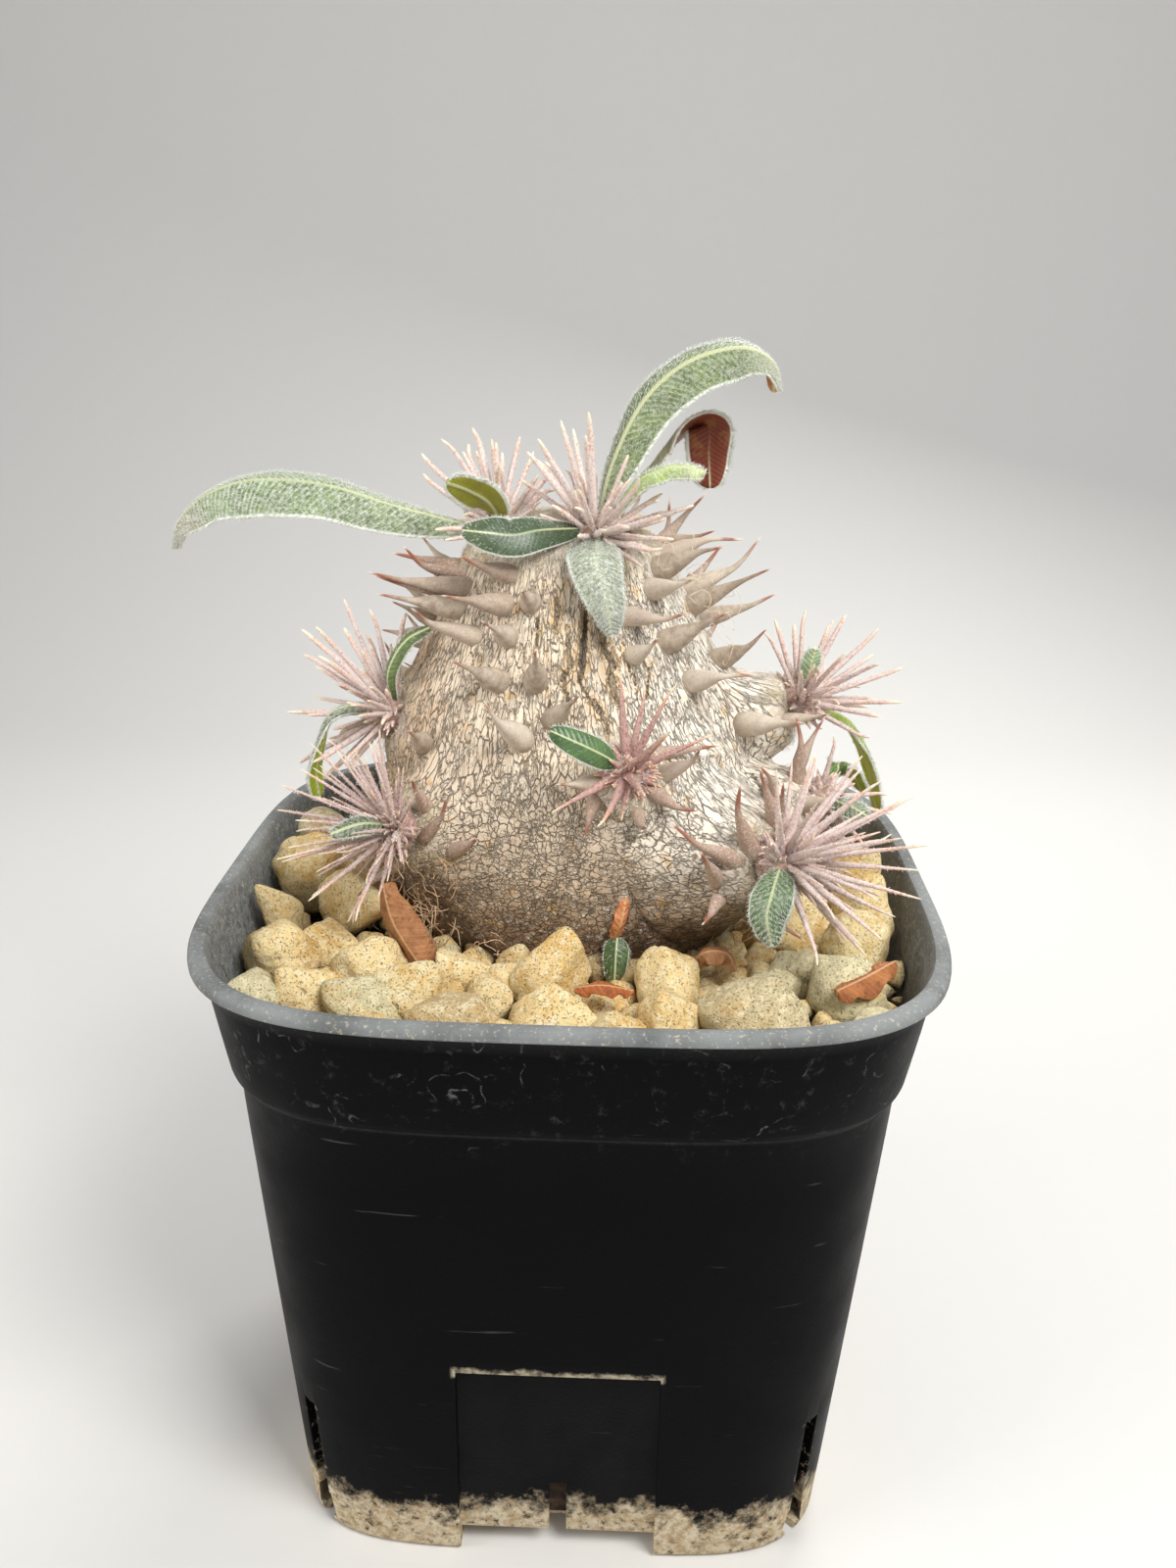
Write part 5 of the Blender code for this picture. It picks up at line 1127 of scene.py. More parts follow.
def trunk_x(z):
    """Where the leaning trunk's axis stands at height z."""
    share = np.clip((z - TRUNK_LEAN_FROM) / (TRUNK_LEAN_TO - TRUNK_LEAN_FROM), 0.0, 1.0)
    return TRUNK_FOOT_X + (TRUNK_TOP_X - TRUNK_FOOT_X) * share


def trunk_radius(z):
    """The trunk's radius at height z."""
    heights, radii = np.array(TRUNK_PROFILE)[::-1].T
    return np.interp(z, heights, radii)


def tip_axis(name):
    """The unit way in which a growing tip points."""
    return unit(np.array(TIPS[name][1]))


def bell_surface():
    """The trunk's profile as radii along its leaning axis, from the crown down to the buried root's end."""
    heights, radii = smooth_path(TRUNK_PROFILE, BELL_ROWS).T
    path = np.stack([trunk_x(heights), np.full(BELL_ROWS, TRUNK_Y), heights], axis=-1)
    return tube_points(path[None], np.maximum(radii, 0.05)[None], BELL_COLUMNS)


def arm_surface(name):
    """A straight tapering arm from inside the trunk to just behind a growing tip."""
    centre, _, core, root_radius, *_ = TIPS[name]
    end = np.array(centre) - tip_axis(name) * core * ARM_END_BACK
    inward = unit(np.array([trunk_x(end[2]) - end[0], TRUNK_Y - end[1], 0.0]))
    root = end + inward * ARM_ROOT_DEPTH - np.array([0.0, 0.0, ARM_ROOT_DROP])
    path = np.linspace(root, end, ARM_ROWS)
    radii = np.linspace(root_radius, core + ARM_END_SWELL, ARM_ROWS)
    return tube_points(path[None], radii[None], ARM_COLUMNS)


def trunk_body():
    """The bell and the arms melted into one skin of small even faces by a voxel remesh, then smoothed."""
    pile = Pile()
    pile.add(bell_surface(), *tube_faces(BELL_ROWS, BELL_COLUMNS))
    for name in ARMS:
        pile.add(arm_surface(name), *tube_faces(ARM_ROWS, ARM_COLUMNS))
    body = pile.make("trunk")
    add_modifier(body, "REMESH", mode="VOXEL", voxel_size=BARK_VOXEL * MM)
    add_modifier(body, "SMOOTH", factor=0.5, iterations=BARK_SMOOTHING)
    return settle(body)


class Skin:
    """The trunk's smooth skin, for standing thorns on it and keeping needles out of it, in millimetres."""

    def __init__(self, points, quads, triangles):
        self.tree = BVHTree.FromPolygons(points.tolist(), quads.tolist() + triangles.tolist())

    def side(self, height, turn):
        """The place, normal and outward way of the trunk's side at a height and a turn about its axis."""
        out = Vector((math.cos(turn), math.sin(turn), 0.0))
        origin = Vector((float(trunk_x(height)), TRUNK_Y, height))
        place, normal, _, _ = self.tree.ray_cast(origin + out * 60.0, -out)
        return place, normal, out

    def near(self, point):
        """The skin's nearest place to a point, its normal there, and how far away it is."""
        place, normal, _, distance = self.tree.find_nearest(Vector(point))
        return place, normal, distance

    def holds(self, point, margin):
        """Whether a point lies in the body or closer to its surface than the margin."""
        place, normal, distance = self.near(point)
        return distance < margin or (Vector(point) - place).dot(normal) < 0


def along_trunk(z):
    """Height drawn out: upright lines above, and a net of even cells below, by a slope that eases between."""
    steps = np.linspace(0.0, 140.0, 281)
    slope = 1.0 + (LINES_STRETCH - 1.0) * eased(steps, NET_BELOW, LINES_ABOVE)
    return np.interp(z, steps, np.cumsum(slope) * (steps[1] - steps[0]))


def fissure_marks(turn, points):
    """How deep each point lies in the deep fissures, how far in them, on their raised lips and in the black.

    A fissure is a smooth path of turns and heights on the trunk's side. Its section is exp(-(d/w)^4) of the
    distance d from the path, and its lips are exp(-((d/w - 1.5)/0.5)^2).
    """
    radius = np.hypot(points[:, 0] - trunk_x(points[:, 2]), points[:, 1] - TRUNK_Y)
    side = np.stack([np.radians(turn) * radius, points[:, 2]], axis=-1)
    side = side + FISSURE_WANDER * np.stack([fractal(points, 1.5, seed) for seed in (35, 37)], axis=-1)
    turn_reach, height_reach = FISSURE_REACH
    deep, dark, lip, black = np.zeros((4, len(points)))
    for places, half_width, depth, blackness in FISSURES:
        line = smooth_path(places, FISSURE_STEPS)
        near = np.abs(turn - line[:, 0].mean()) < turn_reach
        near &= np.abs(points[:, 2] - line[:, 1].mean()) < height_reach
        across = side[near][:, :1] - np.radians(line[None, :, 0]) * radius[near][:, None]
        down = side[near][:, 1:] - line[None, :, 1]
        ends = np.sin(np.pi * np.linspace(0.06, 0.94, FISSURE_STEPS)) ** 0.35
        apart = (np.hypot(across, down * 0.8) / (half_width * ends[None, :])).min(axis=1)
        for mark, value in (
            (deep, depth * np.exp(-(apart**4))), (dark, np.exp(-((apart / 1.05) ** 4))),
            (black, blackness * np.exp(-(apart**2))), (lip, np.exp(-(((apart - 1.5) / 0.5) ** 2))),
        ):
            mark[near] = np.maximum(mark[near], value)
    return deep, dark, lip, black


def bark_relief(points):
    """How far the bark stands out, and the marks that its material reads.

    Low lumps and ripples are noise, the middle-sized cracks are the borders of cells laid on the trunk's
    side, and the deep fissures in front follow their table. The felt near the crown and tips is smooth.
    """
    x, y, z = points.T
    angle = np.arctan2(y - TRUNK_Y, x - trunk_x(z))
    felt = eased(z, *FELT_HEIGHTS)
    for centre, _, core, *_ in TIPS.values():
        apart = np.linalg.norm(points - np.array(centre), axis=1) - core
        felt = np.maximum(felt, eased(apart, *FELT_ROUND_TIP))
    flow = np.stack([np.cos(angle) * FLOW_RADIUS, np.sin(angle) * FLOW_RADIUS, along_trunk(z)], axis=-1)
    wander = np.stack([fractal(flow, 2.4, 31 + axis) for axis in range(3)], axis=-1)
    nearest, second = cell_noise(flow + wander * 0.6, CRACK_CELLS, 41)
    crack = eased(second - nearest, 0.13, 0.0) * eased(value_noise(points, 6.0, 51), 0.30, 0.60)
    deep, dark, lip, black = fissure_marks(np.degrees(angle), points)
    ripple = fractal(flow * (1.0, 1.0, 0.8), 1.5, 71)
    height = LUMPS * fractal(points * (1.0, 1.0, 0.6), 8.0, 61)
    height = height + (RIPPLES * ripple - CRACK_DEPTH * crack) * (1 - felt)
    height = height - deep + FISSURE_LIP * lip * (1 - np.minimum(1, deep * 4))
    height = height + FELT_BUMPS * felt * fractal(points, 1.1, 81)
    marks = {
        "fissure": dark * (1 - felt * 0.5), "black": black, "felt": felt, "crack": crack * (1 - felt),
        "lip": lip * (1 - dark), "flow": flow,
    }
    return height * (1 - eased(z, 70.0, 64.0)), marks


def outside_of(points):
    """How far each point lies outside the bell and each arm, about: an array (bodies, points)."""
    x, y, z = points.T
    slope = trunk_radius(z + 1.5) - trunk_radius(z - 1.5)
    apart = np.hypot(x - trunk_x(z), y - TRUNK_Y) - trunk_radius(z)
    found = [apart / np.hypot(1.0, slope / 3.0)]
    fine, rows = np.linspace(0, ARM_ROWS - 1, 33), np.arange(ARM_ROWS)
    for name in BLEND:
        rings = arm_surface(name)[0, : ARM_ROWS * ARM_COLUMNS].reshape(ARM_ROWS, ARM_COLUMNS, 3)
        middle = rings.mean(axis=1)
        reach = np.interp(fine, rows, np.linalg.norm(rings - middle[:, None], axis=-1).mean(axis=1))
        middle = np.stack([np.interp(fine, rows, middle[:, axis]) for axis in range(3)], axis=-1)
        nearest = np.full(len(points), 99.0)
        for place, radius in zip(middle, reach):
            nearest = np.minimum(nearest, np.linalg.norm(points - place, axis=-1) - radius)
        found.append(nearest)
    return np.array(found)


def soften(points, normals):
    """The arms run softly into the bell: where two bodies meet, the skin is raised by k ln(1 + exp(-d/k)).

    d is how much farther the point lies outside the one than outside the other, and k the arm's softness.
    The rise is measured from the bodies, so four steps along the normals reach it.
    """
    start = outside_of(points).min(axis=0)
    for _ in range(4):
        apart = outside_of(points)
        nearest = apart.min(axis=0)
        lift = np.zeros(len(points))
        for index, softness in enumerate(BLEND.values()):
            others = np.delete(apart, index + 1, axis=0).min(axis=0)
            gap = np.abs(apart[index + 1] - others)
            lift = np.maximum(lift, softness * np.log1p(np.exp(-gap / softness)))
        points = points + normals * np.clip(lift - (nearest - start), -0.5, MOST_SOFTENING)[:, None]
    return points


def make_trunk(material):
    """The smooth skin pushed out along its normals by the bark's relief; returns the piece and the skin."""
    body = trunk_body()
    points, normals, _, _ = mesh_arrays(body)
    body.data.vertices.foreach_set("co", to_row(soften(points, normals)))
    body.data.update()
    add_modifier(body, "SMOOTH", factor=0.5, iterations=SOFT_SMOOTHING)
    points, normals, quads, triangles = mesh_arrays(settle(body))
    height, marks = bark_relief(points)
    bpy.data.objects.remove(body)
    bark = make_object("bark", points + normals * height[:, None], quads, triangles, marks, material)
    return bark, Skin(points, quads, triangles)


# Thorns

class Clearance:
    """Places already taken, as points with a radius, so that thorns and needles keep off them."""

    def __init__(self):
        self.points = np.zeros((0, 3))
        self.radii = np.zeros(0)

    def add(self, points, radius):
        """Takes up places, all with one radius."""
        points = np.asarray(points, float).reshape(-1, 3)
        self.points = np.vstack([self.points, points])
        self.radii = np.concatenate([self.radii, np.full(len(points), radius)])

    def free(self, points, margin):
        """Whether every point clears all the taken places by the margin."""
        apart = np.linalg.norm(self.points[None, :, :] - np.asarray(points)[:, None, :], axis=2)
        return bool((apart > self.radii[None, :] + margin).all())


def axis_points(start, way, length):
    """Sample points from a start along a way, evenly over the length."""
    shares = np.linspace(0.0, 1.0, CLEAR_SAMPLES)[:, None]
    return np.array(start)[None, :] + shares * length * np.array(way)[None, :]


def shown_thorns(skin):
    """The thorns that the front shows, from their table: place, way, length, girth and slenderness."""
    for index, (height, turn, rise, sweep, length) in enumerate(THORNS):
        place, _, out = skin.side(height, math.radians(turn))
        across = Vector((-out.y, out.x, 0.0))
        rise, sweep = math.radians(rise), math.radians(sweep)
        flat = out * math.cos(sweep) + across * math.sin(sweep)
        way = flat * math.cos(rise) + Vector((0.0, 0.0, math.sin(rise)))
        yield place, way, length, THORN_GIRTH * min(1.0, 0.45 + length / 16), SLENDER_THORNS.get(index, 0.0)


def ruled_thorns(skin):
    """The other thorns: rows round the back of the trunk, then a ring behind each side tip, seeded."""
    rng = random.Random(11)
    aside, up = THORN_SHAKE
    for row, (height, count) in enumerate(THORN_ROWS):
        for index in range(count):
            share = (index + 0.25 + 0.5 * (row % 2)) / count
            turn = math.radians(THORN_BACK_FROM + (THORN_BACK_TO - THORN_BACK_FROM) * share)
            turn += rng.uniform(-aside, aside)
            place, normal, _ = skin.side(height + rng.uniform(-up, up), turn)
            way = (normal + Vector((0.0, 0.0, THORN_RISE))).normalized()
            yield place, way, rng.uniform(*THORN_LENGTH), THORN_GIRTH, 0.6 * (index % 4 == 0)
    for name in ARMS:
        centre, _, core, *_ = TIPS[name]
        axis = Vector(tip_axis(name))
        turn = axis.to_track_quat("Z", "Y").to_matrix()
        for index in range(ARM_THORNS):
            angle = 2 * math.pi * (index + rng.uniform(-0.2, 0.2)) / ARM_THORNS
            out = turn @ Vector((math.cos(angle), math.sin(angle), 0.0))
            back = rng.uniform(1.0, 2.6)
            place, normal, _ = skin.near(Vector(centre) - axis * back + out * (core + 2.0))
            way = (normal * 0.8 + axis * 0.55 + out * 0.4).normalized()
            yield place, way, rng.uniform(*ARM_THORN_LENGTH), ARM_THORN_GIRTH, 0.3 + 0.4 * (index % 2)


def choose_thorns(sites, taken, heed_own):
    """The sites whose thorn stands above the lowest height and clears the leaves, needles and, if asked, the
    other thorns.
    """
    kept = []
    for place, way, length, girth, slender in sites:
        points = axis_points(place, way, length)
        if points[:, 2].min() < LOWEST_THORN or not taken.free(points, girth * 0.75):
            continue
        kept.append((tuple(place), tuple(way), length, girth, slender))
        if heed_own:
            taken.add(points[2:], girth * 0.6)
    if not heed_own:
        points = [axis_points(place, way, length)[2:] for place, way, length, *_ in kept]
        taken.add(np.vstack(points), THORN_GIRTH * 0.8)
    return kept


def hair_points(starts, ways, lengths, width):
    """A hair is a three-sided pyramid: a small triangle square to its way, and its point."""
    first, second = turned_to(ways)
    turn = 2 * np.pi * np.arange(3) / 3
    ring = np.cos(turn)[None, :, None] * first[:, None] + np.sin(turn)[None, :, None] * second[:, None]
    width = np.broadcast_to(np.asarray(width, float), (len(starts),))[:, None, None]
    ends = (starts + ways * np.asarray(lengths)[:, None])[:, None]
    return np.concatenate([starts[:, None] + ring * width, ends], axis=1)


def felt_hairs(bark, material, rng):
    """Short hairs that lie about on the felted skin near the crown and the tips."""
    points, normals, _, _ = mesh_arrays(bark)
    felt = read(bark.data.attributes["felt"].data, "value", 1, np.float32)
    chance = felt * (points[:, 2] > 72)
    chosen = rng.choice(len(points), FELT_HAIRS, p=chance / chance.sum())
    out = beside(normals[chosen], rng)
    ways = unit(out + normals[chosen] * rng.uniform(0.1, 0.9, (FELT_HAIRS, 1)))
    starts = points[chosen] + rng.normal(0, 0.12, (FELT_HAIRS, 3))
    hairs = hair_points(starts, ways, rng.uniform(0.4, 1.3, FELT_HAIRS), 0.03)
    return one_surface("felt", hairs, None, HAIR_FACES, material)


def curls(name, rows, arc, stand, thickness, skin, material, rng):
    """Thin hairs as arcs of a circle that wander a little, each in a plane of its own.

    A row gives the height and turn of the place on the trunk, and the arc's radius. The arc is in radians,
    and its centre stands off the bark by so many radii.
    """
    steps, sides = 16, 4
    paths = []
    for height, turn, radius in rows:
        place, normal, _ = skin.side(height, math.radians(turn))
        normal = np.array(normal)
        first, second = turned_to(unit(normal + rng.normal(0, 0.5, 3)))
        angle = np.linspace(0, rng.uniform(*arc), steps)[:, None] + rng.uniform(0, 6.28)
        centre = np.array(place) + normal * radius * stand
        wander = [fractal(angle * 0.7 + [9.0 * axis, 0, height], 1.0, 3) for axis in range(3)]
        circle = first * np.cos(angle) + second * np.sin(angle)
        paths.append(centre + radius * circle + 0.35 * np.stack(wander, axis=-1))
    points = tube_points(np.array(paths), np.full((len(paths), steps), thickness), sides)
    return one_surface(name, points, *tube_faces(steps, sides), material)


def make_thorns(sites, material, sides):
    """Thorns with a swollen foot, or slender ones, that narrow to a fine end hooked a little to one side."""
    starts, ways = np.array([site[0] for site in sites]), unit(np.array([site[1] for site in sites]))
    lengths, girths, slender = (np.array([site[part] for site in sites], float) for part in (2, 3, 4))
    lengths = lengths * THORN_STRETCH
    rng = np.random.default_rng(7)
    along, stout_shape, slender_shape = np.array(THORN_SHAPE).T
    shape = stout_shape + (slender_shape - stout_shape) * slender[:, None]
    side = beside(ways, rng) + np.array([0.0, 0.0, 0.5])
    side = unit(side - ways * np.sum(side * ways, axis=1, keepdims=True))
    hook = rng.uniform(0.0, 1.0, len(sites)) ** 2 * THORN_HOOK * lengths
    bend = eased(along, 0.45, 1.1) ** 1.4
    paths = starts[:, None] + ways[:, None] * (along * lengths[:, None])[..., None]
    paths = paths + side[:, None] * (hook[:, None] * bend)[..., None]
    radii = girths[:, None] * shape * rng.uniform(0.88, 1.08, (len(sites), 1))
    points = tube_points(paths, radii, sides)
    centres = np.concatenate([np.repeat(paths, sides, axis=1), paths[:, :1], paths[:, -1:]], axis=1)
    points = centres + (points - centres) * (1 + 0.08 * fractal(points, 1.6, 91)[..., None])
    places = np.broadcast_to(np.concatenate([np.repeat(along, sides), along[[0, -1]]]), points.shape[:2])
    marks = {"along": places, "tone": rng.random(len(sites)), "slender": slender}
    return one_surface("thorns", points, *tube_faces(len(along), sides), material, **marks)

# Growing tips

def cone_directions(axis, count, spread, rng):
    """Directions spread evenly over a cap about the axis by the golden angle, a little disordered."""
    turn = Vector(axis).to_track_quat("Z", "Y").to_matrix()
    found = []
    for index in range(count):
        depth = 1 - (1 - math.cos(math.radians(spread))) * (index + 0.5) / count
        angle = index * GOLDEN_ANGLE + rng.uniform(-0.12, 0.12)
        ring = math.sqrt(max(0.0, 1 - depth * depth))
        found.append(turn @ Vector((ring * math.cos(angle), ring * math.sin(angle), depth)))
    return found


def out_of_core(centre, way, length, radius):
    """The sample points of a needle that lie farther than the radius from the tip's centre."""
    points = axis_points(centre, way, length)
    return points[np.linalg.norm(points - np.array(centre), axis=1) > radius]


def tip_needles(name, skin, taken, seed):
    """The part's own needles that are clear of leaves, thorns and bark, as root, way and length."""
    centre, _, core, _, count, spread, shortest, longest = TIPS[name]
    rng = random.Random(seed)
    kept, own = [], []
    for index, way in enumerate(cone_directions(tip_axis(name), count, spread, rng)):
        length = longest - (longest - shortest) * (0.7 * index / count + rng.uniform(0.0, 0.3))
        outside = out_of_core(centre, way, length, core + 0.6)
        if not taken.free(outside, NEEDLE_GIRTH):
            continue
        if any(skin.holds(point, NEEDLE_GIRTH + 0.25) for point in outside):
            continue
        sunk = core * NEEDLE_START
        kept.append((np.array(centre) + np.array(way) * sunk, np.array(way), length - sunk))
        own.append(outside)
    taken.add(np.vstack(own), NEEDLE_GIRTH)
    taken.add([centre], core)
    return kept


def random_cap(axis, spread, count, rng):
    """Directions drawn evenly over the cap of that many degrees about the axis."""
    first, second = turned_to(axis)
    turn = rng.uniform(0, 2 * np.pi, count)[:, None]
    depth = 1 - (1 - math.cos(math.radians(spread))) * rng.random(count)[:, None]
    return depth * axis + np.sqrt(1 - depth**2) * (np.cos(turn) * first + np.sin(turn) * second)


def short_needles(name, count, taken, skin, rng):
    """Younger needles between the long ones: over the same cap, shorter, and clear of leaves and bark."""
    centre, _, core, _, _, spread, shortest, longest = TIPS[name]
    wider = CROWN_WIDER if name in CROWNS else TIP_WIDER
    ways = random_cap(tip_axis(name), spread + wider, count * 2, rng)
    lengths = rng.uniform(0.45, 1.05, len(ways)) * (shortest * 0.6 + longest * 0.4)
    kept = []
    for index, (way, length) in enumerate(zip(ways, lengths)):
        outside = out_of_core(centre, way, length, core + 0.8)
        in_bark = any(skin.holds(point, 0.3) for point in outside[1::3])
        if taken.free(outside, 0.0) and not in_bark:
            kept.append(index)
        if len(kept) == count:
            break
    sunk = core * NEEDLE_START
    return np.array(centre) + ways[kept] * sunk, ways[kept], lengths[kept] - sunk


def needle_paths(starts, ways, lengths, rng):
    """Nearly straight paths that bow a little, some with a small hook at the very end: (copies, rows, 3)."""
    along, side = np.array(NEEDLE_ALONG), beside(ways, rng)
    bow = rng.uniform(0.0, 0.06, len(starts)) * lengths
    hook = np.where(rng.random(len(starts)) < 0.45, rng.uniform(0.2, 0.6, len(starts)), 0.0)
    straight = starts[:, None] + ways[:, None] * (along * lengths[:, None])[..., None]
    bend = bow[:, None] * along**2 + hook[:, None] * eased(along, 0.86, 1.0)
    return straight + side[:, None] * bend[..., None]


def wool_on_needles(pile, paths, radii, hairs, rng):
    """Short woolly hairs that stand off each needle, thickest at its foot and few at its point."""
    along = np.array(NEEDLE_ALONG)
    count = len(paths) * hairs
    which = np.repeat(np.arange(len(paths)), hairs)
    share = rng.random(count) ** 1.25 * 0.90 + 0.02
    low = np.clip(np.searchsorted(along, share) - 1, 0, len(along) - 2)
    t = ((share - along[low]) / (along[low + 1] - along[low]))[:, None]
    place = paths[which, low] * (1 - t) + paths[which, low + 1] * t
    radius = radii[which, low, None] * (1 - t) + radii[which, low + 1, None] * t
    tangent = unit(paths[which, low + 1] - paths[which, low])
    out = beside(tangent, rng)
    lean = unit(out + tangent * rng.uniform(-0.2, 0.9, (count, 1)) + rng.normal(0, 0.3, (count, 3)))
    length = rng.uniform(0.18, 0.55, count) * (1.25 - 0.6 * share)
    points = hair_points(place + out * (radius * 0.8), lean, length, rng.uniform(0.045, 0.075, count))
    pile.add(points, None, HAIR_FACES, along=share, wool=1.0, red=0.0, tone=rng.random(count))


def add_needles(pile, starts, ways, lengths, girth, spiky, red, rng):
    """Closed tapering tubes along their paths; returns the paths and radii for the wool."""
    along = np.array(NEEDLE_ALONG)
    shape = np.array(ROD_SHAPE) * (1 - spiky) + np.array(SPIKE_SHAPE) * spiky
    paths = needle_paths(starts, ways, lengths, rng)
    radii = girth * shape[None, :] * rng.uniform(0.82, 1.12, (len(starts), 1))
    points = tube_points(paths, radii, NEEDLE_SIDES)
    places = np.broadcast_to(np.concatenate([np.repeat(along, NEEDLE_SIDES), [0.0, 1.0]]), points.shape[:2])
    faces = tube_faces(len(along), NEEDLE_SIDES)
    pile.add(points, *faces, along=places, wool=0.0, red=red, tone=rng.random(len(starts)))
    return paths, radii


def make_tip(name, skin, taken, seed, material, hairs):
    """A growing tip: a felted core with short scales, long needles, younger ones between them, and wool."""
    centre, _, core, _, count, spread, *_ = TIPS[name]
    girth, young, spiky, red, hairy = TIP_LOOKS[name]
    middle, axis = np.array(centre), tip_axis(name)
    rng = np.random.default_rng(seed)
    pile = Pile()
    ways, quads = ball_grid(14)
    lumps = 0.90 + 0.12 * fractal(ways * core, 1.4, seed)
    ball = (middle + ways * core * lumps[:, None])[None]
    pile.add(ball, quads, None, along=-1.0, wool=0.0, red=0.0, tone=0.5)
    down = random_cap(axis, 150, CORE_HAIRS, rng)
    leaning = unit(down + rng.normal(0, 0.6, down.shape))
    down = hair_points(middle + down * core * 0.88, leaning, rng.uniform(0.3, 0.9, CORE_HAIRS), 0.04)
    pile.add(down, None, HAIR_FACES, along=0.0, wool=0.8, red=0.0, tone=0.5)
    long_ones = [np.array(part) for part in zip(*tip_needles(name, skin, taken, seed))]
    long_ones[2] *= NEEDLE_STRETCH.get(name, 1.06)
    young_ones = short_needles(name, int(count * young), taken, skin, rng)
    scales = random_cap(axis, spread + CROWN_WIDER, SCALES, rng)
    scales = (middle + scales * core * 0.55, scales, core * 0.45 + rng.uniform(0.3, 1.9, SCALES))
    for (starts, ways, lengths), thick, shape, hair in (
        (long_ones, girth, spiky, hairs * hairy),
        (young_ones, girth * 0.86, spiky, hairs * hairy * 0.55),
        (scales, 0.42, 1.0, 6),
    ):
        paths, radii = add_needles(pile, starts, ways, lengths, thick, shape, red, rng)
        wool_on_needles(pile, paths, radii, max(1, int(hair)), rng)
    return pile.make("wool_" + name, material)

# Leaves

def rooted(tip, points):
    """The midrib's points with the first one moved into the growing tip that bears the leaf."""
    if tip is None:
        return points
    centre, _, core, *_ = TIPS[tip]
    start = np.array(centre) + unit(np.array(points[0]) - np.array(centre)) * core * 0.85
    return (tuple(start), *points[1:])


class Blade:
    """A leaf's frame: stations along its midrib with the side and normal ways and the half width there."""

    def __init__(self, points, half_width, faces, fold, stations, waviness=0.0, ends=LEAF_ENDS, seed=0):
        self.path = smooth_path(points, stations)
        self.tangent = unit(np.gradient(self.path, axis=0))
        many = len(faces) > 1
        face = smooth_path(faces, stations) if many else np.repeat(np.array(faces, float), stations, axis=0)
        self.side = unit(np.cross(self.tangent, face))
        self.normal = np.cross(self.side, self.tangent)
        self.length = float(np.linalg.norm(np.diff(self.path, axis=0), axis=1).sum())
        share = np.linspace(0, 1, stations)
        taper, shoulder = ends
        peak = shoulder / (shoulder + taper)
        lance = (share / peak) ** shoulder * ((1 - share) / (1 - peak)) ** taper
        self.width = LEAF_EDGE_WIDTH + (half_width - LEAF_EDGE_WIDTH) * lance
        self.fold, self.stations, self.seed, self.waviness = fold, stations, seed, waviness

    def width_at(self, u):
        """The half width at a share along the leaf."""
        return np.interp(np.clip(u, 0, 1) * (self.stations - 1), np.arange(self.stations), self.width)

    def points(self, u, v, lift):
        """Places on the blade: u from 0 to 1 along it, v from -1 to 1 across, lift above its middle surface.

        Both halves drop from the midrib by the fold, rounded at the rib, and the margins rise and fall in
        waves of noise along the leaf.
        """
        place = np.clip(u, 0, 1) * (self.stations - 1)
        low = np.minimum(place.astype(int), self.stations - 2)
        t = (place - low)[..., None]
        path, side, normal = (
            grid[low] * (1 - t) + grid[low + 1] * t for grid in (self.path, self.side, self.normal)
        )
        width = self.width_at(u)
        rounded = np.sqrt(v**2 + 0.02) - math.sqrt(0.02)
        wave_place = np.stack([u * 9 + np.sign(v) * 40, np.zeros_like(u), np.zeros_like(u)], axis=-1)
        wave = self.waviness * (2 * value_noise(wave_place, 1.0, self.seed) - 1) * v**2
        height = lift - rounded * width * self.fold + wave
        return path + side * (v * width)[..., None] + normal * height[..., None]

    def veins(self, u, v):
        """How far a place lies between side veins, in turns: they leave the midrib and run to the point."""
        return (u * self.length - np.abs(v) * self.width_at(u) * VEIN_SLOPE) / VEIN_STEP


def leaf_ring(columns):
    """Round a leaf's section: the place across from -1 to 1, and the share of half the thickness there."""
    turn = 2 * np.pi * (np.arange(columns) + 0.5) / columns
    across, up = np.cos(turn), np.sin(turn)
    return np.sign(across) * np.abs(across) ** 1.25, np.sign(up) * np.abs(up) ** 0.6


def add_blade(pile, blade, rib_half, marks):
    """The blade as a closed tube of rings: thinner at the margins, with a rib below and a furrow above.

    Half its thickness at a place v across is 0.5 T (0.55 + 0.45 (1 - v^4)); the midrib adds exp(-(d/r)^2) of
    the distance d from it, and the side veins a low cosine of their turns.
    """
    across, side = leaf_ring(LEAF_COLUMNS)
    u = np.linspace(0, 1, LEAF_ROWS)[:, None] * np.ones(LEAF_COLUMNS)
    v = np.ones((LEAF_ROWS, 1)) * across
    half = LEAF_THICKNESS / 2 * (0.55 + 0.45 * (1 - v**4)) * side
    near_rib = np.exp(-((v * blade.width_at(u) / rib_half) ** 2))
    rib = near_rib * (1 - 0.7 * u)
    lift = half + RIB_FURROW * rib_half * rib * (side > 0) - RIB_BELOW * rib * (side < 0)
    turns = blade.veins(u, v)
    raised = np.cos(2 * np.pi * turns) * VEIN_HEIGHT * np.minimum(1, np.abs(v) * 5) * (1 - v**6)
    body = blade.points(u, v, lift - raised * np.sign(side)).reshape(1, -1, 3)
    poles = blade.points(np.array([0.0, 1.0]), np.zeros(2), np.zeros(2))
    places = {
        "along": (u, [0.0, 1.0]), "across": (v, [0.0, 0.0]), "turns": (turns, turns[[0, -1], 0]),
        "rib": (near_rib, [1.0, 1.0]), "under": (np.broadcast_to(side < 0, u.shape), [0.0, 0.0]),
    }
    places = {name: np.concatenate([grid.ravel(), ends])[None] for name, (grid, ends) in places.items()}
    quads, triangles = tube_faces(LEAF_ROWS, LEAF_COLUMNS)
    points = np.concatenate([body, poles[None]], axis=1)
    pile.add(points, quads[:, ::-1], triangles[:, ::-1], hair=0.0, **places, **marks)


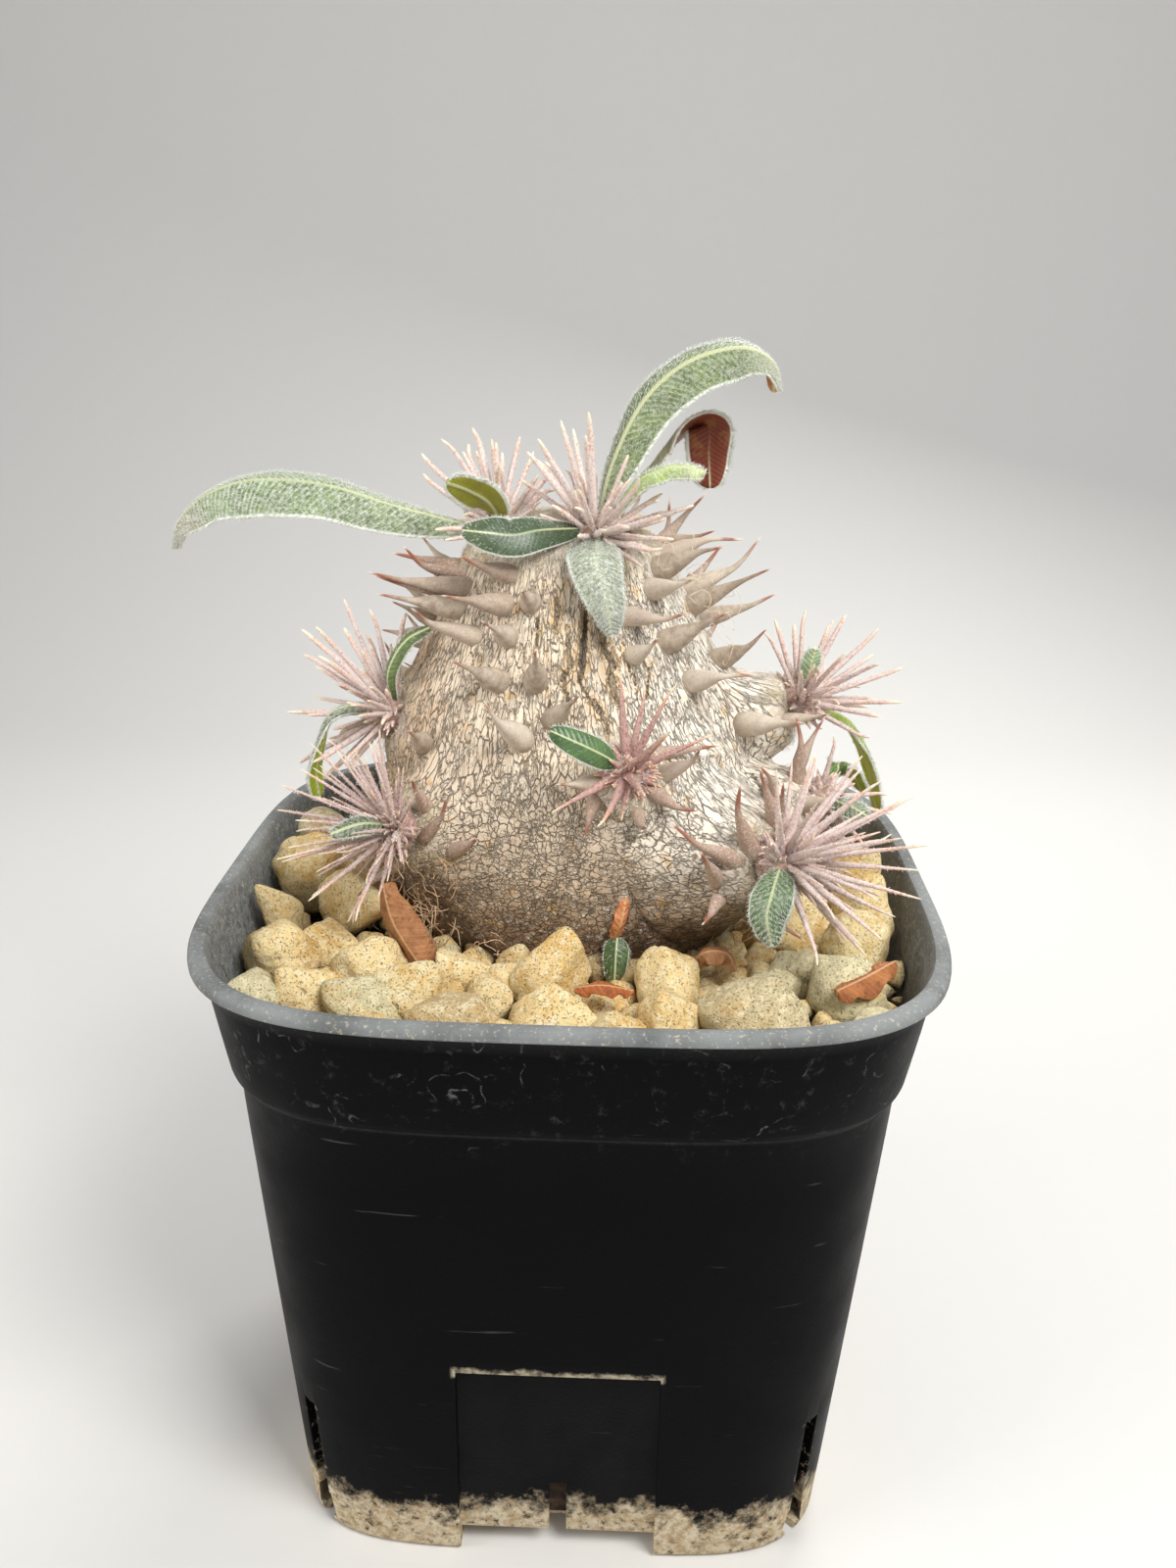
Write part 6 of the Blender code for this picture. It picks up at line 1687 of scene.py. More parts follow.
def add_leaf_hairs(pile, blade, density, woolly, rng, marks):
    """Short hairs in rows beside the side veins, leaning towards the point, and wool along both margins."""
    count = int(float(np.mean(blade.width) * 2 * blade.length) * density)
    u, v = rng.random(count), rng.uniform(-0.97, 0.97, count)
    turns = blade.veins(u, v)
    rows = np.round(turns) + rng.normal(0, 0.17, count)
    u = np.clip(u + (rows - turns) * VEIN_STEP / blade.length, 0.01, 0.995)
    fringe = int(blade.length * 2 * FRINGE_HAIRS * woolly)
    edge_u, edge_v = rng.random(fringe), np.where(rng.random(fringe) < 0.5, -1.0, 1.0)
    edge_v = edge_v * rng.uniform(0.94, 1.0, fringe)
    is_edge = np.arange(count + fringe) >= count
    u, v = np.concatenate([u, edge_u]), np.concatenate([v, edge_v])
    lift = np.where(is_edge, rng.uniform(-0.5, 0.5, len(u)) * 0.6, 0.48) * LEAF_THICKNESS
    place = blade.points(u, v, lift)
    low = np.minimum((u * (blade.stations - 1)).astype(int), blade.stations - 1)
    out = blade.normal[low] * np.where(is_edge, rng.uniform(-0.3, 0.8, len(u)), 0.7)[:, None]
    out = out + blade.side[low] * (np.sign(v) * np.where(is_edge, 1.0, 0.45))[:, None]
    out = out + blade.tangent[low] * rng.uniform(0.2, 1.1, (len(u), 1))
    ways = unit(out + rng.normal(0, 0.22, (len(u), 3)))
    lengths = rng.uniform(0.28, 0.62, len(u)) * np.where(is_edge, 1.1, 1.0)
    points = hair_points(place - ways * 0.05, ways, lengths, np.where(is_edge, 0.045, 0.032))
    pile.add(points, None, HAIR_FACES, along=u, across=v, turns=0.0, rib=0.0, under=0.0, hair=1.0, **marks)


def make_leaf(name, points, half_width, faces, fold, material, density):
    """One leaf with its hairs, and its colours as marks."""
    seed = sum(ord(letter) for letter in name)
    upper, lower, towards, silver, rib_half, woolly, hairy, wave, *ends = LEAF_LOOKS[name]
    ends = (*ends, *LEAF_ENDS[len(ends):])
    blade = Blade(points, half_width, faces, fold, LEAF_ROWS, wave, ends, seed)
    marks = {
        "upper_colour": linear(*upper), "lower_colour": linear(*lower), "tip_colour": linear(*towards),
        "silver": silver, "woolly": woolly,
    }
    pile = Pile()
    add_blade(pile, blade, rib_half, marks)
    if density * hairy > 0:
        add_leaf_hairs(pile, blade, density * hairy, woolly, np.random.default_rng(seed), marks)
    return pile.make(name.replace("leaf", "blade"), material)

# Stones

def keep_inside(points, gap):
    """Points pulled in towards the pot's axis until they clear its inside, and pushed out of the trunk."""
    x, y, z = points[..., 0], points[..., 1], points[..., 2]
    reach = round_reach(x, y, squareness(z))
    share = np.minimum(1.0, (inner_half(z) - gap) / np.maximum(reach, 1e-6))
    x, y, axis = x * share, y * share, trunk_x(z)
    push = np.maximum(1.0, (trunk_radius(z) + 0.35) / np.maximum(np.hypot(x - axis, y - TRUNK_Y), 1e-6))
    push = np.where(z < 100, push, 1.0)
    return np.stack([axis + (x - axis) * push, TRUNK_Y + (y - TRUNK_Y) * push, z], axis=-1)


def back_stones():
    """Stones behind the trunk, which the front doesn't show: a seeded draw, each clear of the last."""
    rng = random.Random(5)
    nearest, farthest = BACK_STONE_PLACES
    placed = [(x, y) for x, y, *_ in STONES]
    for _ in range(4000):
        if len(placed) >= len(STONES) + BACK_STONES:
            break
        x, y = rng.uniform(-37, 37), rng.uniform(BACK_STONE_FROM_Y - 34, 37)
        size = rng.uniform(*BACK_STONE)
        in_front = y < BACK_STONE_FROM_Y and abs(x) < 26
        if in_front or from_trunk(x, y) < nearest or round_reach(x, y, 4) > farthest:
            continue
        if min(math.hypot(x - a, y - b) for a, b in placed) < 0.66 * size:
            continue
        placed.append((x, y))
        z = BED_TOP + 2.0 + rng.uniform(-0.4, 1.6)
        width, height = size * rng.uniform(0.75, 0.95), size * rng.uniform(0.75, 0.95)
        yield x, y, z, size, width, height, rng.uniform(0, 180)


def stacked(rows):
    """The rows of stones, with a second stone under each one that lies high above the bed."""
    for x, y, z, length, width, height, turn in rows:
        yield x, y, z, length, width, height, turn
        if z - BED_TOP + STONE_SINK > 0.8 * height:
            yield 0.98 * x, y - 1.2, z - 0.62 * height, 0.95 * length, 1.1 * width, height, turn + 50


def small_stones(rows):
    """Small stones in the gaps between the others: a seeded draw, each clear of the last."""
    rng = random.Random(21)
    nearest, farthest = SMALL_STONE_PLACES
    placed = [(x, y, (length + width) / 2) for x, y, _, length, width, *_ in rows]
    found = []
    for _ in range(9000):
        x, y, size = rng.uniform(-39, 39), rng.uniform(-39, 39), rng.uniform(*SMALL_STONE)
        if from_trunk(x, y) < nearest or round_reach(x, y, 4) > farthest - size / 2:
            continue
        if min(math.hypot(x - a, y - b) - 0.36 * (size + other) for a, b, other in placed) < 0:
            continue
        placed.append((x, y, size))
        wide, high = size * rng.uniform(0.8, 1.0), size * rng.uniform(0.75, 0.95)
        found.append((x, y, BED_TOP + 0.26 * size, size, wide, high, rng.uniform(0, 180)))
        if len(found) == SMALL_STONES:
            break
    return found


def rounded_rock(ways, planes, far):
    """How far out a stone's surface lies along each way: (sum of (max(way . plane, 0) / far)^p)^(-1 / p).

    That is the nearest of many planes, with their edges rounded by the power p, scaled to reach about 1.
    """
    lean = np.maximum(np.einsum("...wk,...pk->...wp", ways, planes), 0.0) / far[..., None, :]
    reach = (lean**STONE_EDGE).sum(axis=-1) ** (-1 / STONE_EDGE)
    return reach / (0.8 * reach.mean(axis=-1, keepdims=True) + 0.2 * reach.max(axis=-1, keepdims=True))


def scattered_planes(count, stones, rng):
    """The ways of many stones' flat sides: even over the ball by the golden angle, then shaken and turned."""
    index = np.arange(count)
    depth = 1 - 2 * (index + 0.5) / count
    turn = index * GOLDEN_ANGLE + rng.uniform(0, 6.28, (stones, 1))
    ring = np.sqrt(1 - depth**2)
    even = np.stack([ring * np.cos(turn), ring * np.sin(turn), np.broadcast_to(depth, turn.shape)], axis=-1)
    planes = unit(even + rng.normal(0, 0.34, even.shape))
    return planes, rng.uniform(0.80, 1.06, (stones, count))


def stone_points(ways, x, y, z, length, width, height, turn, seed):
    """A rock of flat sides with rounded edges, uneven and pitted, turned, with its foot sunk in the bed."""
    planes, far = scattered_planes(STONE_PLANES, 1, np.random.default_rng(seed))
    rock = ways * rounded_rock(ways, planes[0], far[0])[:, None] * np.array([length, width, height]) / 2
    nearest, _ = cell_noise(rock + seed, 1.0, seed)
    pits = eased(nearest, 0.34, 0.10) * eased(value_noise(rock + seed, 2.4, seed), 0.45, 0.7)
    coarse, fine = STONE_BUMPS
    rough = coarse * fractal(rock + seed * 3, 2.6, seed, 3) + fine * fractal(rock, 0.8, seed + 5, 2)
    place = rock + ways * (rough - PIT_DEPTH * pits)[:, None]
    foot = min(1.25, max(1.0, (z - BED_TOP + STONE_SINK) / (height / 2)))
    place[:, 2] *= np.where(place[:, 2] < 0, foot, 1.0)
    turned = turned_round(place, np.radians([turn]))[0]
    return turned + np.array([x, y, z]), pits


def make_stones(name, rows, steps, material):
    """Pumice stones, each a ball of that many steps a side."""
    pile = Pile()
    ways, quads = ball_grid(steps)
    rng = np.random.default_rng(17)
    for seed, row in enumerate(rows):
        points, pits = stone_points(ways, *row, seed + 1)
        points = keep_inside(points, STONE_GAP)[None]
        pile.add(points, quads, None, pit=pits[None], tone=rng.random(), shade=rng.random() ** 2)
    return pile.make(name, material)


def make_soil_and_gap_shade_bed(material):
    """The dark bed between the stones, potting mix and painted shade in the gaps: a ring swept round the
    trunk, its top uneven.
    """
    angle = 2 * np.pi * np.arange(BED_TURNS) / BED_TURNS
    out = np.stack([np.cos(angle), np.sin(angle)], axis=-1)
    share = np.linspace(0, 1, BED_SPANS)[None, :, None]
    inner = (TRUNK_FOOT_X, TRUNK_Y) + BED_INSIDE * out
    reach = round_reach(*out.T, squareness(BED_TOP))
    outer = out * ((inner_half(np.array(BED_TOP)) - 0.6) / reach)[:, None]
    across = inner[:, None] * (1 - share) + outer[:, None] * share
    top = np.concatenate([across, np.full((BED_TURNS, BED_SPANS, 1), BED_TOP - 0.6)], axis=-1)
    nearest, _ = cell_noise(top, 1.6, 23)
    top[..., 2] += 0.9 * (0.5 - nearest) + 0.5 * fractal(top, 4.0, 29)
    bottom = np.concatenate([across[:, [-1, 0]], np.full((BED_TURNS, 2, 1), SOIL_TOP + 0.3)], axis=-1)
    ring = keep_inside(np.concatenate([top, bottom], axis=1), 0.5)
    columns = ring.shape[1]
    a, b = (np.roll(np.arange(BED_TURNS), -step)[:, None] * columns for step in (0, 1))
    j, k = (np.roll(np.arange(columns), -step) for step in (0, 1))
    quads = np.stack([a + j, a + k, b + k, b + j], axis=-1).reshape(-1, 4)
    return one_surface("bed", ring.reshape(1, -1, 3), quads, None, material)


def make_grit(material):
    """Small stones and chips on the bed: rocks of a few flat sides, seeded."""
    rng = np.random.default_rng(17)
    x, y = rng.uniform(-41, 41, (2, PEBBLES))
    clear = from_trunk(x, y) > PEBBLE_FROM_TRUNK
    x, y = x[clear], y[clear]
    size = PEBBLE_SIZE[0] + PEBBLE_SIZE[1] * rng.random(len(x)) ** 2
    ways, quads = ball_grid(4)
    planes, far = scattered_planes(PEBBLE_PLANES, len(x), rng)
    shapes = ways[None] * rounded_rock(ways[None], planes, far)[..., None]
    uneven = fractal(shapes * 1.6 + rng.uniform(0, 50, (len(x), 1, 3)), 1.0, 5, 2)
    shapes = shapes * (1 + 0.10 * uneven)[..., None]
    stretch = rng.uniform(0.7, 1.15, (len(x), 1, 3)) * size[:, None, None] / 2
    centre = np.stack([x, y, BED_TOP - 0.4 + size * 0.32 + rng.uniform(0, 1.0, len(x))], axis=-1)
    points = keep_inside(shapes * stretch + centre[:, None], STONE_GAP)
    marks = {"pit": 0.0, "tone": rng.random(len(x)), "shade": rng.random(len(x)) ** 2}
    return one_surface("grit", points, quads, None, material, **marks)

# Finishes

def plastic_material(look):
    """Black moulded plastic: chalky grey rim and inside, thin water marks, and a tan crust on the feet."""
    f = Finish("Black plastic")
    lip, inside = f.mark("lip"), f.mark("inside")
    across, deep, height = f.axes(POT_AT / MM)
    across, deep = abs(across), abs(deep)
    chalk, broad = f.noise(1.1, 5.0, 0.75), f.noise(9.0, 4.0, 0.6)
    worn = lip * broad.ease(0.25, 0.65, 0.5, 0.98)
    worn = worn.most(inside * chalk.ease(0.30, 0.66, 0.35, 0.9))
    specks = lip.most(inside) * f.patches(0.5, 4.0, 0.7, 0.56, 0.66)
    band = height.ease(60.0, 68.0)
    rings = abs(f.noise(7.0) - 0.5).ease(0.010, 0.002) * broad.ease(0.48, 0.62) * chalk.ease(0.46, 0.58)
    scratches = f.patches(1.0, 3.0, 0.6, 0.70, 0.76, f.millimetres((14.0, 14.0, 0.8)))
    smudges = f.patches(2.2, 5.0, 0.75, 0.56, 0.74)
    marks = (rings * band).most(scratches * 0.4, smudges * band * 0.35)
    from_ledge = abs(height - PANEL_TOP) - f.noise(2.6, 4.0, 0.7) * 2.6
    in_panel = across.math("MINIMUM", deep).ease(PANEL_HALF + 0.7, PANEL_HALF)
    dust = from_ledge.ease(-0.4, -1.3) * in_panel * chalk.ease(0.30, 0.60, 0.1, 0.75)
    slit = height.ease(CORNER_SLIT_TOP + 0.6, CORNER_SLIT_TOP) * abs(across - deep).ease(2.5, 1.7)
    ragged = height - f.noise(4.5, 5.0, 0.7) * 14.0
    crust = ragged.ease(1.6, -1.6) * chalk.ease(0.30, 0.50)
    crust = crust.most(slit * chalk.ease(0.56, 0.68))
    earth = f.paint(look.mineral, (f.patches(1.0, 5.0, 0.7, 0.36, 0.66), look.earth))
    colour = f.paint(
        look.plastic, (worn, look.scuffed), (specks * 0.55, look.mineral), (marks * 0.40, look.scuffed),
        (dust, look.mineral), (crust, earth),
    )
    grain = crust * 2.0 + f.noise(0.35, 3.0)
    rough = worn.most(crust, broad.ease(0.3, 0.7, 0.40, 0.52))
    return f.done(colour, rough, specular=0.05, Normal=f.relief(grain, 0.06, 0.5))


def bark_material(look):
    """Pale bark: warm painted shade on the left, near white painted light on the right, brown at its foot,
    felted at the crown and tips.

    Three nets of cracks lie on the trunk's side, which the flow mark unrolls: wavy upright lines above and
    a net of cells below, each kept to patches. The deep fissures in front are grey and black with tan lips.
    """
    f = Finish("Bark")
    flow, felt = f.mark("flow", "Vector"), f.mark("felt")
    across, _, height = f.axes()
    drift = f.noise(8.0, 3.0) * 18.0 - 9.0
    streaks = f.noise(0.9, 5.0, 0.75, flow)
    mottle = ((f.noise(4.0, 4.0) - 0.5) * 2.4 + 0.5).most(0.0).math("MINIMUM", 1.0)
    felted = f.paint(look.felt, (f.patches(3.5, 3.0, 0.5, 0.45, 0.65), look.moss))
    colour = f.paint(
        # Painted light: the right side, which faces the key light, is painted near white, and the left side
        # is painted warmer as shade.
        look.middle,
        ((across + drift).ease(4.0, 15.0), look.pale),
        ((across + drift).ease(-10.0, -22.0) * 0.8, look.warm),
        ((height + drift * 0.7).ease(92.0, 74.0) * 0.8, look.low),
        ((height + drift * 0.4).ease(88.0, 74.0) * 0.95, look.foot),
        (mottle * 0.30, look.warm),
        (streaks.ease(0.50, 0.32) * 0.75, look.chalk),
        (f.patches(2.6, 3.0, 0.5, 0.60, 0.72) * 0.5, look.stain),
        (felt * 0.75, felted),
    )
    broken = f.noise(1.7, 3.0, 0.6)
    coarse, medium, fine = (
        f.effect("Crack lines", Place=flow, Size=size, Width=width, Wander=wander)
        for size, width, wander in ((0.95, 0.07, 0.8), (0.62, 0.058, 0.6), (0.38, 0.046, 0.4))
    )
    fine = fine * f.patches(2.3, 3.0, 0.6, 0.44, 0.58) * 0.7
    lines = (coarse * broken.ease(0.42, 0.52)).most(medium * broken.ease(0.56, 0.44), fine)
    lines = (lines * (felt * -0.55 + 1.0)).most(f.mark("crack") * 0.4)
    ragged = f.noise(0.5, 4.0, 0.7) * 0.5 - 0.25
    inside = (f.mark("fissure") + ragged).ease(0.38, 0.52) * 0.86
    depth = f.paint(
        look.dark, (f.patches(0.28, 4.0, 0.8, 0.38, 0.60), look.grey), (f.mark("black"), look.black)
    )
    colour = f.paint(colour, (lines * 0.74, look.dark), (f.mark("lip") * 0.55, look.stain), (inside, depth))
    flakes = f.relief(streaks * 0.8 - lines, 0.42, 0.9)
    grain = f.noise(0.32, 5.0, 0.75, flow)
    return f.done(colour, 0.9, Normal=f.relief(grain, 0.10, 0.6, Normal=flakes))


def thorn_material(look):
    """A thorn: grey-beige swollen foot with fine lines down it, brown and then cream towards its point.

    Slender ones are reddish for more of their length. Shade is painted at the foot, where a thorn meets the
    bark.
    """
    f = Finish("Thorn")
    along, tone, slender = (f.mark(name) for name in ("along", "tone", "slender"))
    patch, lines = f.noise(1.2, 4.0, 0.6), f.noise(0.24, 5.0, 0.7)
    reach = along + patch * 0.22 + slender * 0.14
    wool = slender * f.patches(0.25, 4.0, 0.7, 0.46, 0.66) * 0.45 * along.ease(0.8, 0.5)
    colour = f.paint(
        look.body,
        (patch.ease(0.35, 0.65), look.shade),
        (tone.ease(0.4, 1.0) * 0.6, look.light),
        (slender * 0.85, look.mauve),
        (reach.ease(0.80, 1.04) * 0.9, look.point),
        ((along + tone * 0.08).ease(0.93, 1.02) * 0.7, look.light),
        # Painted shade where the thorn meets the bark.
        (along.ease(0.10, -0.06) * 0.55, look.shade),
        (wool, look.light),
        (lines.ease(0.53, 0.72) * 0.55, look.mark),
    )
    return f.done(colour, 0.75, Normal=f.relief(lines, 0.10, 0.6))


def needle_material(look):
    """Young needles, mauve or reddish below and cream to orange at the tip, spotted with near-white wool."""
    f = Finish("Young needle")
    along, tone, wool, red = (f.mark(name) for name in ("along", "tone", "wool", "red"))
    bloom = f.patches(0.35, 4.0, 0.7, 0.34, 0.54) * (red * -0.45 + 0.70)
    felt = f.paint(look.felt, (f.patches(0.8, 4.0, 0.7, 0.40, 0.60), look.shade))
    colour = f.paint(
        look.stem,
        (red, look.red),
        ((along + tone * 0.2).ease(0.70, 1.05), look.orange),
        ((along + tone * 0.1).ease(0.90, 1.02), look.point),
        (bloom, look.wool),
        (f.patches(0.6, 3.0, 0.6, 0.54, 0.72) * 0.42, look.shade),
        (wool, look.wool),
        (along.ease(-0.2, -0.8), felt),
    )
    return f.done(colour, 0.8, Normal=f.relief(f.noise(0.2, 3.0), 0.06, 0.6))


def hair_material(name, first, second):
    """Loose hairs or fibres of two colours."""
    f = Finish(name)
    return f.done(f.paint(first, (f.patches(3.0, 2.0, 0.5, 0.35, 0.65), second)), 0.7)


def leaf_material(look):
    """A leaf with its own colours: pale midrib, herringbone side veins, woolly margins and silver bloom."""
    f = Finish("Leaf")
    names = ("along", "across", "turns", "rib", "under", "hair", "silver", "woolly")
    along, across, turns, rib, below, hair, silver, woolly = (f.mark(name) for name in names)
    upper, lower, towards = (f.mark(name + "_colour", "Color") for name in ("upper", "lower", "tip"))
    furrow = (turns * (2 * math.pi)).math("COSINE").ease(0.0, 1.0) * silver.ease(-0.1, 0.7)
    patch, fine = f.noise(2.4, 4.0, 0.6), f.noise(0.45, 4.0, 0.7)
    face = f.paint(
        upper,
        ((along + patch * 0.3).ease(0.80, 1.10), towards),
        (patch.ease(0.35, 0.65) * 0.5, look.deep),
        (furrow * 0.12, look.midrib),
        ((fine + furrow * 0.10).ease(0.40, 0.75) * silver, look.hair),
    )
    back = f.paint(
        lower,
        (patch.ease(0.50, 0.62) * 0.6, towards),
        (fine.ease(0.54, 0.72) * 0.2, look.deep),
        (furrow * 0.12, look.midrib),
    )
    edge = (abs(across) + woolly * 0.06).ease(0.94, 1.02)
    colour = f.paint(
        face, (below, back), (rib.ease(0.3, 0.75) * 0.92, look.midrib), (edge, look.hair), (hair, look.hair)
    )
    rough = silver.ease(0.0, 0.6, 0.32, 0.62)
    return f.done(colour, rough, Normal=f.relief(fine * 0.9 - furrow * 0.8, 0.08, 0.6))


def dry_leaf_material():
    """A dead leaf: brown to orange with darker blotches and paler ribs."""
    f = Finish("Dry leaf")
    dark, pale = linear(96, 52, 24), linear(222, 184, 134)
    wave = (f.mark("turns") * (2 * math.pi)).math("COSINE")
    colour = f.paint(
        f.mark("upper_colour", "Color"),
        (f.patches(1.8, 4.0, 0.6, 0.35, 0.65), f.mark("tip_colour", "Color")),
        (f.patches(1.1, 4.0, 0.7, 0.54, 0.66) * 0.65, dark),
        (wave.ease(0.6, 1.0) * 0.12, pale),
        (f.mark("rib").ease(0.4, 0.9) * 0.6, pale),
    )
    return f.done(colour, 0.62, Normal=f.relief(f.noise(0.8, 5.0, 0.7), 0.45, 0.9))


def stone_material(look):
    """Pumice: cream with yellow and brown stains, some greener, fine pores and pits."""
    f = Finish("Pumice")
    tone, pit, shade = (f.mark(name) for name in ("tone", "pit", "shade"))
    specks = f.effect("Speckle", Size=0.55, Share=0.35, Radius=0.30) * 0.8
    pores = (f.patches(0.26, 3.0, 0.7, 0.57, 0.66) * 0.8).most(specks, pit.ease(0.3, 0.9) * 0.7)
    colour = f.paint(
        look.cream,
        (tone.ease(0.20, 0.10) * 0.75, look.green),
        ((f.noise(5.5, 4.0, 0.6) + tone * 0.16).ease(0.50, 0.76) * 0.85, look.ochre),
        (shade.ease(0.60, 0.95) * 0.55, look.grey),
        (f.patches(1.3, 5.0, 0.7, 0.44, 0.66) * 0.7, look.pale),
        (pores * 0.72, look.pore),
    )
    return f.done(colour, 0.92, Normal=f.relief(f.noise(0.35, 4.0, 0.7) - pores, 0.34, 0.9))


def soil_material(look):
    """Potting mix: dark crumbs with browner ones."""
    f = Finish("Potting mix")
    crumb = f.noise(1.2, 5.0, 0.7)
    colour = f.paint(look.soil, (crumb.ease(0.35, 0.7), linear(92, 70, 52)))
    return f.done(colour, 0.95, Normal=f.relief(crumb, 0.8, 0.8))


def floor_material(look):
    """Plain paper with faint flecks."""
    f = Finish("Studio paper")
    return f.done(f.paint(look.floor, (f.patches(3.0, 3.0, 0.5, 0.3, 0.7) * 0.03, (0.5, 0.5, 0.5))), 0.85)

# What the operators share while they run

class Workshop:
    """The trunk's skin, the places already taken and the thorns kept, which later pieces need."""

    skin = None
    taken = None
    shown = ()


def settings(name):
    """What the user has set for one kind of piece."""
    return getattr(bpy.context.scene, "pachypodium_" + name)


class PACHYPODIUM_OT_effects(bpy.types.Operator):
    """Build the node groups that several finishes share"""

    bl_idname = "pachypodium.effects"
    bl_label = "Shared effects"

    def execute(self, context):
        build_patches()
        build_cracks()
        build_speckle()
        return {"FINISHED"}


class PACHYPODIUM_OT_pot(bpy.types.Operator):
    """Finish the pot and the soil in it"""

    bl_idname = "pachypodium.pot"
    bl_label = "Pot and soil"

    def execute(self, context):
        keep_piece(make_pot(plastic_material(settings("pot"))), "black_plastic", "pot")
        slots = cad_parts["soil"].data.materials
        slots.clear()
        slots.append(soil_material(settings("stones")))
        return {"FINISHED"}


class PACHYPODIUM_OT_trunk(bpy.types.Operator):
    """Build the bark, and choose the old thorns that the front shows"""

    bl_idname = "pachypodium.trunk"
    bl_label = "Trunk"

    def execute(self, context):
        bark, skin = make_trunk(bark_material(settings("bark")))
        keep_piece(bark, "grey_bark", "caudex")
        Workshop.skin, Workshop.taken = skin, Clearance()
        for tip, points, half_width, faces, fold in LEAVES.values():
            blade = Blade(rooted(tip, points), half_width, faces, fold, 24)
            u, v = np.meshgrid(np.linspace(0, 1, 24), np.linspace(-1, 1, 9), indexing="ij")
            Workshop.taken.add(blade.points(u, v, np.zeros_like(u)), CLEAR_OF_LEAF)
        Workshop.shown = choose_thorns(shown_thorns(skin), Workshop.taken, False)
        return {"FINISHED"}


class PACHYPODIUM_OT_tips(bpy.types.Operator):
    """Build the woolly growing tips, the thorns that stand clear of them, and the loose hairs"""

    bl_idname = "pachypodium.tips"
    bl_label = "Growing tips and thorns"

    def execute(self, context):
        look, bark, skin = settings("needles"), settings("bark"), Workshop.skin
        material = needle_material(look)
        for index, name in enumerate(TIPS):
            tip = make_tip(name, skin, Workshop.taken, 20 + index, material, look.hairs)
            keep_piece(tip, "mauve_needle", "tip_" + name)
        sites = Workshop.shown + choose_thorns(ruled_thorns(skin), Workshop.taken, True)
        thorns = make_thorns(sites, thorn_material(settings("thorns")), settings("thorns").sides)
        keep_piece(thorns, "grey_bark")
        hair = hair_material("Pale hair", look.wool, look.point)
        fibre = hair_material("Root fibre", bark.low, bark.warm)
        rng = np.random.default_rng(31)
        keep_piece(felt_hairs(bpy.data.objects["bark"], hair, rng), "mauve_needle")
        curled = curls("curled_hairs", CURLED_HAIRS, (3.2, 5.6), 2.0, 0.035, skin, hair, rng)
        keep_piece(curled, "mauve_needle")
        rows = []
        for count, height, turn, radius in FIBRES:
            rows += zip(*(rng.uniform(*span, count) for span in (height, turn, radius)))
        keep_piece(curls("fibres", rows, (0.8, 2.4), 0.5, 0.055, skin, fibre, rng), "grey_bark")
        return {"FINISHED"}


class PACHYPODIUM_OT_leaves(bpy.types.Operator):
    """Build the leaves with their hairs, and the dry leaves on the stones"""

    bl_idname = "pachypodium.leaves"
    bl_label = "Leaves"

    def execute(self, context):
        look = settings("leaves")
        fresh, dry = leaf_material(look), dry_leaf_material()
        for name, (tip, points, *shape) in LEAVES.items():
            slot = "silver_leaf" if name == "leaf_crown_silver" else "green_leaf"
            keep_piece(make_leaf(name, rooted(tip, points), *shape, fresh, look.hairs), slot, name)
        for name, row in DRY_LEAVES.items():
            stands_for = (name,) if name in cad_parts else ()
            keep_piece(make_leaf(name, *row, dry, 0.0), "brown_leaf", *stands_for)
        return {"FINISHED"}


class PACHYPODIUM_OT_stones(bpy.types.Operator):
    """Build the pumice stones and the grit between them"""

    bl_idname = "pachypodium.stones"
    bl_label = "Stones"

    def execute(self, context):
        material = stone_material(settings("stones"))
        front, back = list(stacked(STONES)), list(stacked(back_stones()))
        keep_piece(make_stones("stones", front, STONE_STEPS, material), "pumice_stone", "gravel")
        others = back + small_stones(front + back)
        keep_piece(make_stones("other_stones", others, STONE_STEPS // 2, material), "pumice_stone")
        keep_piece(make_grit(material), "pumice_stone")
        # The bed's dark potting mix is also painted shade in the gaps between the stones.
        keep_piece(make_soil_and_gap_shade_bed(soil_material(settings("stones"))), "potting_mix")
        return {"FINISHED"}


def sweep_floor(material):
    """A pale sheet that runs level under the pot, curves up behind it and goes on as a wall."""
    bend = np.linspace(0, np.pi / 2, 24)
    y = np.concatenate([[-900.0], 300.0 + SWEEP_RADIUS * np.sin(bend), [300.0 + SWEEP_RADIUS]])
    z = np.concatenate([[0.0], SWEEP_RADIUS * (1 - np.cos(bend)), [SWEEP_HEIGHT]])
    x = np.linspace(-SWEEP_HALF, SWEEP_HALF, 9)
    points = np.stack(np.broadcast_arrays(x[:, None], y[None, :], z[None, :]), axis=-1).reshape(-1, 3)
    quads = grid_quads((np.arange(len(x) - 1)[:, None] * len(y) + np.arange(len(y) - 1)).reshape(-1), len(y))
    floor = make_object("studio_sweep", points, quads, np.zeros((0, 3), int), {}, material)


def add_light(name, place, aim, power, size, colour):
    """A square area light that looks from its place at its aim, both in millimetres about the pot."""
    lamp = bpy.data.lights.new(name, "AREA")
    lamp.energy, lamp.size, lamp.color = power, size * MM, colour
    light = bpy.data.objects.new(name, lamp)
    place, aim = (Vector(np.array(point) * MM + POT_AT) for point in (place, aim))
    light.location = place
    light.rotation_euler = (aim - place).to_track_quat("-Z", "Y").to_euler()
    bpy.context.scene.collection.objects.link(light)


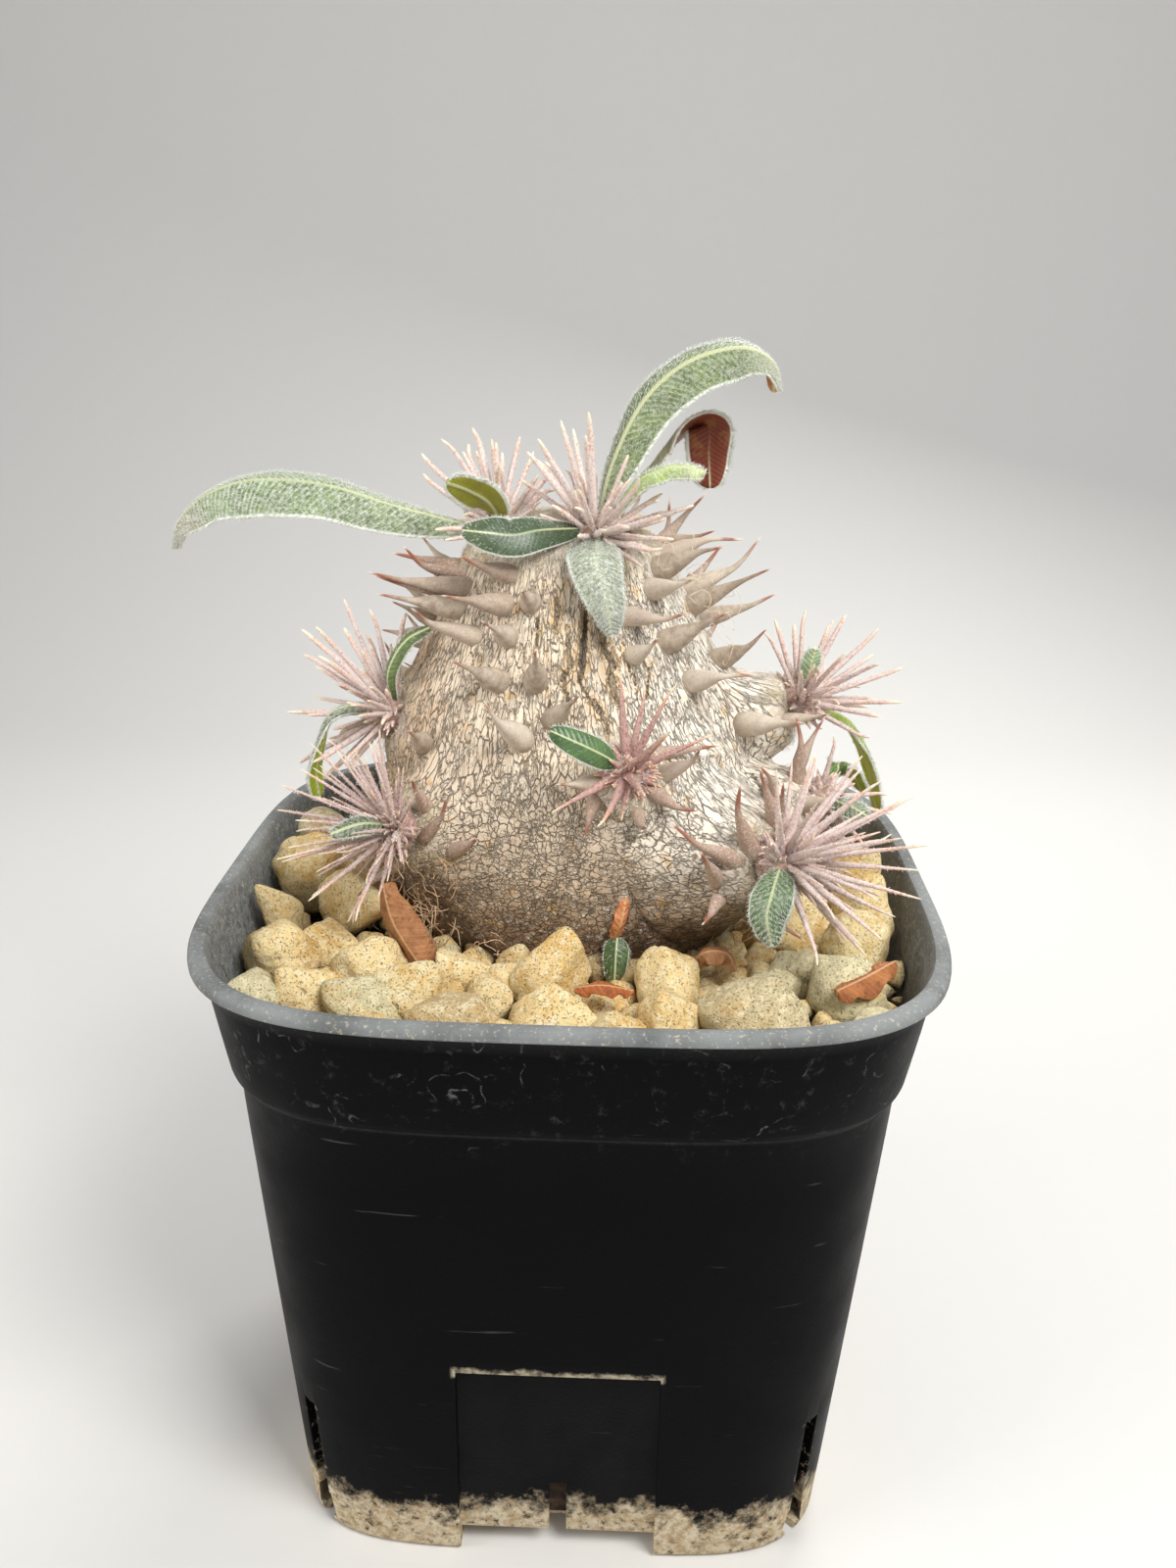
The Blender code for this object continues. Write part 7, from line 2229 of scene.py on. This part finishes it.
def add_camera(lens):
    """The photograph's view: turned and dipped towards the trunk, and rolled a little."""
    side, down = CAMERA_TURN, CAMERA_DIP
    back = Vector((math.sin(side) * math.cos(down), -math.cos(side) * math.cos(down), math.sin(down)))
    right = Vector((0.0, 0.0, 1.0)).cross(back).normalized()
    up = back.cross(right)
    c, s = math.cos(CAMERA_ROLL), math.sin(CAMERA_ROLL)
    turn = Matrix((right * c + up * s, up * c - right * s, back)).transposed().to_4x4()
    data = bpy.data.cameras.new("camera")
    data.lens, data.sensor_width, data.sensor_fit = lens, 36.0, "AUTO"
    data.clip_start = 0.01
    camera = bpy.data.objects.new("camera", data)
    camera.matrix_world = Matrix.Translation(Vector(np.array(CAMERA_AT) * MM + POT_AT)) @ turn
    bpy.context.scene.collection.objects.link(camera)
    bpy.context.scene.camera = camera


class PACHYPODIUM_OT_stage(bpy.types.Operator):
    """Set the pale floor, the soft lights and the camera"""

    bl_idname = "pachypodium.stage"
    bl_label = "Studio"

    def execute(self, context):
        look = settings("stage")
        scene = context.scene
        scene.view_settings.view_transform = "Standard"
        sweep_floor(floor_material(look))
        add_light("key", (190, -240, 420), (0, 0, 80), look.key, 200, (1.0, 0.985, 0.96))
        add_light("fill", (-380, -200, 190), (0, 0, 80), look.fill, 260, (1.0, 0.96, 0.91))
        add_light("rim", (120, 330, 330), (0, 0, 90), look.fill * 1.25, 200, (1.0, 0.98, 0.95))
        world = bpy.data.worlds.new("Soft light")
        world.use_nodes = True
        sky = world.node_tree.nodes["Background"]
        sky.inputs["Color"].default_value = (0.93, 0.95, 1.0, 1.0)
        sky.inputs["Strength"].default_value = look.sky
        scene.world = world
        add_camera(look.lens)
        return {"FINISHED"}


class PACHYPODIUM_PT_panel(bpy.types.Panel):
    """The pieces in the order in which they are built, with their settings"""

    bl_idname = "PACHYPODIUM_PT_panel"
    bl_label = "Potted pachypodium"
    bl_space_type = "VIEW_3D"
    bl_region_type = "UI"
    bl_category = "Pachypodium"

    def draw(self, context):
        for operator in OPERATORS:
            self.layout.operator(operator.bl_idname)
        for name in LOOKS:
            box = self.layout.box()
            box.label(text=name.capitalize())
            for setting in settings(name).bl_rna.properties:
                if not setting.is_readonly and setting.identifier != "name":
                    box.prop(settings(name), setting.identifier)


LOOKS = {
    "pot": PotLook, "bark": BarkLook, "thorns": ThornLook, "needles": NeedleLook, "leaves": LeafLook,
    "stones": StoneLook, "stage": StageLook,
}
OPERATORS = (
    PACHYPODIUM_OT_effects, PACHYPODIUM_OT_pot, PACHYPODIUM_OT_trunk, PACHYPODIUM_OT_tips,
    PACHYPODIUM_OT_leaves, PACHYPODIUM_OT_stones, PACHYPODIUM_OT_stage,
)


def register():
    """Adds the settings, operators and panel to Blender."""
    for kind in (*LOOKS.values(), *OPERATORS, PACHYPODIUM_PT_panel):
        bpy.utils.register_class(kind)
    for name, kind in LOOKS.items():
        setattr(bpy.types.Scene, "pachypodium_" + name, PointerProperty(type=kind))


def unregister():
    """Takes them away again."""
    for name in LOOKS:
        delattr(bpy.types.Scene, "pachypodium_" + name)
    for kind in (PACHYPODIUM_PT_panel, *reversed(OPERATORS), *reversed(LOOKS.values())):
        bpy.utils.unregister_class(kind)


def main():
    """Builds every piece with its operator."""
    register()
    for operator in OPERATORS:
        group, name = operator.bl_idname.split(".")
        getattr(getattr(bpy.ops, group), name)()


if __name__ == "__main__":
    main()
